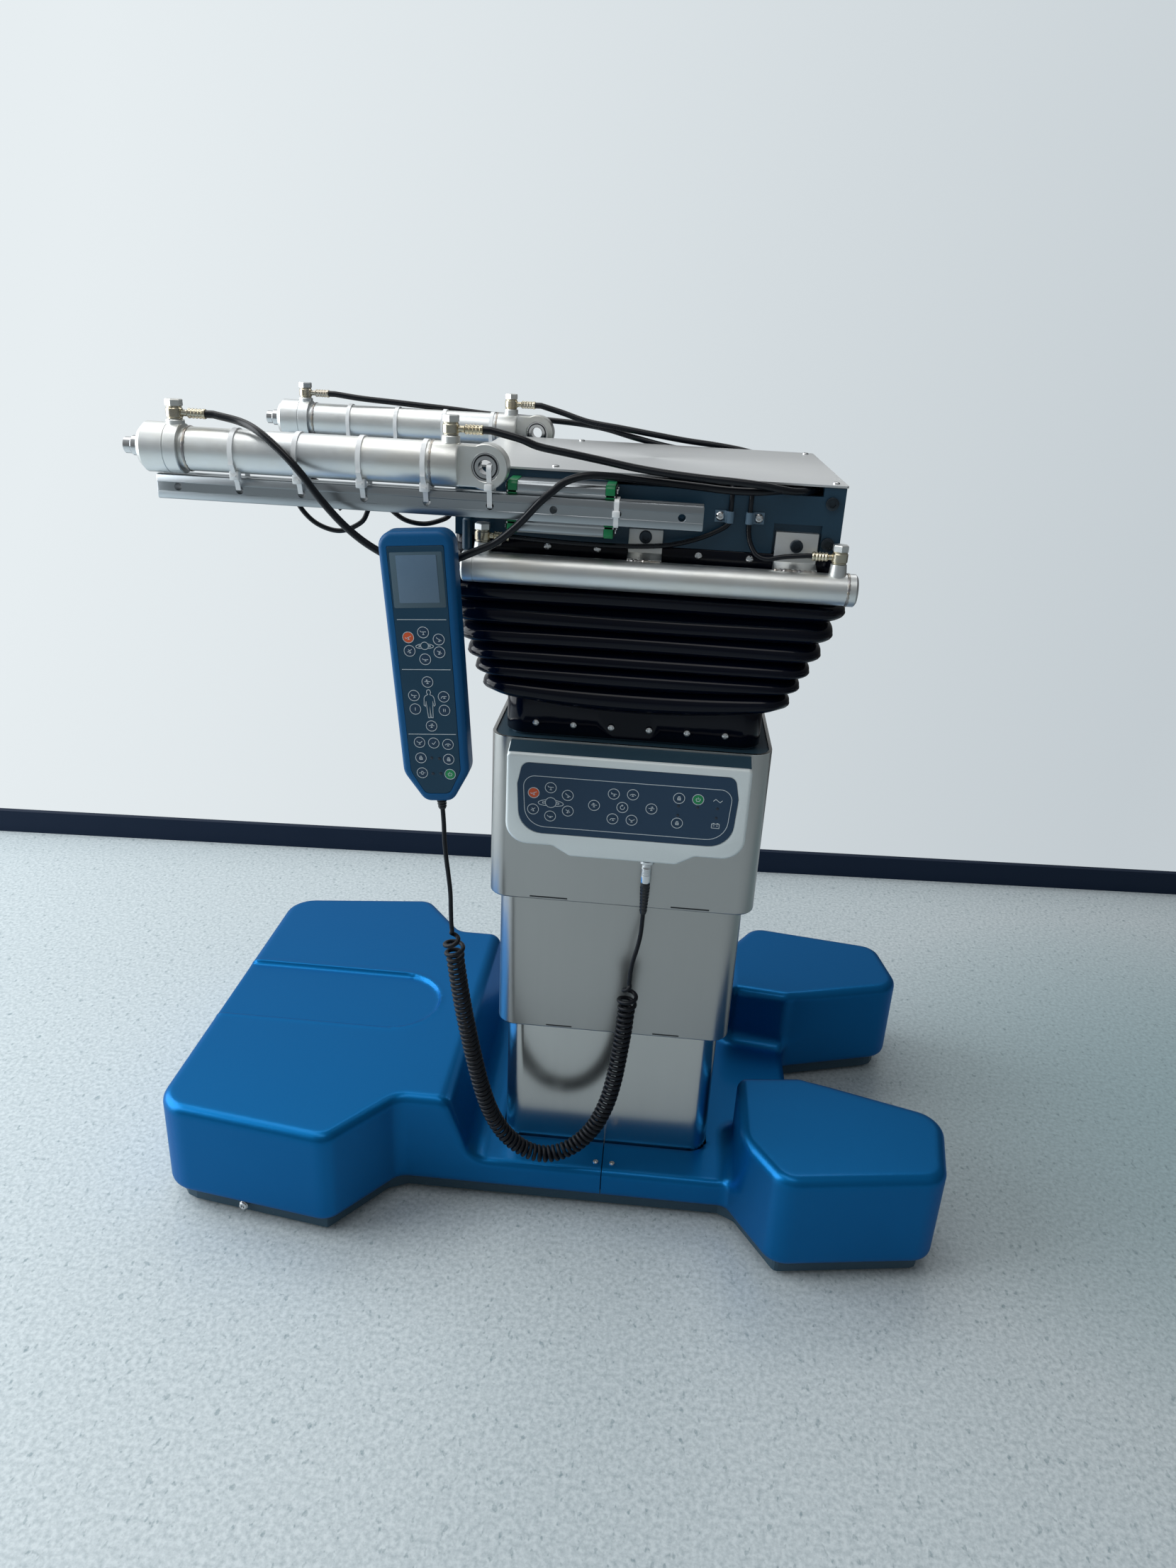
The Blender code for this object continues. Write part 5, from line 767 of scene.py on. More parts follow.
class Finishes:
    """Every material of the scene, built once."""

    def __init__(self) -> None:
        """Builds the materials."""
        self.cover = Paint(
            "cover_blue", (0.001, 0.112, 0.315), (0.002, 0.13, 0.355), rough=0.36, metallic=0.7, coat=0.09,
            dust=(0.03, 0.15, 0.32), dust_share=0.04, tint=(0.15, 0.5, 0.85)).material()
        self.plate = Paint(
            "plate_dark", (0.012, 0.048, 0.08), (0.026, 0.076, 0.115), rough=0.45, metallic=0.3, mottle=14.0,
            streak=(0.35, 0.35, 2.2), dust_share=0.12).material()
        self.slate = Paint(
            "slate_frame", (0.006, 0.038, 0.072), (0.01, 0.05, 0.092), rough=0.36, metallic=0.1, coat=0.06,
            dust=(0.2, 0.27, 0.32), dust_share=0.06).material()
        self.silver = Paint(
            "panel_silver", (0.74, 0.8, 0.81), (0.8, 0.86, 0.865), rough=0.42, metallic=0.2, peel=420.0,
            dust_share=0.03).material()
        self.motor = Paint("power_pack_grey", (0.18, 0.19, 0.2), (0.24, 0.25, 0.26), rough=0.5).material()
        self.shell = Grained(
            "stainless_upright", (0.43, 0.43, 0.42), (0.385, 0.385, 0.375), rough=0.3,
            grain=(700.0, 700.0, 5.0), rough_swing=0.03, depth=0.0000015).material()
        self.bright_shell = Grained(
            "stainless_bright", (0.54, 0.54, 0.525), (0.44, 0.44, 0.43), rough=0.2, grain=(700.0, 700.0, 5.0),
            rough_swing=0.03, depth=0.0000015).material()
        self.sheet = Grained(
            "stainless_sheet", (0.88, 0.895, 0.9), (0.76, 0.775, 0.78), rough=0.34, grain=(7.0, 620.0, 620.0),
            anisotropic=0.3).material()
        self.ground = Grained(
            "ground_steel", (0.44, 0.475, 0.5), (0.29, 0.315, 0.34), rough=0.3, grain=(5.0, 700.0, 700.0),
            cloud=22.0, depth=0.000005).material()
        self.bright = Grained(
            "polished_steel", (0.72, 0.73, 0.74), (0.52, 0.53, 0.55), rough=0.14, grain=(60.0, 60.0, 60.0),
            cloud=40.0, rough_swing=0.06).material()
        self.zinc = Plated(
            "zinc_tube", (0.8, 0.825, 0.825), (0.73, 0.71, 0.64), (0.62, 0.67, 0.73), rough=0.4).material()
        self.yellow_zinc = Plated(
            "zinc_fitting", (0.6, 0.57, 0.46), (0.6, 0.47, 0.28), (0.5, 0.48, 0.5), rough=0.22,
            tint_scale=60.0).material()
        self.weld = Plated(
            "weld_bead", (0.42, 0.41, 0.39), (0.45, 0.36, 0.25), (0.25, 0.27, 0.34), rough=0.36,
            tint_scale=120.0, pits=0.00012).material()
        self.bellows = Moulded(
            "bellows_rubber", (0.0005, 0.0018, 0.0075), (0.003, 0.006, 0.013), rough=0.13, cloud=9.0,
            haze=0.05, coat=0.18, specular=0.12).material()
        self.hose = Moulded(
            "hose_rubber", (0.0022, 0.0038, 0.0075), (0.008, 0.011, 0.016), rough=0.28, cloud=20.0, haze=0.15,
            coat=0.12, specular=0.3).material()
        self.cord = Moulded(
            "cord_jacket", (0.0025, 0.004, 0.0075), (0.008, 0.011, 0.016), rough=0.36, cloud=30.0, haze=0.15,
            specular=0.25, ribs=6.0).material()
        self.rubber_foot = Moulded(
            "foot_rubber", (0.006, 0.008, 0.011), (0.02, 0.022, 0.026), rough=0.6).material()
        self.grip = Moulded(
            "handset_rubber", (0.001, 0.08, 0.225), (0.002, 0.095, 0.255), rough=0.38, grain=1500.0,
            depth=0.00004, haze=0.3, specular=0.25).material()
        self.film = Moulded(
            "key_film", (0.022, 0.052, 0.098), (0.03, 0.064, 0.115), rough=0.32, haze=0.3,
            specular=0.25).material()
        self.face = Moulded(
            "handset_film", (0.014, 0.05, 0.09), (0.02, 0.06, 0.104), rough=0.34, haze=0.3,
            specular=0.22).material()
        self.dome = Moulded(
            "key_dome", (0.018, 0.044, 0.084), (0.026, 0.055, 0.1), rough=0.28, specular=0.25).material()
        self.oxide = Grained(
            "black_oxide", (0.05, 0.062, 0.075), (0.03, 0.038, 0.048), rough=0.36,
            grain=(300.0, 300.0, 300.0), cloud=40.0).material()
        self.border = Moulded(
            "display_border", (0.055, 0.1, 0.135), (0.07, 0.118, 0.152), rough=0.35).material()
        self.green = Moulded("green_plastic", (0.002, 0.2, 0.065), (0.01, 0.25, 0.095), rough=0.33).material()
        self.tie = Moulded(
            "clear_nylon", (0.9, 0.92, 0.93), (0.95, 0.96, 0.97), rough=0.3, haze=0.5, transmission=0.05,
            specular=0.6).material()
        self.clip = Moulded("clip_sleeve", (0.12, 0.2, 0.28), (0.2, 0.28, 0.36), rough=0.35).material()
        self.black = Moulded(
            "black_plastic", (0.003, 0.005, 0.009), (0.012, 0.015, 0.02), rough=0.4).material()
        self.white_ink = Ink("ink_white", (0.62, 0.69, 0.73), (0.5, 0.57, 0.62)).material()
        self.orange_ink = Ink("ink_orange", (0.68, 0.1, 0.022), (0.56, 0.075, 0.018)).material()
        self.green_ink = Ink("ink_green", (0.004, 0.26, 0.085), (0.004, 0.2, 0.066)).material()
        self.lamp = Ink("lamp_lens", (0.01, 0.018, 0.032), (0.018, 0.028, 0.046), rough=0.2).material()
        self.glass = Ink("display_glass", (0.115, 0.185, 0.265), (0.098, 0.16, 0.235), rough=0.1).material()
        # The floor's last colour is its painted shadow, a darker teal-grey.
        self.floor = Vinyl(
            "floor_vinyl", (0.61, 0.672, 0.695), (0.56, 0.622, 0.65), (0.2, 0.27, 0.3),
            (0.25, 0.42, 0.46)).material()
        self.skirting = Moulded(
            "skirting_rubber", (0.0015, 0.01, 0.03), (0.005, 0.015, 0.036), rough=0.5,
            specular=0.2).material()


# ---------------------------------------------------------------- pieces

def show(name: str, form: Form, finish: Material, sharp: float = SHARP_ANGLE) -> Item:
    """Turns a form into a named, smoothly shaded object at the origin.

    Args:
        name: the piece's name.
        form: its shape, which is used up.
        finish: its material.
        sharp: edges that bend more than this stay crisp.

    Returns:
        The object.
    """
    mesh = bpy.data.meshes.new(name)
    form.mesh.to_mesh(mesh)
    form.mesh.free()
    mesh.shade_smooth()
    mesh.set_sharp_from_angle(angle=sharp)
    mesh.materials.clear()
    mesh.materials.append(finish)
    return linked(name, mesh)


def settle(made: Item, body: Body, *nodes: str) -> Item:
    """Lets a piece ride on a body and stand for CAD nodes.

    Args:
        made: the piece.
        body: the body that carries it.
        nodes: CAD nodes that it replaces.

    Returns:
        The piece.
    """
    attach(made, body.value)
    if nodes:
        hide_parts(*nodes)
    LOG.info("%s: %d faces on %s", made.name, len(made.data.polygons), body.value)
    return made


def put(name: str, form: Form, finish: Material, body: Body, *nodes: str, sharp: float = SHARP_ANGLE) -> Item:
    """Shows a form and settles it on a body.

    Args:
        name: the piece's name.
        form: its shape, which is used up.
        finish: its material.
        body: the body that carries it.
        nodes: CAD nodes that it replaces.
        sharp: edges that bend more than this stay crisp.

    Returns:
        The piece.
    """
    return settle(show(name, form, finish, sharp), body, *nodes)


def dress(finish: Material, *nodes: str) -> None:
    """Gives CAD nodes that stay in view a better material.

    Args:
        finish: the material.
        nodes: names of the nodes.
    """
    for node in nodes:
        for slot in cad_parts[node].material_slots:
            slot.material = finish


# ---------------------------------------------------------------- repeats by Geometry Nodes

class Repeater(Tree):
    """A Geometry Nodes tree that puts one small shape at many places."""

    def __init__(self) -> None:
        """Builds the tree with its named inputs."""
        self.tree = bpy.data.node_groups.new("repeat_at_points", "GeometryNodeTree")
        face = self.tree.interface
        face.new_socket("Geometry", in_out="OUTPUT", socket_type="NodeSocketGeometry")
        sockets = (
            ("Geometry", "Geometry"), ("Item", "Object"), ("Turn Swing", "Float"), ("Seed", "Int"),
            ("Finish", "Material"))
        self.keys = {
            title: face.new_socket(title, in_out="INPUT", socket_type=f"NodeSocket{kind}").identifier
            for title, kind in sockets}
        given, end = self.node("NodeGroupInput").outputs, self.node("NodeGroupOutput")
        item = self.node("GeometryNodeObjectInfo", {"Object": given["Item"]})
        outward = self.node("GeometryNodeInputNamedAttribute", {"Name": "outward"}, data_type="FLOAT_VECTOR")
        facing = self.node("FunctionNodeAlignRotationToVector", {"Vector": outward.outputs[0]}, axis="Z")
        chance = self.node("FunctionNodeRandomValue", {"Seed": given["Seed"]}, data_type="FLOAT")
        turn = (self.signal(chance.outputs[1]) - 0.5) * self.signal(given["Turn Swing"])
        spin = self.node("FunctionNodeAxisAngleToRotation", {"Angle": turn})
        rotation = self.node(
            "FunctionNodeRotateRotation", {0: facing.outputs[0], 1: spin.outputs[0]}, rotation_space="LOCAL")
        copies = self.node(
            "GeometryNodeInstanceOnPoints",
            {
                "Points": given["Geometry"], "Instance": item.outputs["Geometry"],
                "Rotation": rotation.outputs[0]})
        real = self.node("GeometryNodeRealizeInstances", {"Geometry": copies.outputs[0]})
        dressed = self.node(
            "GeometryNodeSetMaterial", {"Geometry": real.outputs[0], "Material": given["Finish"]})
        self.tree.links.new(dressed.outputs[0], end.inputs[0])

    def spread(
            self, name: str, item: Form, finish: Material, places: Sequence[tuple[Point, Point]], body: Body,
            turn_swing: float = tau, seed: int = 3) -> Item:
        """Puts a shape at every place and gives one plain mesh.

        Args:
            name: the piece's name.
            item: the shape, which stands on its own z axis.
            finish: its material.
            places: pairs of a point and the way out of the surface there.
            body: the body that carries the piece.
            turn_swing: how far the shapes turn about their own axis.
            seed: fixes the variation.

        Returns:
            The piece.
        """
        model = show(f"{name}_item", item, finish)
        points = bpy.data.meshes.new(f"{name}_points")
        points.from_pydata([place for place, outward in places], [], [])
        facing = points.attributes.new("outward", "FLOAT_VECTOR", "POINT")
        facing.data.foreach_set("vector", [number for place, outward in places for number in outward])
        holder = linked(f"{name}_points", points)
        change = holder.modifiers.new("repeat", "NODES")
        change.node_group = self.tree
        for title, value in (("Item", model), ("Turn Swing", turn_swing), ("Seed", seed), ("Finish", finish)):
            change[self.keys[title]] = value
        mesh = evaluated(holder, model)
        mesh.name = name
        return settle(linked(name, mesh), body)


# ---------------------------------------------------------------- base

class Plan:
    """A rounded outline that gives its distance at any place, below zero inside."""

    def __init__(self, corners: Sequence[Corner]) -> None:
        """Keeps the outline's chords.

        Args:
            corners: x, y and radius of the outline's corners.
        """
        points = np.array(rounded(corners, 0.0, 10))
        self.start = points
        self.step = np.roll(points, -1, axis=0) - points

    def distance(self, x: np.ndarray, y: np.ndarray) -> np.ndarray:
        """Distance to the outline at every place.

        Args:
            x: places along the table.
            y: places across it, of the same shape.

        Returns:
            Distances of the same shape.
        """
        nearest = np.full(x.shape, np.inf)
        inside = np.zeros(x.shape, dtype=bool)
        for (ax, ay), (dx, dy) in zip(self.start, self.step):
            if hypot(dx, dy) < HAIR / 10:
                continue
            px, py = x - ax, y - ay
            share = np.clip((px * dx + py * dy) / (dx * dx + dy * dy), 0.0, 1.0)
            nearest = np.minimum(nearest, (px - share * dx) ** 2 + (py - share * dy) ** 2)
            crossing = (ay > y) != (ay + dy > y)
            if dy:
                inside ^= crossing & (px < dx * py / dy)
        return np.where(inside, -1.0, 1.0) * np.sqrt(nearest)


def round_both(first: np.ndarray, second: np.ndarray, radius: float) -> np.ndarray:
    """Distance to what two solids share, with its edge rounded."""
    corner = np.hypot(np.maximum(first + radius, 0.0), np.maximum(second + radius, 0.0))
    return np.minimum(np.maximum(first, second), -radius) + corner


def fillet_either(first: np.ndarray, second: np.ndarray, radius: float) -> np.ndarray:
    """Distance to two solids together, with a fillet where they meet."""
    corner = np.hypot(np.maximum(radius - first, 0.0), np.maximum(radius - second, 0.0))
    return np.maximum(np.minimum(first, second), radius) - corner


def surface_net(field_at: Callable, low: Point, high: Point, cell: float) -> tuple[np.ndarray, np.ndarray]:
    """Quads along the zero surface of a field, with their points drawn onto it.

    Args:
        field_at: gives the field at arrays of x, y and z.
        low: lowest corner of the searched box.
        high: highest corner.
        cell: size of the grid's cells.

    Returns:
        Points and quads.
    """
    axes = [np.arange(a, b + cell, cell) for a, b in zip(low, high)]
    x, y, z = np.meshgrid(*axes, indexing="ij", sparse=True)
    values = field_at(x + 0 * y, y + 0 * x, z)
    sign = values > 0
    shape = tuple(n - 1 for n in values.shape)
    total = np.zeros((*shape, 3))
    hits = np.zeros(shape)
    corners = [(i, j, k) for i in (0, 1) for j in (0, 1) for k in (0, 1)]

    def cut(corner: tuple[int, int, int]) -> tuple[slice, ...]:
        """The grid's values at one corner of every cell."""
        return tuple(slice(start, start + count) for start, count in zip(corner, shape))

    for a in corners:
        for axis in range(3):
            if a[axis]:
                continue
            b = tuple(1 if n == axis else a[n] for n in range(3))
            va, vb = values[cut(a)], values[cut(b)]
            crossed = sign[cut(a)] != sign[cut(b)]
            share = np.where(crossed, va / np.where(va == vb, 1.0, va - vb), 0.0)
            for n in range(3):
                total[..., n] += np.where(crossed, a[n] + (share if n == axis else 0.0), 0.0)
            hits += crossed
    active = hits > 0
    number = np.full(shape, -1)
    number[active] = np.arange(int(active.sum()))
    cells = np.argwhere(active)
    points = (cells + total[active] / hits[active][:, None]) * cell + np.array([a[0] for a in axes])
    quads = []
    for axis in range(3):
        u, v = (axis + 1) % 3, (axis + 2) % 3
        inner = [slice(1, n) for n in shape]
        inner[axis] = slice(0, shape[axis])
        after = list(inner)
        after[axis] = slice(1, shape[axis] + 1)
        here, there = sign[tuple(inner)], sign[tuple(after)]
        for found, flip in ((~here & there, False), (here & ~there, True)):
            spot = np.argwhere(found) + np.array([0 if n == axis else 1 for n in range(3)])
            back_u, back_v = np.eye(3, dtype=int)[u], np.eye(3, dtype=int)[v]
            ring = [spot - back_u - back_v, spot - back_v, spot, spot - back_u]
            quad = np.stack([number[tuple(r.T)] for r in ring], axis=1)
            quads.append(quad[:, ::-1] if flip else quad)
    faces = np.concatenate(quads)
    for _ in range(4):
        slope = gradient(field_at, points)
        size = np.maximum((slope ** 2).sum(axis=1), 0.2)
        points = points - slope * np.clip(field_at(*points.T) / size, -cell / 2, cell / 2)[:, None]
    return points, faces[(faces >= 0).all(axis=1)]


def gradient(field_at: Callable, points: np.ndarray) -> np.ndarray:
    """Slope of a field at every point.

    Args:
        field_at: gives the field at arrays of x, y and z.
        points: the points, one to a row.

    Returns:
        The slopes, one to a row.
    """
    small = HAIR * 2
    slope = []
    for axis in range(3):
        step = np.zeros(3)
        step[axis] = small
        slope.append((field_at(*(points + step).T) - field_at(*(points - step).T)) / (2 * small))
    return np.stack(slope, axis=1)


@dataclass
class BaseCovers:
    """The moulded covers at the head and foot ends, with fillets, slot and column opening."""

    finishes: Finishes
    bottom: float = 0.0263
    deck_top: float = 0.064
    block_top: float = 0.15
    block_edge: float = 0.012
    deck_edge: float = 0.008
    foot_edge: float = 0.008
    fillet: float = 0.02
    wall: float = 0.008
    lip: float = 0.021
    lip_height: float = 0.005
    inner_top: float = -0.188
    inner_foot: float = -0.16
    slot_half: float = 0.063
    slot_end: float = -0.239
    slot_depth: float = 0.005
    rim_rise: float = 0.0013
    rim_width: float = 0.0045
    seam: float = 0.0006
    opening: Point = (0.1276, 0.1433, 0.023)
    cell: float = 0.003
    fold: float = radians(50)
    outline: tuple[Corner, ...] = (
        (-0.5235, -0.249, 0.042), (-0.311, -0.281, 0.026), (-0.247, -0.197, 0.022), (0.1506, -0.197, 0.014),
        (0.2013, -0.2796, 0.03), (0.387, -0.2505, 0.03), (0.4064, -0.1395, 0.036), (0.2395, -0.0876, 0.018))
    toe: tuple[Corner, ...] = (
        (0.16, 0.098, 0.014), (0.2395, 0.0876, 0.045), (0.47, 0.11, 0.001), (0.47, 0.35, 0.001),
        (0.158, 0.35, 0.001))

    def __post_init__(self) -> None:
        """Lays out the plan outlines."""
        self.whole = Plan([*self.outline, *((x, -y, r) for x, y, r in reversed(self.outline))])
        self.toes = Plan(self.toe)
        self.hole = Plan(oblong(*self.opening))

    def slot(self, x: np.ndarray, y: np.ndarray) -> np.ndarray:
        """Distance to the slot's outline, which is open at the head end."""
        centre = self.slot_end - self.slot_half
        return np.where(x < centre, np.abs(y), np.hypot(x - centre, y)) - self.slot_half

    def field_at(self, x: np.ndarray, y: np.ndarray, z: np.ndarray) -> np.ndarray:
        """The covers' distance field.

        Args:
            x: places along the table.
            y: places across it.
            z: heights.

        Returns:
            Distances, below zero inside the covers.
        """
        plan, toes, hole = (shape.distance(x, y) for shape in (self.whole, self.toes, self.hole))
        toes = np.minimum(toes, self.toes.distance(x, -y))
        lean = (self.inner_foot - self.inner_top) / (self.block_top - self.deck_top)
        inner = (x - self.inner_top - lean * (self.block_top - z)) / hypot(1.0, lean)
        beside = np.abs(self.slot(x, y)) / self.rim_width
        roof = z - self.block_top - self.rim_rise * (np.exp(-beside ** 2) - 0.2)
        tall = np.minimum(round_both(inner, roof, self.block_edge), round_both(toes, roof, self.block_edge))
        body = fillet_either(z - self.deck_top, tall, self.fillet)
        rise = np.clip((z - self.deck_top) / (self.block_top - self.deck_top), 0.0, 1.0)
        edge = self.deck_edge + (self.block_edge - self.deck_edge) * rise
        body = round_both(plan, body, edge)
        drawn = round_both(plan, self.bottom - z, self.foot_edge)
        body = np.where(z < self.deck_top - self.deck_edge, np.maximum(body, drawn), body)
        cup = round_both(self.slot(x, y), self.block_top - self.slot_depth - z, 0.0012)
        outer = round_both(body, -cup, 0.0022)
        hollow = np.maximum(np.maximum(outer, -cup) + self.wall, self.bottom + self.lip_height - z)
        mouth = np.maximum(plan + self.lip, z - self.bottom - 2 * self.lip_height)
        return np.maximum(np.maximum(outer, -np.minimum(hollow, mouth)), -hole)

    def half(self, name: str, low: Point, high: Point, seam: float, outward: float) -> Item:
        """One cover, cut off clean at the seam and the foot.

        Args:
            name: the piece's name.
            low: lowest corner of the searched box.
            high: highest corner.
            seam: where the cover ends beside the other.
            outward: 1 if the cover ends towards +x, -1 towards -x.

        Returns:
            The piece.
        """
        points, faces = surface_net(self.field_at, low, high, self.cell)
        form = Form()
        rows = [form.mesh.verts.new(point) for point in points]
        for quad in faces:
            form.mesh.faces.new([rows[i] for i in quad])
        for place, way in (((seam, 0, 0), (outward, 0, 0)), ((0, 0, self.bottom), (0, 0, -1))):
            cut = bmesh.ops.bisect_plane(
                form.mesh, geom=[*form.mesh.verts, *form.mesh.edges, *form.mesh.faces], plane_co=place,
                plane_no=way, clear_outer=True, dist=HAIR / 20)
            rim = [part for part in cut["geom_cut"] if isinstance(part, bmesh.types.BMEdge)]
            bmesh.ops.triangle_fill(form.mesh, use_beauty=True, edges=rim, normal=way)
        bmesh.ops.remove_doubles(form.mesh, verts=form.mesh.verts[:], dist=HAIR / 50)
        bmesh.ops.recalc_face_normals(form.mesh, faces=form.mesh.faces[:])
        for _ in range(4):
            folded = {
                vert for edge in form.mesh.edges if edge.calc_face_angle(0.0) > self.fold
                for vert in edge.verts if abs(vert.co.x) > self.opening[0] + self.cell
                and vert.co.z > self.deck_top - self.cell}
            bmesh.ops.smooth_vert(
                form.mesh, verts=list(folded), factor=0.5, use_axis_x=True, use_axis_y=True, use_axis_z=True)
        made = show(name, form, self.finishes.cover)
        self.set_normals(made, seam)
        return made

    def set_normals(self, made: Item, seam: float) -> None:
        """Gives every corner on the moulded surface the field's own normal.

        Args:
            made: the cover.
            seam: where it ends beside the other cover.
        """
        mesh = made.data
        points = np.empty(len(mesh.vertices) * 3)
        mesh.vertices.foreach_get("co", points)
        slope = gradient(self.field_at, points.reshape(-1, 3))
        slope /= np.maximum(np.linalg.norm(slope, axis=1), HAIR)[:, None]
        mean = np.empty(len(mesh.vertices) * 3)
        mesh.vertex_normals.foreach_get("vector", mean)
        mean = mean.reshape(-1, 3)
        stray = (slope * mean).sum(axis=1) < cos(radians(20))
        slope[stray] = mean[stray]
        ends = np.empty(len(mesh.edges) * 2, dtype=int)
        mesh.edges.foreach_get("vertices", ends)
        first, second = ends.reshape(-1, 2).T
        even = ((mean[first] * mean[second]).sum(axis=1) > cos(radians(35)))[:, None]
        for _ in range(2):
            blended = slope * 2
            np.add.at(blended, first, slope[second] * even)
            np.add.at(blended, second, slope[first] * even)
            slope = blended / np.maximum(np.linalg.norm(blended, axis=1), HAIR)[:, None]
        spots = np.empty(len(mesh.loops), dtype=int)
        mesh.loops.foreach_get("vertex_index", spots)
        sides = np.repeat(np.arange(len(mesh.polygons)), [len(face.vertices) for face in mesh.polygons])
        flat = np.empty(len(mesh.polygons) * 3)
        mesh.polygons.foreach_get("normal", flat)
        plain = flat.reshape(-1, 3)[sides]
        moulded = slope[spots]
        agree = (plain * moulded).sum(axis=1) > cos(SHARP_ANGLE)
        mesh.normals_split_custom_set(np.where(agree[:, None], moulded, plain).tolist())

    def build(self) -> None:
        """Builds both covers."""
        head = self.half("head_end_cover", (-0.5295, -0.29, 0.0205), (0.009, 0.29, 0.154), -self.seam, 1.0)
        settle(head, Body.BASE, "base_cover_head_end")
        foot = self.half("foot_end_cover", (-0.009, -0.29, 0.0205), (0.4125, 0.29, 0.154), self.seam, -1.0)
        settle(foot, Body.BASE, "base_cover_foot_end")


@dataclass
class BaseFittings:
    """The plate's finish, the feet, the earth terminal and the parts below the covers."""

    finishes: Finishes
    terminal: Point = (-0.4107, -0.2515, 0.016)
    heading: Flat = (0.9888, -0.1489)

    def build(self) -> None:
        """Builds the terminal and dresses the parts that stay."""
        turn = Matrix.Rotation(atan2(self.heading[1], self.heading[0]), 4, "Z") @ TO_FRONT
        low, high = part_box("earth_terminal")
        middle = (low + high) / 2
        place = at(middle.x, middle.y, middle.z, turn)
        stud = Form().lathe(
            [
                (-0.0033, 0), (-0.0033, 0.0056), (0.0008, 0.0056), (0.0013, 0.005), (0.002, 0.005),
                (0.003, 0.0043), (0.0033, 0.0034), (0.0033, 0.0022), (0.0012, 0.0018), (0.0012, 0)], 32,
            place=place)
        put("terminal_stud", stud, self.finishes.bright, Body.BASE, "earth_terminal")
        dress(self.finishes.plate, "base_plate")
        dress(self.finishes.rubber_foot, *(f"floor_lock_foot_{i}" for i in range(1, 5)))
        dress(self.finishes.motor, "hydraulic_power_pack")
        dress(self.finishes.black, "battery_box")


# ---------------------------------------------------------------- column

@dataclass
class ColumnShells:
    """Three telescoping stainless shells with rounded feet, and black strips as painted shade where they have
    slits.
    """

    finishes: Finishes
    corner: float = 0.022
    wall: float = 0.002
    step: float = 0.0104
    foot_round: float = 0.0025
    lip: float = 0.004
    slit: Flat = (0.0006, 0.0021)
    rim: float = 0.0034

    def shell(
            self, name: str, half_x: float, half_y: float, low: float, high: float, turned_in: bool,
            finish: Material) -> Item:
        """One shell.

        Args:
            name: the piece's name.
            half_x: half its length.
            half_y: half its width.
            low: its foot.
            high: its top.
            turned_in: whether the foot turns in to run on the next shell.
            finish: its material.

        Returns:
            The piece.
        """
        corners = oblong(half_x, half_y, self.corner)
        bend = [
            (self.foot_round * (1 - sin(angle)), low + self.foot_round * (1 - cos(angle)))
            for angle in map(radians, (0, 30, 60, 90))]
        foot = [(self.step, low), *bend] if turned_in else [(0, low)]
        inner = [
            (inset, low + self.lip) for inset in (self.wall, self.step)] if turned_in else [(self.wall, low)]
        steps = [*foot, (0, high), (self.wall, high), *inner]
        rings = [level(rounded(corners, inset), height) for inset, height in steps]
        return show(name, Form().loft(rings, wrap=True), finish)

    def slits(self, name: str, half_y: float, low: float, spans: Sequence[Flat]) -> Item:
        """Black strips above a shell's foot, on both sides: painted shade in the slits, which are not cut.

        Args:
            name: the piece's name.
            half_y: half the shell's width.
            low: the shell's foot.
            spans: starts and ends of the slits.

        Returns:
            The piece.
        """
        form = Form()
        for start, end in spans:
            for side in SIDES:
                form.block(
                    (start, side * half_y - HAIR * 2, low + self.foot_round + self.slit[0]),
                    (end, side * half_y + HAIR * 2, low + self.foot_round + self.slit[1]))
        return show(name, form, self.finishes.black)

    def build(self) -> None:
        """Builds the shells and dresses the ram inside them."""
        looks = self.finishes
        settle(
            self.shell("lower_shell", 0.1266, 0.1423, 0.0263, 0.267, False, looks.bright_shell), Body.BASE,
            "column_lower_shell")
        settle(
            self.shell("middle_shell", 0.1374, 0.1531, 0.235, 0.4295, True, looks.shell), Body.MIDDLE,
            "column_middle_shell")
        settle(
            self.shell("upper_shell", 0.1482, 0.1639, 0.412, 0.602, True, looks.shell), Body.UPPER,
            "column_upper_shell")
        rim = Form().ribbon(
            rounded(oblong(0.1482, 0.1639, self.corner), self.rim / 2), self.rim, 0.6018, 0.6024, closed=True)
        put("upper_rim", rim, looks.bright_shell, Body.UPPER)
        # Painted shade: black strips where the middle and upper shells have slits.
        settle(self.slits("middle_slits", 0.1531, 0.235, ((-0.078, -0.0476), (0.048, 0.079))), Body.MIDDLE)
        settle(self.slits("upper_slits", 0.1639, 0.412, ((-0.101, -0.059), (0.056, 0.0985))), Body.UPPER)
        dress(looks.zinc, "lift_cylinder_barrel", "lift_cylinder_stage", "gimbal_cross")
        dress(looks.bright, "lift_piston_rod")
        dress(looks.plate, "column_head")


def stand(x: float, top: float, foot: float, *before: Flat) -> tuple[Stroke, Stroke]:
    """A table's column, which may start in another stroke, and the bar below it."""
    return (*before, (x, top), (x, foot + 0.05)), ((x - 0.3, foot), (x + 0.3, foot))


def sliding(way: int) -> tuple[Stroke, ...]:
    """A table whose top slides, with an arrow above it."""
    arrow = ((-0.2, 0.5), (0.35, 0.5)), ((0.15, 0.7), (0.4, 0.5), (0.15, 0.3))
    return (
        ((-0.8, 0.1), (0.8, 0.1)), *stand(0.0, 0.1, -0.45),
        *(tuple((x * way, y) for x, y in stroke) for stroke in arrow))


def both_sides(*strokes: Stroke) -> tuple[Stroke, ...]:
    """Every stroke on the left, mirrored, and on the right."""
    return tuple(tuple((x * side, y) for x, y in stroke) for stroke in strokes for side in SIDES)


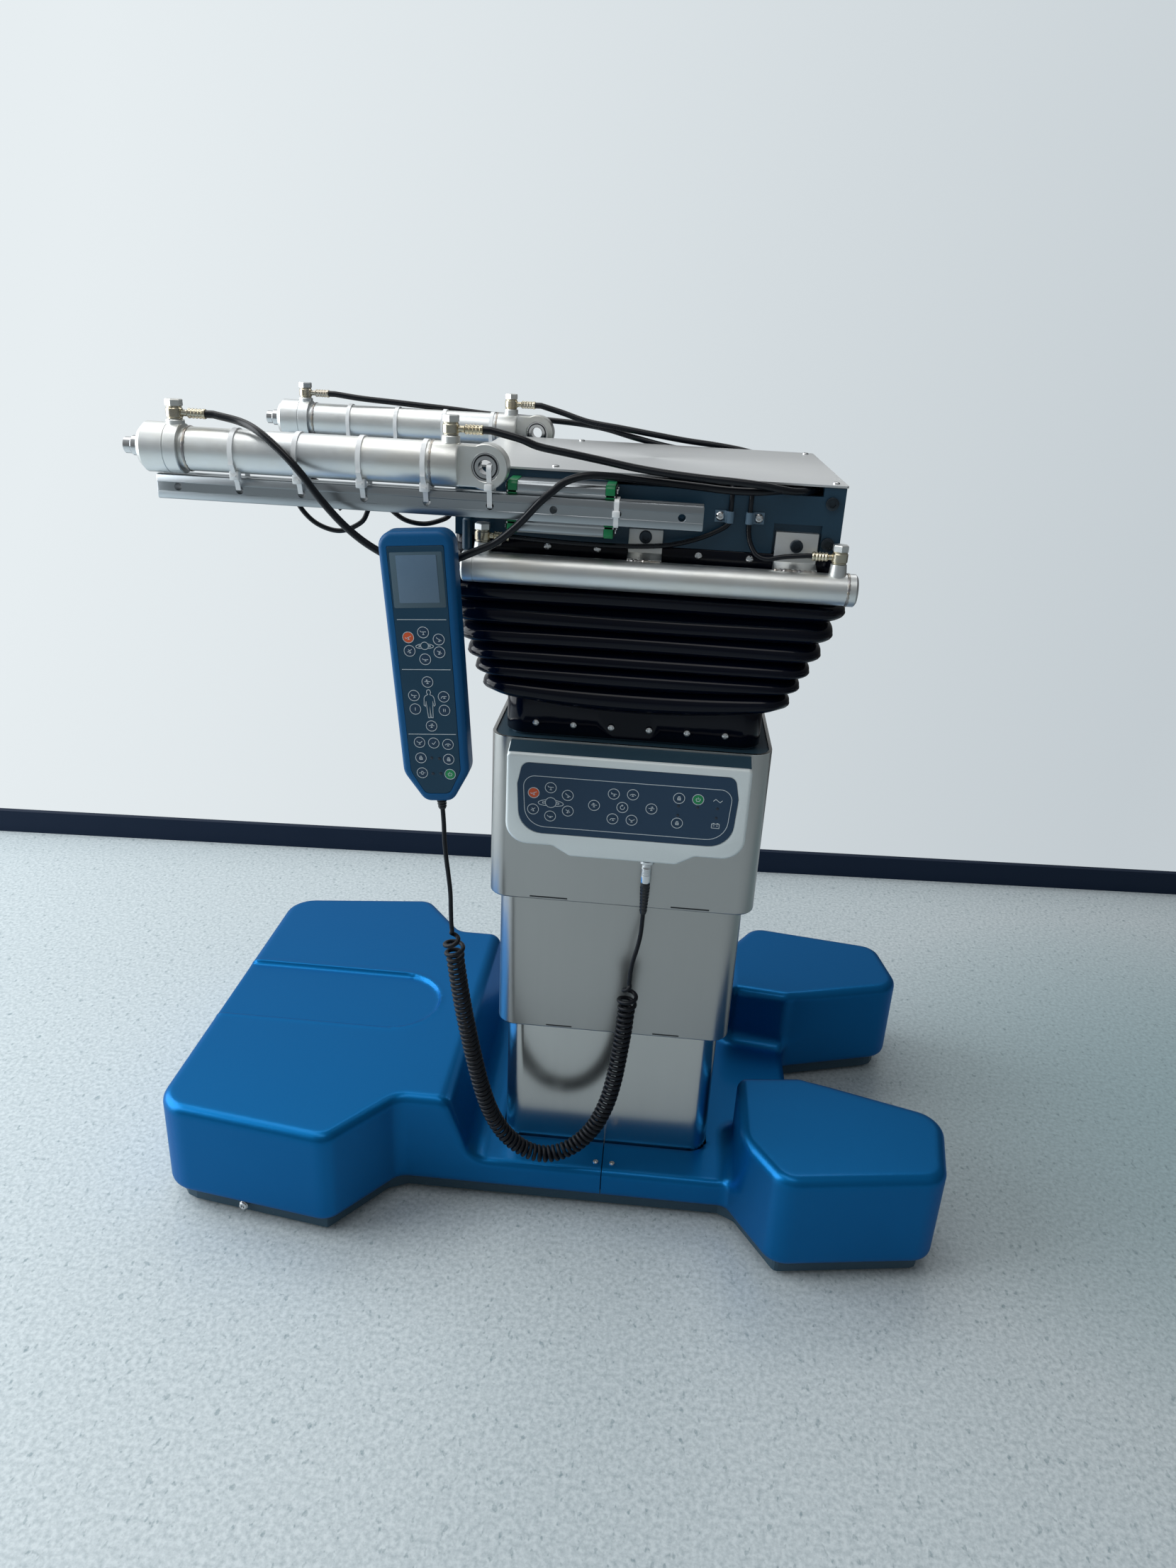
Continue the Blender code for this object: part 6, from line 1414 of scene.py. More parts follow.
class Icon(Enum):
    """Pictograms on the keys, as strokes in a square from -1 to 1."""

    UP = (((-0.8, 0.5), (-0.55, 0.15), (0.8, 0.15)), *stand(0.05, 0.15, -0.6))
    DOWN = (((-0.8, 0.25), (-0.55, -0.1), (0.8, -0.1)), *stand(0.05, -0.1, -0.45))
    HEAD_LOW = (((-0.85, 0.0), (-0.6, -0.3), (0.8, 0.35)), *stand(0.1, 0.0, -0.55))
    HEAD_HIGH = (((-0.6, 0.65), (-0.5, 0.35), (0.75, -0.4)), *stand(0.1, 0.0, -0.55))
    TILT_LEFT = (((-0.6, -0.35), (0.6, 0.4)), *stand(0.1, 0.0, -0.55, (-0.35, 0.35)))
    TILT_RIGHT = (((-0.6, 0.4), (0.6, -0.35)), *stand(-0.1, 0.0, -0.55, (0.35, 0.35)))
    BACK_UP = (
        ((-0.75, 0.45), (-0.35, 0.0), (0.8, 0.0)), ((-0.7, 0.0), (-0.45, 0.0)), *stand(0.15, 0.0, -0.55))
    BACK_DOWN = (((-0.75, -0.45), (-0.35, 0.1), (0.8, 0.1)), *stand(0.15, 0.1, -0.45))
    FLEX = (((-0.8, -0.2), (-0.3, 0.15), (0.3, 0.15), (0.8, -0.2)), *stand(0.0, 0.15, -0.45))
    REFLEX = (((-0.8, 0.4), (-0.3, -0.05), (0.3, -0.05), (0.8, 0.3)), *stand(0.0, -0.05, -0.55))
    SLIDE = sliding(1)
    SLIDE_BACK = sliding(-1)
    LEVEL = (
        ((-0.85, 0.0), (-0.45, 0.0)), ((0.45, 0.0), (0.85, 0.0)),
        ((-0.2, 0.45), (0.2, 0.45), (0.3, 0.0), (0.2, -0.45), (-0.2, -0.45), (-0.3, 0.0), (-0.2, 0.45)))
    ONE = (((0.0, -0.45), (0.0, 0.45)),)
    TWO = both_sides(((0.25, -0.45), (0.25, 0.45)))
    SAVE = (((-0.5, 0.0), (-0.1, -0.4), (0.6, 0.45)),)
    TURN = (
        (
            (0.1, 0.6), (-0.35, 0.5), (-0.6, 0.1), (-0.5, -0.35), (-0.1, -0.6), (0.35, -0.5), (0.6, -0.1),
            (0.5, 0.25)), ((-0.2, 0.85), (0.15, 0.6), (-0.15, 0.3)))
    LOCK = (
        ((-0.4, -0.5), (0.4, -0.5), (0.4, 0.05), (-0.4, 0.05), (-0.4, -0.5)), ((-0.35, -0.22), (0.35, -0.22)),
        ((-0.25, 0.05), (-0.2, 0.5), (0.2, 0.5), (0.25, 0.05)))
    POWER = (
        ((-0.35, 0.4), (-0.6, 0.0), (-0.35, -0.5), (0.35, -0.5), (0.6, 0.0), (0.35, 0.4)),
        ((0.0, 0.0), (0.0, 0.7)))
    WAVE = (((-0.8, -0.1), (-0.4, 0.3), (0.0, 0.0), (0.4, -0.3), (0.8, 0.1)),)
    CELL = (
        ((-0.7, -0.45), (0.7, -0.45), (0.7, 0.35), (-0.7, 0.35), (-0.7, -0.45)), ((-0.5, 0.5), (-0.2, 0.5)),
        ((0.2, 0.5), (0.5, 0.5)), ((-0.45, 0.0), (-0.15, 0.0)), ((0.15, 0.0), (0.45, 0.0)))
    ABOVE = (
        (
            (1.0, 0.0), (0.87, 0.5), (0.5, 0.87), (0.0, 1.0), (-0.5, 0.87), (-0.87, 0.5), (-1.0, 0.0),
            (-0.87, -0.5), (-0.5, -0.87), (0.0, -1.0), (0.5, -0.87), (0.87, -0.5), (1.0, 0.0)),
        *both_sides(
            ((0.87, 0.5), (1.7, 0.3), (2.2, 0.05), (2.3, -0.2), (2.1, -0.45), (1.5, -0.6), (0.75, -0.66)),
            ((1.0, 0.15), (1.5, 0.0), (1.45, -0.25), (0.97, -0.2))))
    FIGURE = (
        (
            (0.15, 1.45), (0.32, 1.75), (0.22, 2.1), (0.0, 2.2), (-0.22, 2.1), (-0.32, 1.75), (-0.15, 1.45),
            (-0.6, 1.2), (-0.75, 0.9), (-0.85, -0.2), (-0.65, -0.4), (-0.5, 0.4), (-0.45, -0.5),
            (-0.35, -2.2), (-0.08, -2.2), (0.0, -0.5), (0.08, -2.2), (0.35, -2.2), (0.45, -0.5), (0.5, 0.4),
            (0.65, -0.4), (0.85, -0.2), (0.75, 0.9), (0.6, 1.2), (0.15, 1.45)),)


@dataclass(frozen=True)
class Key:
    """A printed key: where it is, its pictogram, the colour of its dome, and whether it has a ring."""

    x: float
    z: float
    icon: Icon
    colour: str = "dark"
    ring: bool = True
    scale: float = 1.0


@dataclass
class Keypad:
    """The print, domes and lamps on a membrane; its drawing plane is turned to the face."""

    name: str
    keys: Sequence[Key]
    lamps: Sequence[Flat]
    size: float
    stroke: float
    face: Matrix
    rise: float = 0.00028

    def drawing(self, lines: Sequence[tuple[Sequence[Flat], bool]]) -> Form:
        """Rings, pictograms and lines in white.

        Args:
            lines: printed lines, each with whether it is closed.

        Returns:
            The form.
        """
        form = Form()
        for key in self.keys:
            place = self.face @ Matrix.Translation((key.x, key.z, 0))
            if key.ring:
                circle = [(self.size * cos(a), self.size * sin(a)) for a in np.linspace(0, tau, 33)[:-1]]
                form.ribbon(circle, self.stroke, 0.0, self.rise, closed=True, place=place)
            reach = self.size * (0.66 if key.ring else key.scale)
            for strokes in key.icon.value:
                form.ribbon(
                    [(x * reach, y * reach) for x, y in strokes], self.stroke, 0.0, self.rise, place=place)
        for line, closed in lines:
            form.ribbon(line, self.stroke, 0.0, self.rise, closed=closed, place=self.face)
        return form

    def build(
            self, finishes: Finishes, repeater: Repeater, body: Body,
            lines: Sequence[tuple[Sequence[Flat], bool]]) -> None:
        """Builds the pieces.

        Args:
            finishes: the materials.
            repeater: spreads domes and lamps.
            body: the body that carries them.
            lines: printed lines, each with whether it is closed.
        """
        put(f"{self.name}_print", self.drawing(lines), finishes.white_ink, body)
        out = tuple(self.face.to_3x3() @ Vector((0, 0, 1)))
        inner = self.size - self.stroke / 2
        for colour, finish in (
                ("dark", finishes.dome), ("orange", finishes.orange_ink), ("green", finishes.green_ink)):
            dome = Form().lathe(
                [(-HAIR, inner), (0.0001, inner - 0.0001), (0.0002, inner * 0.8), (0.0002, 0)], 32)
            spots = [
                (tuple(self.face @ Vector((key.x, key.z, 0))), out) for key in self.keys if key.ring
                and key.colour == colour]
            repeater.spread(f"{self.name}_keys_{colour}", dome, finish, spots, body)
        lens = Form().lathe([(-HAIR, 0.0016), (0.0002, 0.0015), (0.0004, 0.0008), (0.00045, 0)], 16)
        spots = [(tuple(self.face @ Vector((x, z, 0))), out) for x, z in self.lamps]
        repeater.spread(f"{self.name}_lamps", lens, finishes.lamp, spots, body)


@dataclass
class ControlPanel:
    """Housing on the upper shell with its membrane keypad, lamps, socket and plug."""

    finishes: Finishes
    repeater: Repeater
    back: float = 0.1642
    face: float = 0.1862
    edge: float = 0.0035
    hood: float = 0.0062
    plug: Flat = (0.026, 0.176)
    outline: tuple[Corner, ...] = (
        (-0.127, 0.49, 0.024), (-0.076, 0.49, 0.01), (-0.057, 0.479, 0.01), (0.057, 0.479, 0.01),
        (0.076, 0.49, 0.01), (0.127, 0.49, 0.024), (0.127, 0.594, 0.005), (-0.127, 0.594, 0.005))
    keypad: tuple[Corner, ...] = (
        (-0.112, 0.5048, 0.026), (0.112, 0.5048, 0.026), (0.115, 0.5602, 0.009), (0.11, 0.5842, 0.009),
        (-0.11, 0.5842, 0.009), (-0.115, 0.5602, 0.009))
    frame_line: tuple[Corner, ...] = (
        (-0.1055, 0.5125, 0.022), (0.1055, 0.5125, 0.022), (0.1085, 0.5605, 0.012), (0.1035, 0.57, 0.012),
        (-0.1035, 0.57, 0.012), (-0.1085, 0.5605, 0.012))
    keys: tuple[Key, ...] = (
        Key(-0.0975, 0.5509, Icon.HEAD_LOW, "orange"), Key(-0.0798, 0.558, Icon.UP),
        Key(-0.0617, 0.5507, Icon.HEAD_HIGH), Key(-0.0977, 0.5322, Icon.TILT_LEFT),
        Key(-0.0794, 0.5256, Icon.DOWN), Key(-0.0609, 0.5329, Icon.TILT_RIGHT),
        Key(-0.0792, 0.5411, Icon.ABOVE, "dark", False), Key(-0.0337, 0.5417, Icon.SLIDE_BACK),
        Key(-0.0138, 0.5563, Icon.BACK_UP), Key(0.0061, 0.5571, Icon.FLEX), Key(-0.004, 0.5418, Icon.TURN),
        Key(-0.0136, 0.5279, Icon.BACK_DOWN), Key(0.0065, 0.528, Icon.REFLEX),
        Key(0.0263, 0.5427, Icon.SLIDE), Key(0.054, 0.5571, Icon.LOCK),
        Key(0.0737, 0.5572, Icon.POWER, "green"), Key(0.054, 0.5288, Icon.LOCK),
        Key(0.0942, 0.5573, Icon.WAVE, "dark", False), Key(0.094, 0.5289, Icon.CELL, "dark", False))
    lamps: tuple[Flat, ...] = (
        (0.0539, 0.5483), (0.0738, 0.5483), (0.0943, 0.5485), (0.054, 0.5377), (0.0939, 0.5379))

    def housing(self) -> Form:
        """The housing, with its hood and the keypad's recess.

        Returns:
            The form.
        """
        middle = (self.outline[0][1] + self.outline[-1][1]) / 2
        depth = self.face - self.back

        def ring(depth_at: float, inset: float) -> list[Point]:
            """An outline at a depth; its upper edge climbs back to the shell's top."""
            rise = self.hood * max(0.0, (self.face - self.edge - depth_at) / (depth - self.edge))
            return [
                (x, -depth_at, z + (rise if z > middle else 0.0)) for x, z in rounded(self.outline, inset)]

        arc = [radians(turn) for turn in (0, 22, 45, 67, 90)]
        rings = [ring(self.back, 0)] + [
            ring(self.face - self.edge * (1 - sin(a)), self.edge * (1 - cos(a))) for a in arc]
        recess = pane(self.keypad, (0.0008 - self.face, -0.0005), (-self.face - OVERRUN, -0.0005))
        return Form().loft(rings).merged(recess, "DIFFERENCE")

    def film(self) -> Form:
        """The membrane, with a soft edge."""
        return pane(self.keypad, (BEDDED - self.face, 0.0), (-self.face, 0.0), (-self.face - PROUD, 0.0003))

    def build(self) -> None:
        """Builds the panel and everything on it."""
        looks = self.finishes
        put("panel_case", self.housing(), looks.silver, Body.UPPER, "panel_housing", sharp=CASE_ANGLE)
        put("panel_film", self.film(), looks.film, Body.UPPER, "panel_keypad")
        # A thin dark sheet on the housing's sloping top is painted shade: the dark reflection of the bellows
        # that overhang it, not a part of its own.
        top, front = self.outline[-1][1], self.edge - self.face
        hood, reach = top + self.hood, self.outline[-2][0] - self.edge / 2
        section = [
            (front, top + 2 * HAIR), (-self.back, hood + 2 * HAIR), (-self.back, hood - HAIR),
            (front, top - HAIR)]
        put(
            "panel_hood", Form().loft([end_ring(section, -reach), end_ring(section, reach)]), looks.plate,
            Body.UPPER)
        face = Matrix.Translation((0, -self.face - PROUD, 0)) @ TO_FRONT
        keypad = Keypad("panel", self.keys, self.lamps, 0.0058, 0.0006, face)
        keypad.build(looks, self.repeater, Body.UPPER, [(rounded(self.frame_line), True)])

    def connector(self) -> list[Item]:
        """The socket below the panel, and the plug with its ribbed boot.

        Returns:
            The plug's pieces.
        """
        x, y = self.plug
        place = at(x, -y, 0)
        socket = Form().lathe(
            [
                (0.4787, 0), (0.4787, 0.0085), (0.4756, 0.0085), (0.4747, 0.0078), (0.4747, 0.0066),
                (0.478, 0.0066), (0.478, 0)], 48, place=place)
        put("panel_connector", socket, self.finishes.bright, Body.UPPER, "panel_socket")
        grip = [(0.4743, 0), (0.4743, 0.0056), (0.47, 0.0056), (0.4692, 0.006)]
        for i in range(5):
            low = 0.4685 - i * 0.0016
            grip += [(low, 0.006), (low - 0.0003, 0.0057), (low - 0.0011, 0.0057), (low - 0.0013, 0.006)]
        grip += [(0.453, 0.006), (0.4515, 0.0056), (0.4515, 0.0)]
        metal = put(
            "plug_metal", Form().lathe(grip[::-1], 48, place=place), self.finishes.bright, Body.UPPER,
            "handset_plug")
        boot = [(0.4125, 0), (0.4125, 0.0034)]
        for i in range(8):
            low = 0.415 + i * 0.004
            radius = 0.0037 + i * 0.00018
            boot += [
                (low, radius), (low + 0.0004, radius + 0.0004), (low + 0.002, radius + 0.0005),
                (low + 0.0024, radius)]
        boot += [(0.4505, 0.0053), (0.4514, 0.005), (0.4514, 0)]
        sleeve = put("plug_boot", Form().lathe(boot, 32, place=place), self.finishes.black, Body.UPPER)
        return [metal, sleeve]


# ---------------------------------------------------------------- bellows and frame

@dataclass
class Bellows:
    """The rubber concertina, in two pieces that share a valley."""

    finishes: Finishes
    ridges: tuple[Flat, ...] = (
        (0.778, 0.205), (0.755, 0.203), (0.731, 0.194), (0.709, 0.185), (0.69, 0.176), (0.673, 0.168),
        (0.659, 0.16))
    fold: float = 0.0105
    round: float = 2.5
    top: float = 0.8077
    band_foot: float = 0.7913
    band: Flat = (0.1872, 0.1542)
    neck: Flat = (0.135, 0.15)
    neck_top: float = 0.6445
    neck_foot: float = 0.6035
    side: float = 0.169
    top_side: float = 0.158
    corner: float = 0.03
    sag: float = 0.012
    sag_from: float = 0.673
    steps: int = 12
    skin: float = 0.0022

    def crests(self) -> list[tuple[float, float, float]]:
        """Every ridge and valley.

        Returns:
            Height, half length and half width of each, from the top down.
        """
        rows = []
        for i, (height, half_x) in enumerate(self.ridges):
            half_y = self.top_side if i == 0 else self.side - 0.0006 * i
            rows.append((height, half_x, half_y))
            if i + 1 < len(self.ridges):
                below, next_x = self.ridges[i + 1]
                rows.append(((height + below) / 2, (half_x + next_x) / 2 - self.fold, half_y - self.fold))
        return rows

    def profile(self) -> list[tuple[float, float, float, float]]:
        """Every ring of the skin.

        Returns:
            Height, half length, half width and corner radius of each, from the top down.
        """
        rings = [
            (self.top, *self.band, 0.012),
            (self.top - 0.0008, self.band[0] + 0.0006, self.band[1] + 0.0006, 0.012),
            (self.band_foot + 0.002, self.band[0] + 0.0006, self.band[1] + 0.0006, 0.013),
            (self.band_foot, self.band[0] - 0.0004, self.band[1] - 0.0004, 0.013),
            (self.band_foot - 0.003, self.band[0] - 0.002, self.band[1] - 0.002, 0.016)]
        rows = [
            (self.band_foot - 0.003, self.band[0] - 0.002, self.band[1] - 0.002), *self.crests(),
            (self.neck_top, *self.neck)]
        for i, (high, low) in enumerate(zip(rows, rows[1:])):
            rising = i % 2 == 1
            for step in range(1, self.steps + 1):
                share = step / self.steps
                out = share ** self.round if rising else 1 - (1 - share) ** self.round
                height = high[0] + (low[0] - high[0]) * share
                corner = self.corner - 0.004 * (high[0] - height) / 0.1
                rings.append(
                    (
                        height, high[1] + (low[1] - high[1]) * out, high[2] + (low[2] - high[2]) * out,
                        max(corner - (0.004 if rising else 0.0), 0.012)))
        rings += [
            (self.neck_top - 0.002, *self.neck, 0.022), (self.neck_foot + 0.001, *self.neck, 0.022),
            (self.neck_foot, self.neck[0] - 0.001, self.neck[1] - 0.001, 0.022)]
        return rings

    def ring(self, height: float, half_x: float, half_y: float, corner: float, inset: float) -> list[Point]:
        """One ring of the skin, with its straight sides bowed a little and cut into short chords.

        Args:
            height: the ring's height.
            half_x: half its length.
            half_y: half its width.
            corner: radius of its corners.
            inset: how far it lies inside the outer side.

        Returns:
            Its points.
        """
        outline = rounded(oblong(half_x, half_y, corner), inset, 7)
        points = []
        for i, (ax, ay) in enumerate(outline):
            bx, by = outline[(i + 1) % len(outline)]
            parts = 12 if hypot(bx - ax, by - ay) > LONG_CHORD else 1
            for part in range(parts):
                share = part / parts
                bow = 0.0016 * sin(pi * share) * sin(height * 130 + ax * 20 + ay * 9)
                x, y = ax + (bx - ax) * share, ay + (by - ay) * share
                out = Vector((x, y)).normalized() * bow
                flat_x, flat_y = (x / half_x) ** 2, (y / half_y) ** 2
                middle = max(0.0, (1 - flat_x) * flat_y, (1 - flat_y) * flat_x)
                hung = min(1.0, max(0.0, (self.sag_from - height) / (self.sag_from - self.ridges[-1][0])))
                hung *= min(
                    1.0, max(0.0, (height - self.neck_foot) / (self.neck_top - self.neck_foot - 0.004)))
                points.append((x + out.x, y + out.y, height - self.sag * middle * hung))
        return points

    def skin_form(self, rows: Sequence[tuple[float, float, float, float]]) -> Form:
        """A closed skin between an outer and an inner side.

        Args:
            rows: height, half length, half width and corner radius of the rings.

        Returns:
            The form.
        """
        outer = [self.ring(*row, 0.0) for row in rows]
        inner = [self.ring(*row, self.skin) for row in rows]
        return Form().loft([*outer, *inner[::-1]], wrap=True)

    def build(self) -> None:
        """Builds both pieces."""
        rows = self.profile()
        valleys = [height for height, half_x, half_y in self.crests()[1::2]]
        split = valleys[2]
        cut = min(range(len(rows)), key=lambda i: abs(rows[i][0] - split))
        low = show("bellows_lower", self.skin_form(rows[cut:]), self.finishes.bellows, FOLD_ANGLE)
        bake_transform(low)
        high = show("bellows_upper", self.skin_form(rows[:cut + 1]), self.finishes.bellows, FOLD_ANGLE)
        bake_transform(high)
        for made in (low, high):
            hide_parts("bellows")
            LOG.info("%s: %d faces", made.name, len(made.data.polygons))


class Fasteners:
    """Shapes of the screws that the repeater spreads."""

    @staticmethod
    def phillips(radius: float, height: float) -> Form:
        """A pan head with a cross recess.

        Args:
            radius: the head's radius.
            height: its height.

        Returns:
            The form.
        """
        head = Form().lathe(
            [
                (-SUNK, 0), (-SUNK, radius), (height * 0.35, radius), (height * 0.72, radius * 0.9),
                (height * 0.93, radius * 0.62), (height, radius * 0.3), (height, 0)], 20)
        reach, arm = radius * 0.62, radius * 0.13
        cross = Form().block((-reach, -arm, height * 0.35), (reach, arm, height + OVERRUN))
        cross = cross.merged(
            Form().block((-arm, -reach, height * 0.35 - HAIR), (arm, reach, height + OVERRUN)))
        return head.merged(cross, "DIFFERENCE")

    @staticmethod
    def hexagonal(radius: float, height: float, rim: Sequence[Flat], across: float, floor: float) -> Form:
        """A round head with a hexagonal socket.

        Args:
            radius: the head's radius.
            height: its height.
            rim: heights and radii up its side, as shares of its own.
            across: half the socket's width, as a share of the radius.
            floor: where the socket ends, as a share of the height.

        Returns:
            The form.
        """
        ways = [(cos(pi * i / 12), sin(pi * i / 12)) for i in range(24)]
        rings = [
            level([(radius * r * x, radius * r * y) for x, y in ways], z) for z,
            r in [(-SUNK, 1.0), *((height * share, r) for share, r in rim)]]
        reach = [across * radius / cos(radians((i * 15 + 30) % 60 - 30)) for i in range(24)]
        hexagon = [(r * x, r * y) for r, (x, y) in zip(reach, ways)]
        rings += [
            level(hexagon, height), level(hexagon, height * floor), [(0.0, 0.0, height * (floor - 0.1))]]
        return Form().loft([[(0.0, 0.0, -SUNK)], *rings])

    @classmethod
    def socket(cls, radius: float, height: float) -> Form:
        """A cap head."""
        return cls.hexagonal(radius, height, ((0.88, 1.0), (1.0, 0.88), (1.0, 0.58)), 0.5, 0.3)

    @classmethod
    def button(cls, radius: float, height: float) -> Form:
        """A domed head."""
        return cls.hexagonal(radius, height, ((0.2, 1.0), (0.6, 0.87), (0.9, 0.64), (1.0, 0.52)), 0.4, 0.35)


@dataclass
class SlideFrame:
    """Dressing of the tilting frame: screws, hose clips, the post, and finishes of its plates."""

    finishes: Finishes
    repeater: Repeater
    side: float = 0.154
    cover_top: float = 0.8753
    band_screws: tuple[float, ...] = (-0.144, -0.095, -0.046, 0.003, 0.0528, 0.1024, 0.151)
    collar_screws: tuple[float, ...] = (-0.1017, -0.062, -0.0223, 0.0175, 0.0572, 0.097)
    cover_screws: tuple[Flat, ...] = (
        (-0.092, -0.135), (0.178, -0.141), (-0.17, 0.141), (-0.09, 0.141), (0.178, 0.141), (-0.176, -0.135))
    socket_screws: tuple[Flat, ...] = ((0.1747, 0.8582), (0.1751, 0.8201))

    def screws(self) -> None:
        """Spreads the screws of the frame, the bellows' band and the collar, and those in the deck."""
        looks, pan = self.finishes, Fasteners.phillips
        band = [
            ((x, side * (self.side + 0.0006), 0.8015), (0, side, 0)) for x in self.band_screws
            for side in SIDES]
        collar = [((x, side * 0.15, 0.616), (0, side, 0)) for x in self.collar_screws for side in SIDES]
        cover = [((x, y, self.cover_top), (0, 0, 1)) for x, y in self.cover_screws]
        flank = [((x, side * self.side, z), (0, side, 0)) for x, z in self.socket_screws for side in SIDES]
        deck = [((x, side * 0.18, 0.0641), (0, 0, 1)) for x in (-0.008, 0.012) for side in SIDES]
        for name, head, finish, places, seed, body in (
                ("band_screws", pan(0.0038, 0.0022), looks.bright, band, 5, Body.SLIDE_FRAME),
                ("collar_screws", pan(0.0036, 0.0022), looks.bright, collar, 8, Body.UPPER),
                ("cover_screws", pan(0.0036, 0.0018), looks.bright, cover, 2, Body.SLIDE_FRAME),
                (
                    "side_socket_screws", Fasteners.socket(0.0062, 0.0035), looks.oxide, flank, 4,
                    Body.SLIDE_FRAME),
                ("deck_screws", pan(0.0034, 0.0018), looks.bright, deck, 6, Body.BASE)):
            self.repeater.spread(name, head, finish, places, body, seed=seed)

    def clip(self, name: str, hose_x: float, screw_x: float, node: str) -> None:
        """One lined clip that holds a thin hose against the side.

        Args:
            name: the piece's name.
            hose_x: where the hose runs down.
            screw_x: where the screw is.
            node: the CAD node that it replaces.
        """
        z, back, hose = 0.8408, -self.side - 0.0003, -self.side - 0.0048
        radius, half, sheet = 0.0029, 0.0055, 0.0012
        toward = 1 if screw_x > hose_x else -1
        loop = [
            (hose_x + toward * radius * cos(a), hose - radius * sin(a))
            for a in np.linspace(-1.2, pi + 0.35, 22)]
        line = [(screw_x + toward * 0.0052, back - sheet / 2), (hose_x + toward * 0.0052, back - sheet / 2)]
        line += [(hose_x + toward * 0.0034, hose - 0.0002)] + loop[5:] + [
            (hose_x - toward * 0.0006, back - sheet / 2)]
        strip = Form().ribbon(line, sheet, -half, half, place=at(0, 0, z))
        put(name, strip, self.finishes.clip, Body.SLIDE_FRAME, node)

    def hardware(self) -> None:
        """The clips with their screws, and the post at the head end."""
        looks = self.finishes
        self.clip("hose_strap_left", 0.0797, 0.0705, "hose_clip_left")
        self.clip("hose_strap_right", 0.0979, 0.1071, "hose_clip_right")
        places = [((x, -self.side - 0.0012, 0.8408), (0, -1, 0)) for x in (0.0705, 0.1071)]
        self.repeater.spread(
            "clip_screws", Fasteners.button(0.0048, 0.0028), looks.bright, places, Body.SLIDE_FRAME)
        post = Form().lathe(
            [(0.7945, 0), (0.7945, 0.0042), (0.7955, 0.005), (0.8235, 0.005), (0.825, 0.0036), (0.825, 0)],
            32, place=at(-0.174, -self.side - 0.0052, 0))
        put("frame_post", post, looks.slate, Body.SLIDE_FRAME)

    def build(self) -> None:
        """Builds the fittings and dresses the frame's plates."""
        self.screws()
        self.hardware()
        dress(self.finishes.slate, "frame_tray", "frame_side_front", "frame_side_rear")
        dress(self.finishes.sheet, "frame_top_cover")


# ---------------------------------------------------------------- rails and cylinders

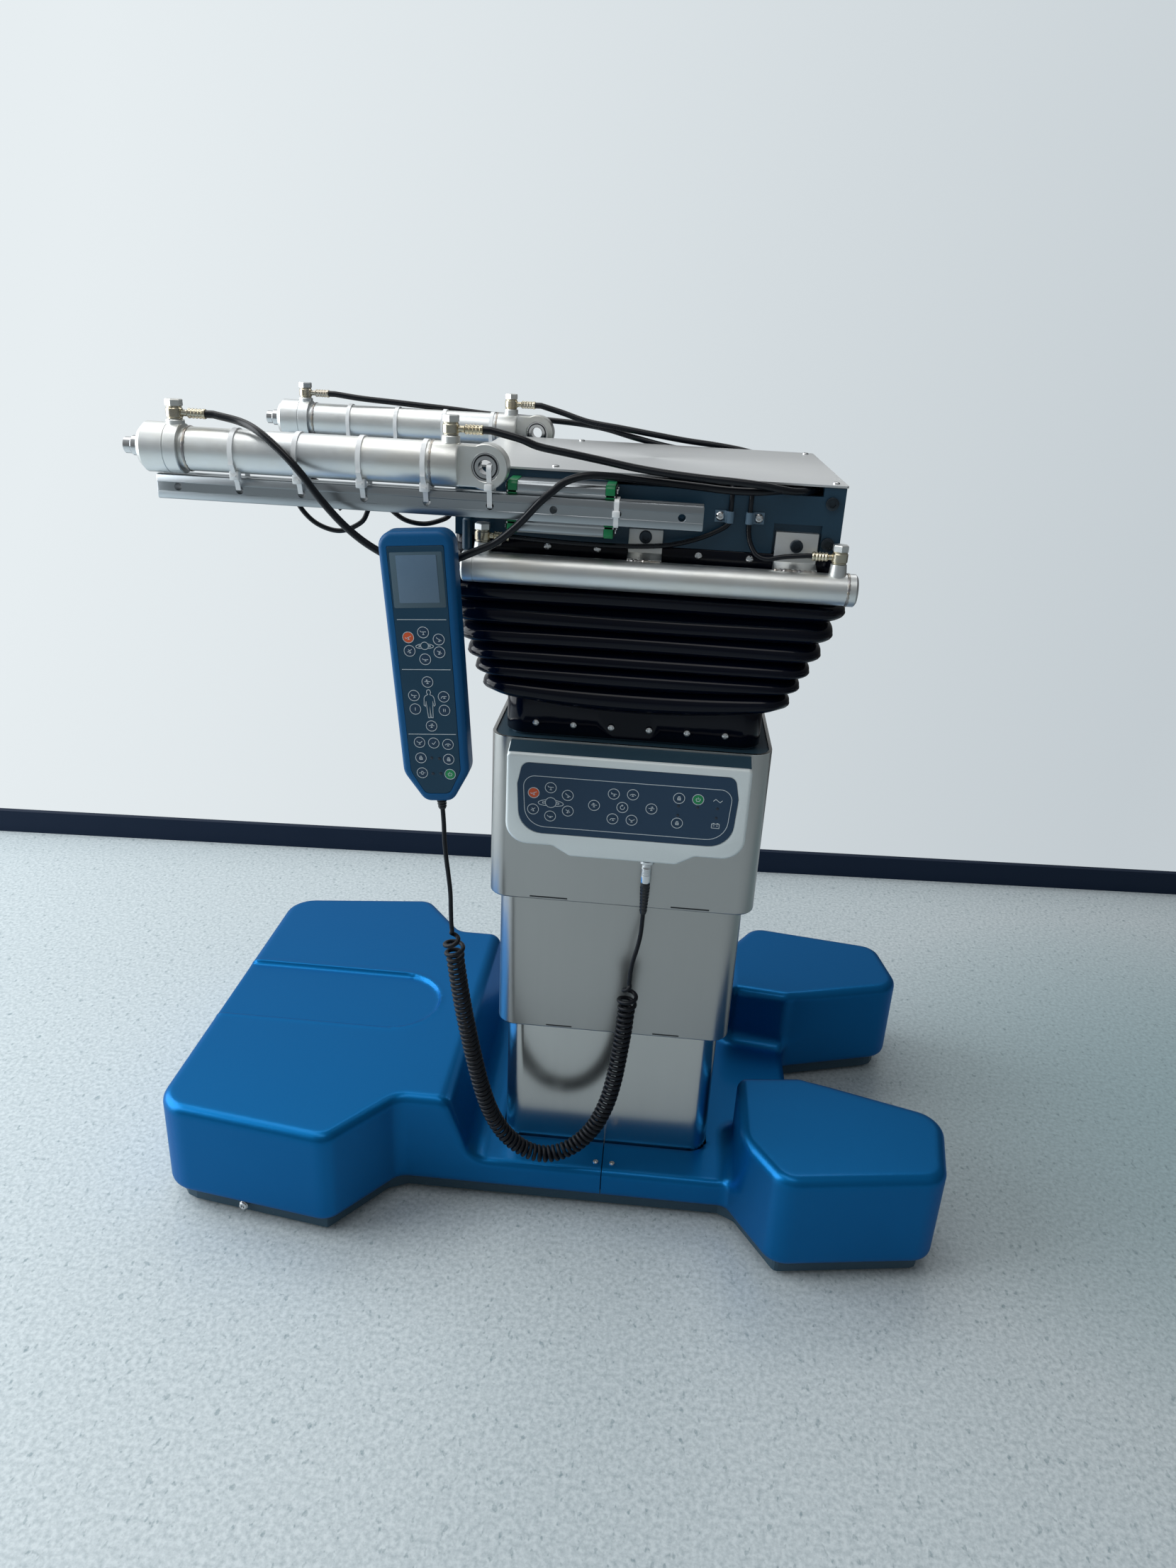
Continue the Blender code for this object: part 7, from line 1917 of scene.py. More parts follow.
@dataclass
class GuideRails:
    """Profile rails with drilled holes, and their carriages with green end caps."""

    finishes: Finishes
    repeater: Repeater
    face: float = 0.194
    back: float = 0.172
    centre: float = 0.8425
    half: float = 0.0115
    left: float = -0.4666
    right: float = 0.0534
    first_hole: float = -0.4466
    pitch: float = 0.06
    hole: float = 0.0035
    carriage: Flat = (-0.1325, -0.0285)
    carriage_half: float = 0.024
    cap: float = 0.0105

    def rail(self, side: int) -> Form:
        """One rail with its bolt holes.

        Args:
            side: -1 for the front rail, 1 for the rear.

        Returns:
            The form.
        """
        depth = self.face - self.back
        upper = [
            (0.0004, 0.004), (0.0, 0.0044), (0.0, self.half - 0.0012), (0.0004, self.half - 0.0004),
            (0.0012, self.half), (0.0075, self.half), (0.01, self.half - 0.0022), (0.0118, self.half - 0.003),
            (0.0135, self.half - 0.0022), (0.016, self.half), (depth - 0.001, self.half),
            (depth, self.half - 0.001)]
        section = upper + [(d, -h) for d, h in reversed(upper)]
        outline = [(side * (self.face - d), self.centre + h) for d, h in section]
        bevel = 0.0006
        shrunk = [
            (
                side * (self.face - depth / 2 - (self.face - depth / 2 - abs(y)) * 0.97),
                self.centre + (z - self.centre) * 0.96) for y, z in outline]
        form = Form().loft(
            [
                end_ring(shrunk, self.left), end_ring(outline, self.left + bevel),
                end_ring(outline, self.right - bevel), end_ring(shrunk, self.right)])
        for i in range(9):
            x = self.first_hole + i * self.pitch
            bore = Form().lathe(
                [
                    (self.back - 0.003, 0), (self.back - 0.003, self.hole), (self.face - 0.0006, self.hole),
                    (self.face + 0.0004, self.hole + 0.0009), (self.face + 0.003, self.hole + 0.0009),
                    (self.face + 0.003, 0)], 32,
                place=at(x, 0, self.centre, TO_BACK if side > 0 else TO_FRONT))
            form = form.merged(bore, "DIFFERENCE")
        return form

    def block_form(self, side: int, low: float, high: float, grow: float) -> Form:
        """A length of the carriage's section.

        Args:
            side: -1 for the front rail, 1 for the rear.
            low: its left end.
            high: its right end.
            grow: how far it stands out over the steel body.

        Returns:
            The form.
        """
        channel, lip, cut = self.half + 0.0004, 0.0055, 0.003
        inner, outer = 0.1543, self.face - lip + grow
        half = self.carriage_half + grow
        section = [
            (inner, -half), (outer - cut, -half), (outer, -half + cut), (outer, -channel),
            (self.back - 0.0004, -channel), (self.back - 0.0004, channel), (outer, channel),
            (outer, half - cut), (outer - cut, half), (inner, half)]
        outline = [(side * y, self.centre + z) for y, z in section]
        return Form().loft([end_ring(outline, low), end_ring(outline, high)]).softened(0.0006)

    def build_carriage(self, tag: str, side: int) -> None:
        """One carriage: steel body, green caps, scraper plates and screws.

        Args:
            tag: front or rear.
            side: -1 for the front rail, 1 for the rear.
        """
        looks = self.finishes
        low, high = self.carriage
        body = self.block_form(side, low + self.cap, high - self.cap, 0.0)
        put(f"carriage_{tag}_body", body, looks.ground, Body.SLIDE_FRAME, f"carriage_{tag}")
        caps = self.block_form(side, low + 0.0016, low + self.cap - HAIR, 0.0006)
        caps = caps.merged(self.block_form(side, high - self.cap + HAIR, high - 0.0016, 0.0006))
        put(f"carriage_{tag}_caps", caps, looks.green, Body.SLIDE_FRAME)
        plates = self.block_form(side, low, low + 0.0014, -0.0012).merged(
            self.block_form(side, high - 0.0014, high, -0.0012))
        put(f"carriage_{tag}_scrapers", plates, looks.black, Body.SLIDE_FRAME)
        strips = Form()
        for z in (self.centre + self.half + 0.003, self.centre - self.half - 0.003):
            y = side * (self.face - 0.0055)
            outline = [
                (y, z - 0.0011), (y + side * 0.0006, z - 0.0008), (y + side * 0.0006, z + 0.0008),
                (y, z + 0.0011)]
            strips.loft([end_ring(outline, low + 0.001), end_ring(outline, high - 0.001)])
        put(f"carriage_{tag}_strips", strips, looks.bright, Body.SLIDE_FRAME)
        places = [
            ((x, side * y, self.centre + z), (1 if x > -0.08 else -1, 0, 0))
            for x in (low - 0.0001, high + 0.0001) for y in (0.163, 0.1815) for z in (-0.0185, 0.0185)]
        self.repeater.spread(
            f"carriage_{tag}_screws", Fasteners.phillips(0.0022, 0.0012), looks.bright, places,
            Body.SLIDE_FRAME)

    def build(self) -> None:
        """Builds both rails and both carriages."""
        for tag, side, body in (("front", -1, Body.RAIL_FRONT), ("rear", 1, Body.RAIL_REAR)):
            put(f"guide_rail_{tag}", self.rail(side), self.finishes.ground, body, f"rail_{tag}")
            self.build_carriage(tag, side)


@dataclass
class HoseFittings:
    """Banjo bolts with their rings, washers and crimped ferrules."""

    finishes: Finishes
    ring: float = 0.0078
    ring_height: float = 0.0088
    washer: float = 0.0012
    hexagon: float = 0.008
    hexagon_height: float = 0.0065

    def bolt(self, place: Matrix) -> Form:
        """The bolt's head with its chamfered corners.

        Args:
            place: foot of the fitting.

        Returns:
            The form.
        """
        low = self.washer * 2 + self.ring_height
        high = low + self.hexagon_height
        flat = [
            (self.hexagon * cos(radians(60 * i + 30)), self.hexagon * sin(radians(60 * i + 30)))
            for i in range(6)]
        small = [(x * 0.9, y * 0.9) for x, y in flat]
        form = Form().loft(
            [level(small, low), level(flat, low + 0.0006), level(flat, high - 0.0008), level(small, high)],
            place=place)
        return form.merged(
            Form().lathe(
                [(-0.0006, 0), (-0.0006, 0.0046), (low + 0.0005, 0.0046), (low + 0.0005, 0)], 24,
                place=place))

    def body(self, place: Matrix, direction: int, reach: float) -> Form:
        """The ring, its washers, the neck and the crimped ferrule.

        Args:
            place: foot of the fitting.
            direction: 1 if the hose leaves towards +x, -1 towards -x.
            reach: from the bolt's axis to the ferrule's end.

        Returns:
            The form.
        """
        low, high = self.washer, self.washer + self.ring_height
        ring = [
            (0, 0), (0, 0.0068), (0.0002, 0.007), (low - 0.0002, 0.007), (low, 0.0068),
            (low, self.ring - 0.0008), (low + 0.0008, self.ring), (high - 0.0008, self.ring),
            (high, self.ring - 0.0008), (high, 0.0068), (high + 0.0002, 0.007),
            (high + self.washer - 0.0002, 0.007), (high + self.washer, 0.0068), (high + self.washer, 0)]
        form = Form().lathe(ring, 40, place=place)
        along = place @ Matrix.Translation((0, 0, (low + high) / 2)) @ (
            TO_RIGHT if direction > 0 else TO_LEFT)
        stem = reach * 0.45
        tube = [
            (self.ring / 2, 0), (self.ring / 2, 0.003), (stem - 0.001, 0.003), (stem - 0.0004, 0.004),
            (stem + 0.0004, 0.0046)]
        crimp = (reach - stem) / 5
        for i in range(4):
            here = stem + 0.0014 + i * crimp
            tube += [
                (here, 0.0046), (here + crimp * 0.25, 0.0041), (here + crimp * 0.6, 0.0041),
                (here + crimp * 0.8, 0.0046)]
        tube += [(reach - 0.0006, 0.0046), (reach, 0.0042), (reach, 0)]
        return form.merged(Form().lathe(tube, 28, place=along))

    def build(self, name: str, foot: Point, direction: int, reach: float, body: Body) -> None:
        """Builds one fitting.

        Args:
            name: the CAD node that it replaces.
            foot: where it stands.
            direction: 1 if the hose leaves towards +x, -1 towards -x.
            reach: from the bolt's axis to the ferrule's end.
            body: the body that carries it.
        """
        place = at(*foot)
        put(f"{name}_ring", self.body(place, direction, reach), self.finishes.yellow_zinc, body, name)
        put(f"{name}_bolt", self.bolt(place), self.finishes.zinc, body, name)


def bead(radius: float, width: float, sides: int, place: Matrix, seed: int) -> Form:
    """A lumpy weld bead round a tube.

    Args:
        radius: the tube's radius.
        width: half the bead's width.
        sides: flats round the tube.
        place: turns the bead's axis to the tube's.
        seed: fixes the lumps.

    Returns:
        The form.
    """
    lumps = np.random.default_rng(seed).normal(0, 0.12, sides)
    rings = []
    for i in range(sides):
        angle = tau * i / sides
        ripple = 1 + 0.16 * sin(i * 2.4) + lumps[i]
        ring = []
        for k in range(8):
            turn = tau * k / 8
            out = radius + width * 0.62 * ripple * max(sin(turn), -0.35)
            ring.append((out * cos(angle), out * sin(angle), width * ripple * cos(turn)))
        rings.append(ring)
    return Form().loft(rings, wrap=True, place=place)


@dataclass
class TabletopCylinders:
    """The two tabletop cylinders strapped on the rails, with rods and eye bearings."""

    finishes: Finishes
    fittings: HoseFittings
    axis_y: float = 0.1902
    axis_z: float = 0.878
    eye: float = -0.1503

    def barrel(self, place: Matrix, eye_turn: Matrix) -> Form:
        """Gland, neck, barrel, cap and eye, along the cylinder's own axis.

        Args:
            place: turns the axis towards the rod, from the eye's middle.
            eye_turn: place of the eye, turned across the cylinder.

        Returns:
            The form.
        """
        nose, neck, start, cap = 0.3267, 0.2867, 0.0497, 0.0272
        profile = [
            (cap - 0.002, 0), (cap - 0.002, 0.0196), (cap, 0.0206), (start - 0.0006, 0.0206), (start, 0.02),
            (neck - 0.0062, 0.02), (neck - 0.0052, 0.0192), (neck - 0.0045, 0.0185), (neck - 0.0004, 0.0185),
            (neck, 0.0222), (neck + 0.0008, 0.023), (neck + 0.012, 0.023), (neck + 0.0124, 0.0225),
            (neck + 0.0132, 0.0225), (neck + 0.0136, 0.023), (nose - 0.005, 0.023), (nose, 0.0182),
            (nose, 0.0125), (nose - 0.0015, 0.0118), (nose - 0.0015, 0.0096), (neck, 0.0096), (neck, 0.016),
            (0.057, 0.016), (0.057, 0)]
        form = Form().lathe(profile, place=place)
        lug = Form().lathe(
            [(-0.01, 0), (-0.01, 0.0199), (-0.0093, 0.0206), (0.0093, 0.0206), (0.01, 0.0199), (0.01, 0)],
            place=eye_turn)
        shank = Form().block((-0.0185, -0.01, 0.0), (0.0185, 0.01, cap + 0.003)).softened(0.0008)
        shank.mesh.transform(place)
        form = form.merged(lug).merged(shank)
        bore = Form().lathe(
            [
                (-0.013, 0), (-0.013, 0.0136), (-0.0095, 0.0136), (-0.0088, 0.0129), (0.0088, 0.0129),
                (0.0095, 0.0136), (0.013, 0.0136), (0.013, 0)], place=eye_turn)
        return form.merged(bore, "DIFFERENCE")

    def build_one(self, tag: str, side: int, body: Body, rod_body: Body) -> None:
        """One cylinder with its rod, bearing, bosses and fittings.

        Args:
            tag: front or rear.
            side: -1 for the front, 1 for the rear.
            body: the body that carries the cylinder.
            rod_body: the body that carries its rod.
        """
        looks = self.finishes
        y, z = side * self.axis_y, self.axis_z
        place = at(self.eye, y, z, TO_LEFT)
        eye_turn = at(self.eye, y, z, TO_BACK)
        form = self.barrel(place, eye_turn)
        for x, low in ((-0.4446, 0.0215), (-0.184, 0.019)):
            boss = Form().lathe(
                [(low, 0), (low, 0.0085), (0.025, 0.0085), (0.0257, 0.0079), (0.0257, 0)], 32,
                place=at(x, y, z))
            form = form.merged(boss)
        put(f"table_cylinder_{tag}", form, looks.zinc, body, f"cylinder_{tag}")
        seams = Form()
        for distance, radius, seed in ((0.0502, 0.0202, 11), (0.2815, 0.02, 12)):
            seams = seams.merged(bead(radius, 0.0014, 72, place @ Matrix.Translation((0, 0, distance)), seed))
        put(f"table_cylinder_{tag}_welds", seams, looks.weld, body)
        tip = 0.3447
        rod = [
            (0.059, 0), (0.059, 0.0156), (0.073, 0.0156), (0.073, 0.0092), (tip - 0.0085, 0.0092),
            (tip - 0.0078, 0.0086), (tip - 0.0078, 0.006), (tip - 0.007, 0.006), (tip - 0.007, 0.0076),
            (tip - 0.0006, 0.0076), (tip, 0.0068), (tip, 0.004), (tip - 0.006, 0.0036), (tip - 0.006, 0)]
        put(f"rod_{tag}", Form().lathe(rod, 48, place=place), looks.bright, rod_body, f"piston_rod_{tag}")
        race = [
            (-0.0078, 0.0126), (0.0078, 0.0126), (0.0078, 0.0114), (0.007, 0.0112), (0.0072, 0.0106),
            (0.009, 0.01), (0.009, 0.007), (0.0084, 0.0065), (-0.0084, 0.0065), (-0.009, 0.007),
            (-0.009, 0.01), (-0.0072, 0.0106), (-0.007, 0.0112), (-0.0078, 0.0114)]
        put(
            f"eye_race_{tag}", Form().lathe(race, wrap=True, place=eye_turn), looks.bright, body,
            f"eye_bearing_{tag}")
        rings = Form()
        for inner, outer, half in ((0.0103, 0.0113, 0.0078), (0.0126, 0.0138, 0.0082)):
            rings = rings.merged(
                Form().lathe(
                    [(-half, outer), (half, outer), (half, inner), (-half, inner)], wrap=True,
                    place=eye_turn))
        put(f"eye_seal_{tag}", rings, looks.black, body)
        for end, x in (("left", -0.4446), ("right", -0.184)):
            self.fittings.build(f"banjo_{tag}_{end}", (x, y, z + 0.0261), 1, 0.03, body)

    def build(self) -> None:
        """Builds both cylinders."""
        self.build_one("front", -1, Body.RAIL_FRONT, Body.ROD_FRONT)
        self.build_one("rear", 1, Body.RAIL_REAR, Body.ROD_REAR)


@dataclass
class TranslationCylinder:
    """The welded cylinder below the frame's front edge, with its tabs and rod."""

    finishes: Finishes
    fittings: HoseFittings
    repeater: Repeater
    y: float = -0.1734
    z: float = 0.7812
    radius: float = 0.015
    left: float = -0.1764
    right: float = 0.2054
    side: float = 0.154

    def tab(self, low: float, high: float, top: float, sunk: float) -> Form:
        """One hanger: a plate on the side that bends onto the tube.

        Args:
            low: its left edge.
            high: its right edge.
            top: its upper edge.
            sunk: depth of the pocket that it sits in.

        Returns:
            The form.
        """
        back, thick = self.side + 0.0003, 0.0035
        weld = self.z + self.radius + thick / 2
        section = [
            (-back, self.z + self.radius - thick), (self.y, self.z + self.radius - thick), (self.y, weld),
            (-back - thick, weld + thick), (-back - thick, top)]
        if sunk:
            section += [(-back + sunk, top), (-back + sunk, 0.8098), (-back, 0.8098)]
        else:
            section.append((-back, top))
        return Form().loft([end_ring(section, low), end_ring(section, high)]).softened(0.0007)

    def build(self) -> None:
        """Builds the tube, its tabs, beads, rod and fittings."""
        looks = self.finishes
        place = at(0, self.y, self.z, TO_RIGHT)
        left, right, radius = self.left, self.right, self.radius
        profile = [
            (right, 0), (right, radius - 0.0022), (right - 0.0006, radius - 0.0012),
            (right - 0.0022, radius + 0.0006), (0.1967, radius + 0.0006), (0.1963, radius),
            (left + 0.013, radius), (left + 0.0126, radius - 0.0005), (left + 0.0118, radius - 0.0005),
            (left + 0.0114, radius), (left + 0.002, radius), (left + 0.0004, radius - 0.0012),
            (left, radius - 0.0024), (left, 0.009), (left + 0.001, 0.008), (left + 0.001, 0.0064),
            (left + 0.015, 0.0064), (left + 0.015, 0.0115), (0.1815, 0.0115), (0.1815, 0)]
        form = Form().lathe(profile, place=place)
        form = form.merged(self.tab(-0.016, 0.0173, 0.8243, 0)).merged(self.tab(0.125, 0.166, 0.8297, 0.005))
        for x in (-0.1565, 0.1855):
            boss = Form().lathe(
                [
                    (radius - 0.003, 0), (radius - 0.003, 0.0088), (radius + 0.0012, 0.0085),
                    (radius + 0.0092, 0.0076), (radius + 0.0095, 0.0072), (radius + 0.0095, 0)], 32,
                place=at(x, self.y, self.z))
            form = form.merged(boss)
        put("shift_cylinder", form, looks.zinc, Body.SLIDE_FRAME, "translation_cylinder")
        seams = bead(radius, 0.0015, 60, place @ Matrix.Translation((0, 0, 0.1962)), 21)
        for low, high, seed in ((-0.016, 0.0173, 22), (0.125, 0.166, 23)):
            top = self.z + radius
            seams = seams.merged(self.straight_bead(low, high, self.y - 0.0006, top - 0.0002, seed))
        put("shift_cylinder_welds", seams, looks.weld, Body.SLIDE_FRAME)
        places = [((x, -self.side - 0.0037, 0.8173), (0, -1, 0)) for x in (0.0004, 0.1455)]
        self.repeater.spread(
            "tab_screws", Fasteners.socket(0.0062, 0.004), looks.oxide, places, Body.SLIDE_FRAME, seed=9)
        rod = [
            (-0.212, 0), (-0.212, 0.0048), (-0.211, 0.0058), (-0.209, 0.006), (0.141, 0.006), (0.141, 0.0111),
            (0.155, 0.0111), (0.155, 0)]
        put(
            "shift_rod", Form().lathe(rod, 40, place=place), looks.bright, Body.ROD_TRANSLATION,
            "translation_rod")
        foot = self.z + radius + 0.0095 + 0.0003
        self.fittings.build("banjo_translation_left", (-0.1565, self.y, foot), 1, 0.026, Body.SLIDE_FRAME)
        self.fittings.build("banjo_translation_right", (0.1855, self.y, foot), -1, 0.026, Body.SLIDE_FRAME)

    def straight_bead(self, low: float, high: float, y: float, z: float, seed: int) -> Form:
        """A lumpy bead along a tab's foot.

        Args:
            low: its left end.
            high: its right end.
            y: its place across the table.
            z: its height.
            seed: fixes the lumps.

        Returns:
            The form.
        """
        count = 26
        lumps = np.random.default_rng(seed).normal(0, 0.15, count)
        rings = []
        for i, x in enumerate(np.linspace(low, high, count)):
            size = 0.0017 * (1 + 0.2 * sin(i * 2.2) + lumps[i]) * (0.4 if i in (0, count - 1) else 1.0)
            rings.append([(x, y + size * cos(a), z + size * sin(a)) for a in np.linspace(0, tau, 9)[:-1]])
        return Form().loft(rings)


# ---------------------------------------------------------------- hoses and cord

def even_curve(route: Sequence[Point], spacing: float) -> np.ndarray:
    """Even points on a smooth curve through a route.

    Args:
        route: the points that the curve passes.
        spacing: distance between the even points.

    Returns:
        The points.
    """
    given = [np.array(point, dtype=float) for point in route]
    ends = [2 * given[0] - given[1], *given, 2 * given[-1] - given[-2]]
    fine = []
    for a, b, c, d in zip(ends, ends[1:], ends[2:], ends[3:]):
        for t in np.arange(12) / 12:
            fine.append(
                0.5 * (
                    2 * b + (c - a) * t + (2 * a - 5 * b + 4 * c - d) * t ** 2 + (3 * b - a - 3 * c + d)
                    * t ** 3))
    path = np.array([*fine, given[-1]])
    walked = np.concatenate([[0], np.cumsum(np.linalg.norm(np.diff(path, axis=0), axis=1))])
    stops = np.linspace(0, walked[-1], max(2, round(walked[-1] / spacing)) + 1)
    return np.stack([np.interp(stops, walked, path[:, axis]) for axis in range(3)], axis=1)


def placed(route: Sequence[Point], side: int, start: float = 0.0) -> list[Point]:
    """A route at its place beside the frame, given outwards and up from its side's foot."""
    return [(start + along, side * (0.154 + out), 0.808 + rise) for along, out, rise in route]


def run_points(
        inner: Sequence[Point], spacing: float, radius: float, start: Optional[tuple[Point, Point]] = None,
        end: Optional[tuple[Point, Point]] = None) -> np.ndarray:
    """Even points along a route that meets its fittings straight.

    Args:
        inner: the route between the fittings.
        spacing: distance between the points.
        radius: radius of the hose or cord.
        start: a point and a heading in which the run leaves it.
        end: a point and a heading in which the run passes it.

    Returns:
        The points.
    """
    lead = 2 * radius
    inner = [tuple(point) for point in inner]
    if start:
        inner.insert(0, tuple(np.array(start[0]) + lead * np.array(start[1])))
    if end:
        inner.append(tuple(np.array(end[0]) - lead * np.array(end[1])))
    points = list(even_curve(inner, spacing))
    if start:
        points.insert(0, np.array(start[0]))
    if end:
        points.append(np.array(end[0]))
    return np.array(points)


def sweep(points: np.ndarray, radius: float, sides: int = TUBE_SIDES) -> Form:
    """A closed round tube along points, with a UV map that follows it in units of its radius.

    Args:
        points: the tube's middle line.
        radius: its radius.
        sides: flats round it.

    Returns:
        The form.
    """
    along = np.gradient(points, axis=0)
    along /= np.linalg.norm(along, axis=1)[:, None]
    side = np.cross(along[0], (0.13, 0.99, 0.05))
    rings, normals = [], []
    for point, heading in zip(points, along):
        side = side - heading * np.dot(side, heading)
        side /= np.linalg.norm(side)
        up = np.cross(heading, side)
        turns = [tau * i / sides for i in range(sides)]
        out = [cos(a) * side + sin(a) * up for a in turns]
        rings.append([tuple(point + radius * way) for way in out])
        normals.append(heading)
    form = Form()
    first = tuple(points[0] - normals[0] * HAIR)
    last = tuple(points[-1] + normals[-1] * HAIR)
    form.loft([[first], *rings, [last]])
    walked = np.concatenate([[0], np.cumsum(np.linalg.norm(np.diff(points, axis=0), axis=1))]) / radius
    chart = form.mesh.loops.layers.uv.new("run")
    form.mesh.verts.index_update()
    for face in form.mesh.faces:
        places = [((loop.vert.index - 1) % sides, (loop.vert.index - 1) // sides) for loop in face.loops]
        crossing = {0, sides - 1} <= {k for k, row in places}
        for loop, (k, row) in zip(face.loops, places):
            turn = (sides if crossing and k == 0 else k) / sides
            loop[chart].uv = (walked[min(max(row, 0), len(walked) - 1)], turn)
    return form


@dataclass
class Hoses:
    """Hydraulic hoses from the cylinders to the frame, and the spare loops at its head end."""

    finishes: Finishes
    radius: float = 0.0036
    thin: float = 0.0024
    spacing: float = 0.004
    barrel_axis: float = 0.878
    boss: float = 0.0261
    shift_axis: float = 0.7812
    shift_boss: float = 0.0248
    ferrule: float = 0.0056
    routes: Mapping[str, tuple[Point, ...]] = field(
        default_factory=lambda: {
            "front_left": (
                (-0.379, 0.0425, 0.097), (-0.357, 0.055, 0.0895), (-0.3341, 0.062, 0.0733),
                (-0.3178, 0.064, 0.0568), (-0.3032, 0.061, 0.0363), (-0.2852, 0.057, 0.0148),
                (-0.2676, 0.0535, -0.0011), (-0.2501, 0.051, -0.0123), (-0.23, 0.05, -0.0213),
                (-0.211, 0.05, -0.0242), (-0.1924, 0.05, -0.0223), (-0.1733, 0.05, -0.0137),
                (-0.1551, 0.05, -0.0052), (-0.1384, 0.05, 0.0032), (-0.1186, 0.05, 0.0202),
                (-0.0993, 0.05, 0.0414), (-0.0868, 0.047, 0.0527), (-0.0746, 0.043, 0.062),
                (-0.056, 0.037, 0.0672), (-0.036, 0.03, 0.0668), (-0.012, 0.02, 0.0642),
                (0.0164, 0.014, 0.062), (0.048, 0.0125, 0.06), (0.076, 0.014, 0.0585), (0.102, 0.014, 0.0588),
                (0.119, 0.008, 0.0598), (0.131, 0.0005, 0.0604), (0.14, -0.008, 0.0604),
                (0.146, -0.015, 0.0604)),
            "front_right": (
                (-0.12, 0.0358, 0.096), (-0.1028, 0.034, 0.09), (-0.0735, 0.03, 0.085),
                (-0.044, 0.0255, 0.08), (-0.014, 0.0225, 0.075), (0.0162, 0.0215, 0.0715),
                (0.0499, 0.021, 0.069), (0.08, 0.021, 0.0675), (0.106, 0.02, 0.0655), (0.123, 0.017, 0.0628),
                (0.136, 0.0115, 0.0608), (0.1465, 0.003, 0.0604), (0.155, -0.006, 0.0604),
                (0.161, -0.013, 0.0604)),
            "rear_left": (
                (-0.3725, 0.0365, 0.0982), (-0.3289, 0.04, 0.0955), (-0.2932, 0.0445, 0.093),
                (-0.2574, 0.049, 0.0905), (-0.22, 0.052, 0.0875), (-0.18, 0.055, 0.0855),
                (-0.14, 0.054, 0.084), (-0.1, 0.046, 0.0825), (-0.065, 0.036, 0.079), (-0.03, 0.024, 0.072),
                (0.005, 0.016, 0.0655), (0.034, 0.012, 0.0615), (0.056, 0.007, 0.0604),
                (0.072, -0.001, 0.0604), (0.084, -0.01, 0.0604), (0.092, -0.017, 0.0604)),
            "rear_right": (
                (-0.12, 0.0358, 0.095), (-0.0865, 0.029, 0.0865), (-0.0459, 0.022, 0.082),
                (-0.0057, 0.0195, 0.077), (0.035, 0.0185, 0.072), (0.07, 0.0175, 0.069), (0.1, 0.016, 0.0655),
                (0.12, 0.012, 0.062), (0.135, 0.005, 0.0605), (0.146, -0.004, 0.0604),
                (0.154, -0.013, 0.0604)),
            "translation_left": (
                (0.0797, -0.014, 0.0618), (0.0797, -0.0048, 0.0618), (0.0797, 0.0035, 0.0594),
                (0.0797, 0.0056, 0.0512), (0.0797, 0.0048, 0.042), (0.0797, 0.0048, 0.0328),
                (0.0775, 0.0052, 0.025), (0.0643, 0.0065, 0.017), (0.0503, 0.008, 0.011),
                (0.0323, 0.012, 0.006), (0.0141, 0.015, 0.0032), (-0.0199, 0.016, 0.001),
                (-0.0609, 0.017, 0.0008), (-0.095, 0.0182, 0.0019)),
            "translation_right": (
                (0.0981, -0.014, 0.0618), (0.0981, -0.0048, 0.0618), (0.0981, 0.0035, 0.0594),
                (0.0981, 0.0056, 0.0512), (0.0981, 0.0048, 0.042), (0.0981, 0.0048, 0.0328),
                (0.0985, 0.0055, 0.0207), (0.101, 0.009, 0.01), (0.1075, 0.014, 0.0005),
                (0.118, 0.0175, -0.0025), (0.133, 0.019, 0.001)),
            "spare_loops": (
                (-0.0115, -0.002, 0.013), (-0.0295, 0.0025, 0.008), (-0.048, 0.006, 0.011),
                (-0.063, 0.007, 0.021), (-0.075, 0.007, 0.032), (-0.083, 0.01, 0.021),
                (-0.091, 0.0105, 0.007), (-0.1122, 0.011, -0.0025), (-0.135, 0.011, 0.003),
                (-0.151, 0.011, 0.018), (-0.156, 0.01, 0.034), (-0.146, 0.008, 0.046), (-0.131, 0.006, 0.04),
                (-0.119, 0.005, 0.025), (-0.112, 0.004, 0.017))})

    def piece(self, name: str, points: np.ndarray, radius: float) -> Item:
        """A tube along points that replaces its CAD hose.

        Args:
            name: the hose's name.
            points: its middle line.
            radius: its radius.

        Returns:
            The piece, not yet on a body.
        """
        made = show(f"{name}_tube", sweep(points, radius), self.finishes.hose)
        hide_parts(f"hose_{name}")
        LOG.info("%s_tube: %d faces", name, len(made.data.polygons))
        return made

    def build(self) -> None:
        """Builds every hose."""
        height = self.barrel_axis + self.boss + self.ferrule
        for side, tag, body in ((-1, "front", Body.RAIL_FRONT), (1, "rear", Body.RAIL_REAR)):
            for end, x in (("left", -0.4446), ("right", -0.184)):
                start = ((x + 0.03, side * 0.1902, height), (1, 0, 0))
                points = run_points(
                    placed(self.routes[f"{tag}_{end}"], side), self.spacing, self.radius, start)
                made = self.piece(f"{tag}_{end}", points, self.radius)
                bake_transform(made)
        level_at = self.shift_axis + self.shift_boss + self.ferrule
        for end, x, heading in (("left", -0.1565 + 0.026, 1), ("right", 0.1855 - 0.026, -1)):
            arrival = ((x, -0.1734, level_at), (-heading, 0, 0))
            points = run_points(
                placed(self.routes[f"translation_{end}"], -1), self.spacing * 0.6, self.thin, end=arrival)
            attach(self.piece(f"translation_{end}", points, self.thin), Body.SLIDE_FRAME.value)
        start = ((-0.1873, -0.149, 0.826), (-1, 0, 0))
        points = run_points(
            placed(self.routes["spare_loops"], -1, -0.187), self.spacing * 0.6, self.thin, start)
        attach(self.piece("spare_loops", points, self.thin), Body.SLIDE_FRAME.value)


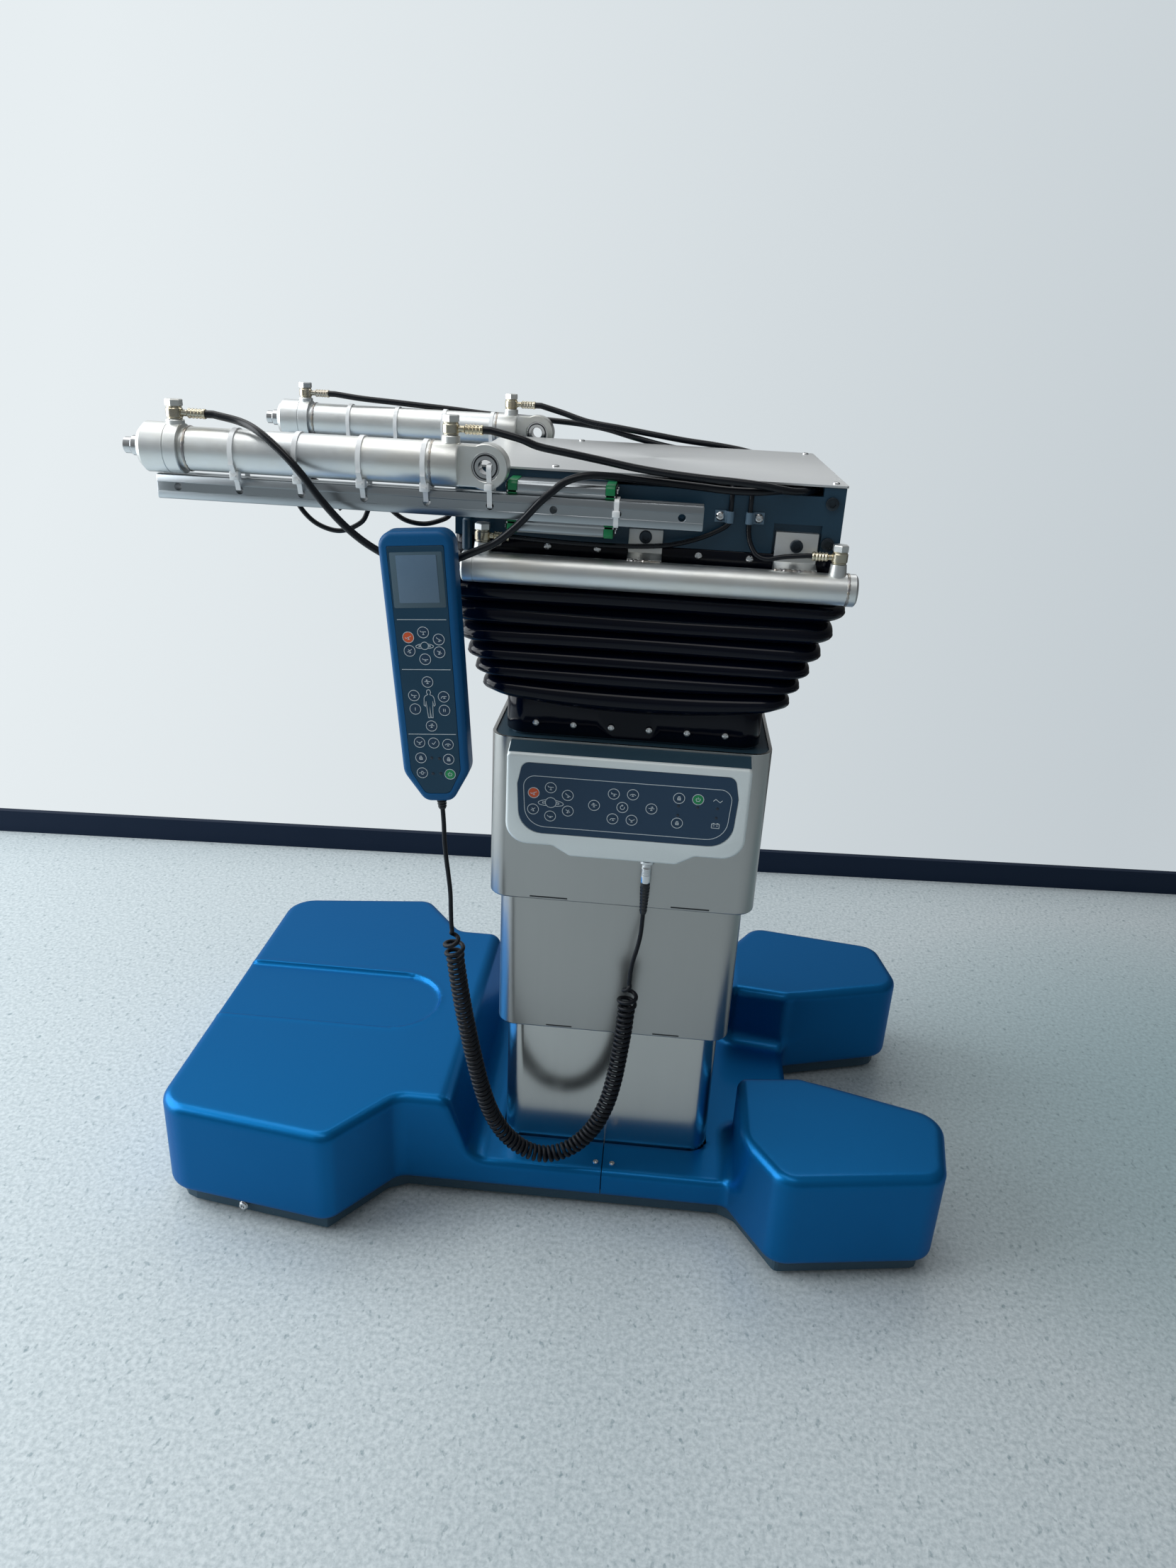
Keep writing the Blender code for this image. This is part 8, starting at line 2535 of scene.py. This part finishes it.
@dataclass
class HandsetCord:
    """The curly cord from the panel's plug up to the handset, with its two straight tails."""

    finishes: Finishes
    radius: float = 0.0024
    curls: int = 90
    points_per_curl: int = 20
    coarse_per_curl: int = 8
    curl_radius: float = 0.0076
    flare: float = 1.2
    keep: float = 0.2
    loose: float = 0.3
    loosest: float = 1.3
    spread: float = 2.2
    fade: float = 1.2
    overlap: float = 0.0003
    plug_exit: Point = (0.026, -0.176, 0.4122)
    low_route: tuple[Point, ...] = (
        (0.0253, 0.0228, -0.421), (0.0228, 0.0245, -0.438), (0.019, 0.0265, -0.455), (0.0172, 0.0285, -0.469))
    coil_route: tuple[Point, ...] = (
        (0.017, 0.0292, -0.478), (0.0166, 0.03, -0.488), (0.0158, 0.031, -0.5123), (0.0144, 0.033, -0.54),
        (0.0122, 0.034, -0.5659), (0.0098, 0.036, -0.589), (0.0066, 0.038, -0.6144), (0.0003, 0.041, -0.643),
        (-0.0105, 0.044, -0.671), (-0.0254, 0.047, -0.6926), (-0.0431, 0.05, -0.707),
        (-0.0626, 0.053, -0.7135), (-0.082, 0.055, -0.7115), (-0.101, 0.057, -0.7002),
        (-0.1184, 0.059, -0.6805), (-0.1325, 0.061, -0.6528), (-0.143, 0.063, -0.6187),
        (-0.1513, 0.064, -0.582), (-0.159, 0.066, -0.5398), (-0.1657, 0.067, -0.5), (-0.1711, 0.068, -0.4605),
        (-0.1745, 0.069, -0.4299), (-0.1768, 0.07, -0.4047))
    high_route: tuple[Point, ...] = (
        (-0.1845, 0.072, -0.283), (-0.1838, 0.072, -0.302), (-0.1822, 0.0717, -0.322),
        (-0.1798, 0.0714, -0.343), (-0.178, 0.071, -0.363), (-0.1776, 0.0706, -0.383))

    def coil_points(self, per_curl: int) -> np.ndarray:
        """Points of the coil about its smooth axis, drawn in to the axis at both ends.

        Args:
            per_curl: points to each curl.

        Returns:
            The points.
        """
        steps = self.curls * per_curl
        axis = even_curve(placed(self.coil_route, -1), self.radius)
        walked = np.concatenate([[0], np.cumsum(np.linalg.norm(np.diff(axis, axis=0), axis=1))])
        lead = 2 * self.radius
        turns = np.arange(steps + 1) / per_curl
        ends = np.exp(-turns / self.fade) + np.exp(-(self.curls - turns) / self.fade)
        paces = np.concatenate([[0], np.cumsum(1 + self.spread * (ends[1:] + ends[:-1]) / 2)])
        stops = lead + paces / paces[-1] * (walked[-1] - 2 * lead)
        centre = np.stack([np.interp(stops, walked, axis[:, i]) for i in range(3)], axis=1)
        along = np.gradient(centre, axis=0)
        along /= np.linalg.norm(along, axis=1)[:, None]
        side = np.cross(along[0], (0, 1, 0))
        points = []
        for i in range(steps + 1):
            side = side - along[i] * np.dot(side, along[i])
            side /= np.linalg.norm(side)
            up = np.cross(along[i], side)
            angle = tau * i / per_curl
            share = min(1.0, min(i, steps - i) / per_curl / self.flare)
            near_end = min(turns[i], self.curls - turns[i])
            wide = 1 + self.loose * exp(-(near_end - self.loosest) ** 2)
            reach = self.curl_radius * wide * sin(share * pi / 2)
            points.append(centre[i] + reach * (cos(angle) * side + sin(angle) * up))
        return np.array([axis[0], *points, axis[-1]])

    def build(self, plug_pieces: Sequence[Item], cord_top: tuple[Point, Point]) -> None:
        """Builds the coil and both tails.

        Args:
            plug_pieces: the plug's pieces.
            cord_top: where the cord leaves the handset, and its heading there.
        """
        coil = self.coil_points(self.points_per_curl)
        coarse = self.coil_points(self.coarse_per_curl)
        first, last = coarse[1] - coarse[0], coarse[-1] - coarse[-2]
        first, last = first / np.linalg.norm(first), last / np.linalg.norm(last)
        foot = (tuple(coarse[0] - self.overlap * first), tuple(first))
        head = (tuple(coarse[-1] + self.overlap * last), tuple(-last))
        low = run_points(placed(self.low_route, -1), 0.003, self.radius, (self.plug_exit, (0, 0, -1)), foot)
        high = run_points(placed(self.high_route, -1), 0.003, self.radius, cord_top, head)
        rise = (head[0][2] - foot[0][2]) * (1 - self.keep)
        tail_keep = 1 - rise / (self.plug_exit[2] - foot[0][2])
        for name, points, node, anchor, keep, far_end, pieces in (
                (
                    "cord_plug_tail", low, "handset_cord_lower", self.plug_exit, tail_keep, "fitting",
                    plug_pieces), ("cord_coil", coil, "handset_cord_coil", head[0], self.keep, "object", ())):
            made = self.piece(name, points, node, far_end, pieces)
            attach(made, Body.UPPER.value)
            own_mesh(made)
        stages = (
            (Body.HANDSET, Body.SLIDE_FRAME), (Body.SLIDE_FRAME, Body.GIMBAL), (Body.GIMBAL, Body.UPPER))
        cuts = [round(len(high) * i / len(stages)) for i in range(len(stages) + 1)]
        for i, (upper, lower) in enumerate(stages):
            points = high[cuts[i]:cuts[i + 1] + 1]
            made = self.piece(f"cord_handset_tail_{i + 1}", points, "handset_cord_upper", "object", ())
            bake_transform(made)

    def piece(self, name: str, points: np.ndarray, node: str, far_end: str, pieces: Sequence[Item]) -> Item:
        """One stretch of cord.

        Args:
            name: the piece's name.
            points: its middle line.
            node: the CAD node that it replaces.
            far_end: what its end meets, not used.
            pieces: pieces that go with it, not used.

        Returns:
            The piece, not yet on a body.
        """
        made = show(name, sweep(points, self.radius, 12), self.finishes.cord)
        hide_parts(node)
        return made


@dataclass
class Handset:
    """Hand control: rubber shell, printed face, display, keys, hook and cord relief."""

    finishes: Finishes
    repeater: Repeater
    top: Point = (-0.209, -0.212, 0.8262)
    tilt: float = 0.08203
    thickness: float = 0.028
    edge: float = 0.005
    length: float = 0.271
    outline: tuple[Corner, ...] = (
        (0.0352, -0.0035, 0.014), (-0.0352, -0.0035, 0.014), (-0.0331, -0.24, 0.02), (-0.014, -0.271, 0.012),
        (0.014, -0.271, 0.012), (0.0331, -0.24, 0.02))
    face_line: tuple[Corner, ...] = (
        (0.0266, -0.0165, 0.002), (-0.0266, -0.0165, 0.002), (-0.0247, -0.2375, 0.014),
        (-0.012, -0.2615, 0.008), (0.012, -0.2615, 0.008), (0.0247, -0.2375, 0.014))
    screen: tuple[Corner, ...] = (
        (0.019, -0.0246, 0.0008), (-0.019, -0.0246, 0.0008), (-0.019, -0.069, 0.0008),
        (0.019, -0.069, 0.0008))
    surround: tuple[Corner, ...] = (
        (0.0246, -0.0219, 0.0015), (-0.0246, -0.0219, 0.0015), (-0.0246, -0.0737, 0.0015),
        (0.0246, -0.0737, 0.0015))
    keys: tuple[Key, ...] = (
        Key(-0.0144, -0.1017, Icon.HEAD_LOW, "orange"), Key(0.0003, -0.0971, Icon.UP),
        Key(0.0147, -0.1041, Icon.HEAD_HIGH), Key(-0.0143, -0.1148, Icon.TILT_LEFT),
        Key(0.0, -0.1232, Icon.DOWN), Key(0.0143, -0.1165, Icon.TILT_RIGHT),
        Key(0.0006, -0.1101, Icon.ABOVE, "dark", False, 0.7), Key(0.0001, -0.1457, Icon.SLIDE_BACK),
        Key(-0.0144, -0.1592, Icon.BACK_UP), Key(0.0146, -0.1607, Icon.BACK_DOWN),
        Key(-0.0143, -0.1728, Icon.ONE), Key(0.0142, -0.1744, Icon.TWO), Key(0.0001, -0.1903, Icon.SLIDE),
        Key(0.0002, -0.1676, Icon.FIGURE, "dark", False, 1.22), Key(-0.0134, -0.2072, Icon.REFLEX),
        Key(0.0007, -0.208, Icon.SAVE), Key(0.0147, -0.2095, Icon.FLEX), Key(-0.0135, -0.2235, Icon.LOCK),
        Key(0.0141, -0.2251, Icon.LOCK), Key(-0.0136, -0.2394, Icon.LEVEL),
        Key(0.0142, -0.241, Icon.POWER, "green"))
    lamps: tuple[Flat, ...] = ((-0.0028, -0.2236), (0.0049, -0.2244), (-0.0029, -0.2402), (0.0049, -0.2402))
    dividers: tuple[float, ...] = (-0.0845, -0.133, -0.1985)

    def __post_init__(self) -> None:
        """Sets the handset's place."""
        self.place = at(*self.top, Matrix.Rotation(-self.tilt, 4, "Y"))

    def cord_top(self) -> tuple[Point, Point]:
        """Where the cord leaves.

        Returns:
            The point and the heading.
        """
        tip = self.place @ Vector((0, -self.thickness / 2, -self.length - 0.0133))
        heading = self.place.to_3x3() @ Vector((0, 0, -1))
        return tuple(tip), tuple(heading)

    def shell(self) -> Form:
        """The rubber shell with its recess and hook.

        Returns:
            The form.
        """
        depth = self.thickness
        arc = [radians(turn) for turn in (0, 18, 36, 54, 72, 90)]
        rings = [
            front_ring(rounded(self.outline, self.edge * (1 - sin(a))), -self.edge * (1 - cos(a)))
            for a in arc]
        rings += [
            front_ring(rounded(self.outline, self.edge * (1 - cos(a))), -depth + self.edge * (1 - sin(a)))
            for a in arc]
        form = Form().loft(rings)
        recess = pane(self.face_line, (0.0009 - depth, -0.0004), (-depth - OVERRUN, -0.0004))
        form = form.merged(recess, "DIFFERENCE")
        crest = 0.7874 - self.top[2] + 0.0015 + 0.003
        half, sheet, reach, drop = 0.006, 0.003, 0.015, 0.012
        section = [
            (-sheet, crest), (-sheet, crest - sheet), (reach - sheet, crest - sheet),
            (reach - sheet, crest - sheet - drop), (reach, crest - sheet - drop), (reach, crest)]
        hook = Form().loft([end_ring(section, -half), end_ring(section, half)]).softened(0.0008)
        return form.merged(hook)

    def relief(self) -> Form:
        """The ribbed cord relief.

        Returns:
            The form.
        """
        low = -self.length
        profile = [(low - 0.013, 0), (low - 0.013, 0.0034)]
        for i in range(4):
            z, radius = low - 0.0115 + i * 0.003, 0.0038 + i * 0.0003
            profile += [
                (z, radius), (z + 0.0003, radius + 0.0005), (z + 0.0014, radius + 0.0006),
                (z + 0.0018, radius)]
        profile += [(low + 0.001, 0.005), (low + 0.001, 0)]
        return Form().lathe(profile, 32, place=self.place @ Matrix.Translation((0, -self.thickness / 2, 0)))

    def build(self) -> None:
        """Builds the handset."""
        looks, depth = self.finishes, self.thickness
        shell = self.shell()
        shell.mesh.transform(self.place)
        put("handset_case", shell, looks.grip, Body.HANDSET, "handset_shell", sharp=CASE_ANGLE)
        put("handset_relief", self.relief(), looks.black, Body.HANDSET)
        front = -depth - PROUD
        film = pane(self.face_line, (BEDDED - depth, 0.0), (-depth, 0.0), (front, 0.0002), place=self.place)
        border = pane(
            self.surround, (front + HAIR, 0.0), (front - HAIR, 0.0), (front - 2 * HAIR, 0.0002),
            place=self.place)
        glass = pane(
            self.screen, (front - HAIR, 0.0), (front - 4 * HAIR, 0.0), (front - 5 * HAIR, 0.0003),
            place=self.place)
        put("handset_face", film, looks.face, Body.HANDSET, "handset_keypad")
        put("handset_screen_border", border, looks.border, Body.HANDSET)
        put("handset_screen", glass, looks.glass, Body.HANDSET, "handset_display")
        face = self.place @ Matrix.Translation((0, front, 0)) @ TO_FRONT
        lines = [([(-0.0235, z), (0.0235, z - 0.0008)], False) for z in self.dividers]
        Keypad(
            "handset", self.keys, self.lamps, 0.0053, 0.0005, face).build(
                looks, self.repeater, Body.HANDSET, lines)


@dataclass
class CableTies:
    """Clear nylon ties that strap the cylinders to the rails for transport."""

    finishes: Finishes
    repeater: Repeater
    width: float = 0.0046
    thick: float = 0.0012
    places: tuple[float, ...] = (-0.3866, -0.3266, -0.2666, -0.2066)

    @staticmethod
    def across(form: Form, side: int) -> Form:
        """Stands a strap upright across the rail of a side.

        Args:
            form: the strap, lying flat.
            side: -1 for the front rail, 1 for the rear.

        Returns:
            The strap.
        """
        form.mesh.transform(Matrix(((0, 0, 1, 0), (-side, 0, 0, 0), (0, 1, 0, 0), (0, 0, 0, 1))))
        bmesh.ops.recalc_face_normals(form.mesh, faces=form.mesh.faces[:])
        return form

    def loop(self, side: int, axis_z: float, hole_z: float) -> Form:
        """A strap round the barrel and through a bolt hole, with its head and cut tail.

        Args:
            side: -1 for the front rail, 1 for the rear.
            axis_z: height of the barrel's axis.
            hole_z: height of the bolt hole.

        Returns:
            The form.
        """
        radius, out = 0.0208, 0.1902
        line = [(0.1955, hole_z + 0.0012), (0.1975, hole_z + 0.008), (out + radius * 0.97, axis_z - 0.01)]
        for turn in np.linspace(-20, 200, 30):
            a = radians(turn)
            line.append((out + radius * cos(a), axis_z + radius * sin(a)))
        line += [
            (0.1708, axis_z - 0.018), (0.1705, hole_z + 0.006), (0.1712, hole_z + 0.0012),
            (0.18, hole_z + 0.0006)]
        form = Form().ribbon(
            [(-y, z - hole_z) for y, z in line], self.thick, -self.width / 2, self.width / 2, closed=True)
        head = Form().block((-0.205, 0.0105, -0.0045), (-0.1968, 0.019, 0.0045)).softened(0.001)
        tail = Form().block((-0.2075, 0.014, -self.width / 2), (-0.2045, 0.0153, self.width / 2))
        return self.across(form.merged(head).merged(tail), side)

    def small_loop(self, corners: Sequence[Flat], side: int) -> Form:
        """A strap in a plane across the rail, with a head on its outer side.

        Args:
            corners: the strap's corners, in y and z.
            side: -1 for the front rail, 1 for the rear.

        Returns:
            The form.
        """
        outline = rounded([(y, z, 0.003) for y, z in corners], 0.0, 5)
        form = Form().ribbon(outline, self.thick, -self.width / 2, self.width / 2, closed=True)
        outer = min(y for y, z in corners)
        middle = sum(z for y, z in corners) / len(corners)
        head = Form().block(
            (outer - 0.004, middle - 0.003, -0.0036), (outer + 0.0015, middle + 0.003, 0.0036))
        return self.across(form.merged(head.softened(0.0008)), side)

    def build(self) -> None:
        """Spreads the ties along both rails."""
        spots = [((x, 0, 0.8425), (0, 0, 1)) for x in self.places]
        for tag, side, body in (("front", -1, Body.RAIL_FRONT), ("rear", 1, Body.RAIL_REAR)):
            form = self.loop(side, 0.878, 0.8425)
            self.repeater.spread(f"cable_ties_{tag}", form, self.finishes.tie, spots, body, turn_swing=0.0)
        eye = self.small_loop(
            [
                (-0.1952, 0.8407), (-0.1952, 0.8455), (-0.2025, 0.876), (-0.2025, 0.88), (-0.178, 0.88),
                (-0.178, 0.876), (-0.1708, 0.8455), (-0.1708, 0.8407)][::-1], -1)
        eye.mesh.transform(Matrix.Translation((-0.1466, 0, 0)))
        rail = self.small_loop(
            [(-0.1948, 0.83), (-0.1948, 0.855), (-0.1708, 0.855), (-0.1708, 0.83)][::-1], -1)
        rail.mesh.transform(Matrix.Translation((-0.0277, 0, 0)))
        put("cable_tie_eye", eye, self.finishes.tie, Body.RAIL_FRONT)
        put("cable_tie_rail", rail, self.finishes.tie, Body.RAIL_FRONT)


# ---------------------------------------------------------------- stage

@dataclass
class Studio:
    """Floor, skirting, lights, surroundings and camera."""

    finishes: Finishes
    focal: float = 24.769
    place: Point = (0.021053, -1.21661, 0.9984743)
    yaw: float = 3.4577
    pitch: float = 22.7679
    roll: float = 3.0175
    wall_left: Flat = (-1.289, 0.677)
    wall_right: Flat = (1.107, 0.814)

    def camera(self) -> None:
        """Places the camera as the photograph was taken."""
        yaw, pitch, roll = (radians(angle) for angle in (self.yaw, self.pitch, self.roll))
        ahead = Vector((-sin(yaw) * cos(pitch), cos(yaw) * cos(pitch), -sin(pitch)))
        right = Vector((cos(yaw), sin(yaw), 0))
        down = ahead.cross(right)
        across = right * cos(roll) - down * sin(roll)
        below = right * sin(roll) + down * cos(roll)
        turn = Matrix((across, -below, -ahead)).transposed()
        lens = bpy.data.cameras.new("photo_camera")
        lens.lens, lens.sensor_width, lens.sensor_fit = self.focal, 36.0, "AUTO"
        lens.clip_start, lens.clip_end = 0.01, 60.0
        made = linked("photo_camera", lens)
        made.matrix_world = Matrix.Translation(self.place) @ turn.to_4x4()
        bpy.context.scene.camera = made

    def floor(self) -> None:
        """The floor up to the wall, and the skirting's foot."""
        left, right = Vector(self.wall_left), Vector(self.wall_right)
        along = (right - left).normalized()
        a, b = left - along * 6, right + along * 6
        near = Vector((along.y, -along.x)) * 9
        outline = [tuple(a), tuple(a + near), tuple(b + near), tuple(b)]
        floor = show("floor", Form().loft([level(outline, -0.02), level(outline, 0.0)]), self.finishes.floor)
        back = Vector((-along.y, along.x)) * 0.012
        strip = [tuple(a), tuple(b), tuple(b + back), tuple(a + back)]
        skirting = show(
            "skirting", Form().loft([level(strip, -0.01), level(strip, 0.046)]), self.finishes.skirting)

    def light(self, name: str, place: Point, target: Point, size: Flat, power: float, colour: Colour) -> None:
        """An area light that faces a target.

        Args:
            name: the light's name.
            place: where it hangs.
            target: what it faces.
            size: its length and width.
            power: its power in watts.
            colour: its colour.
        """
        lamp = bpy.data.lights.new(name, "AREA")
        lamp.shape, lamp.size, lamp.size_y = "RECTANGLE", *size
        lamp.energy, lamp.color = power, colour
        made = linked(name, lamp)
        made.location = place
        made.rotation_euler = (Vector(target) - Vector(place)).to_track_quat("-Z", "Y").to_euler()

    def lights(self) -> None:
        """Soft daylight from the left and behind, and two rows of ceiling lights."""
        self.light("daylight", (-2.9, -0.2, 1.6), (0, 0, 0.3), (3.2, 2.8), 118.0, (0.93, 0.97, 1.0))
        self.light("ceiling_near", (-0.6, -0.7, 3.0), (0, 0, 0.3), (3.0, 0.9), 16.0, (1.0, 0.99, 0.97))
        self.light("ceiling_far", (-0.4, 1.3, 3.0), (0, 0.3, 0.3), (3.4, 0.9), 18.0, (1.0, 0.99, 0.97))

    def surroundings(self) -> None:
        """A pale room, bright on the left behind the table and dim on the right; the wall itself is paler."""
        room = Recipe("pale_room", world=True)
        window, high, front = (room.along(way) for way in ((-0.755, 0.554, 0.352), (0, 0, 1), (0, -1, 0)))
        bright, above, ahead = (way.maths("MAXIMUM", way, 0.0) for way in (window, high, front))
        glow = 0.085 + bright ** 1.5 * 0.62 + above * 0.16 + ahead * 0.12
        shade = room.mixed(glow.clamped(), (0.0, 0.0, 0.0), (0.93, 0.975, 1.0))
        # The wall that only the camera sees is painted light and shade: paler to the left and higher up,
        # darker to the right.
        wall = room.mixed(
            (room.along((1, 0, 0)) * 1.05 + 0.5 - high * 0.25).clamped(), (0.8, 0.855, 0.88),
            (0.545, 0.6, 0.635))
        seen = room.node("ShaderNodeLightPath").outputs["Is Camera Ray"]
        bpy.context.scene.world = room.finished(Color=room.mixed(seen, shade, wall))
        bpy.context.scene.view_settings.view_transform = "Standard"

    def build(self) -> None:
        """Builds the stage."""
        self.floor()
        self.lights()
        self.surroundings()


def main() -> None:
    """Builds the scene in order."""
    finishes = Finishes()
    repeater = Repeater()
    studio = Studio(finishes)
    studio.camera()
    handset = Handset(finishes, repeater)
    handset.build()
    panel = ControlPanel(finishes, repeater)
    plug_pieces = panel.connector()
    HandsetCord(finishes).build(plug_pieces, handset.cord_top())
    Hoses(finishes).build()
    BaseCovers(finishes).build()
    BaseFittings(finishes).build()
    ColumnShells(finishes).build()
    panel.build()
    Bellows(finishes).build()
    SlideFrame(finishes, repeater).build()
    GuideRails(finishes, repeater).build()
    fittings = HoseFittings(finishes)
    TabletopCylinders(finishes, fittings).build()
    TranslationCylinder(finishes, fittings, repeater).build()
    CableTies(finishes, repeater).build()
    studio.build()


if __name__ == "__main__":
    main()
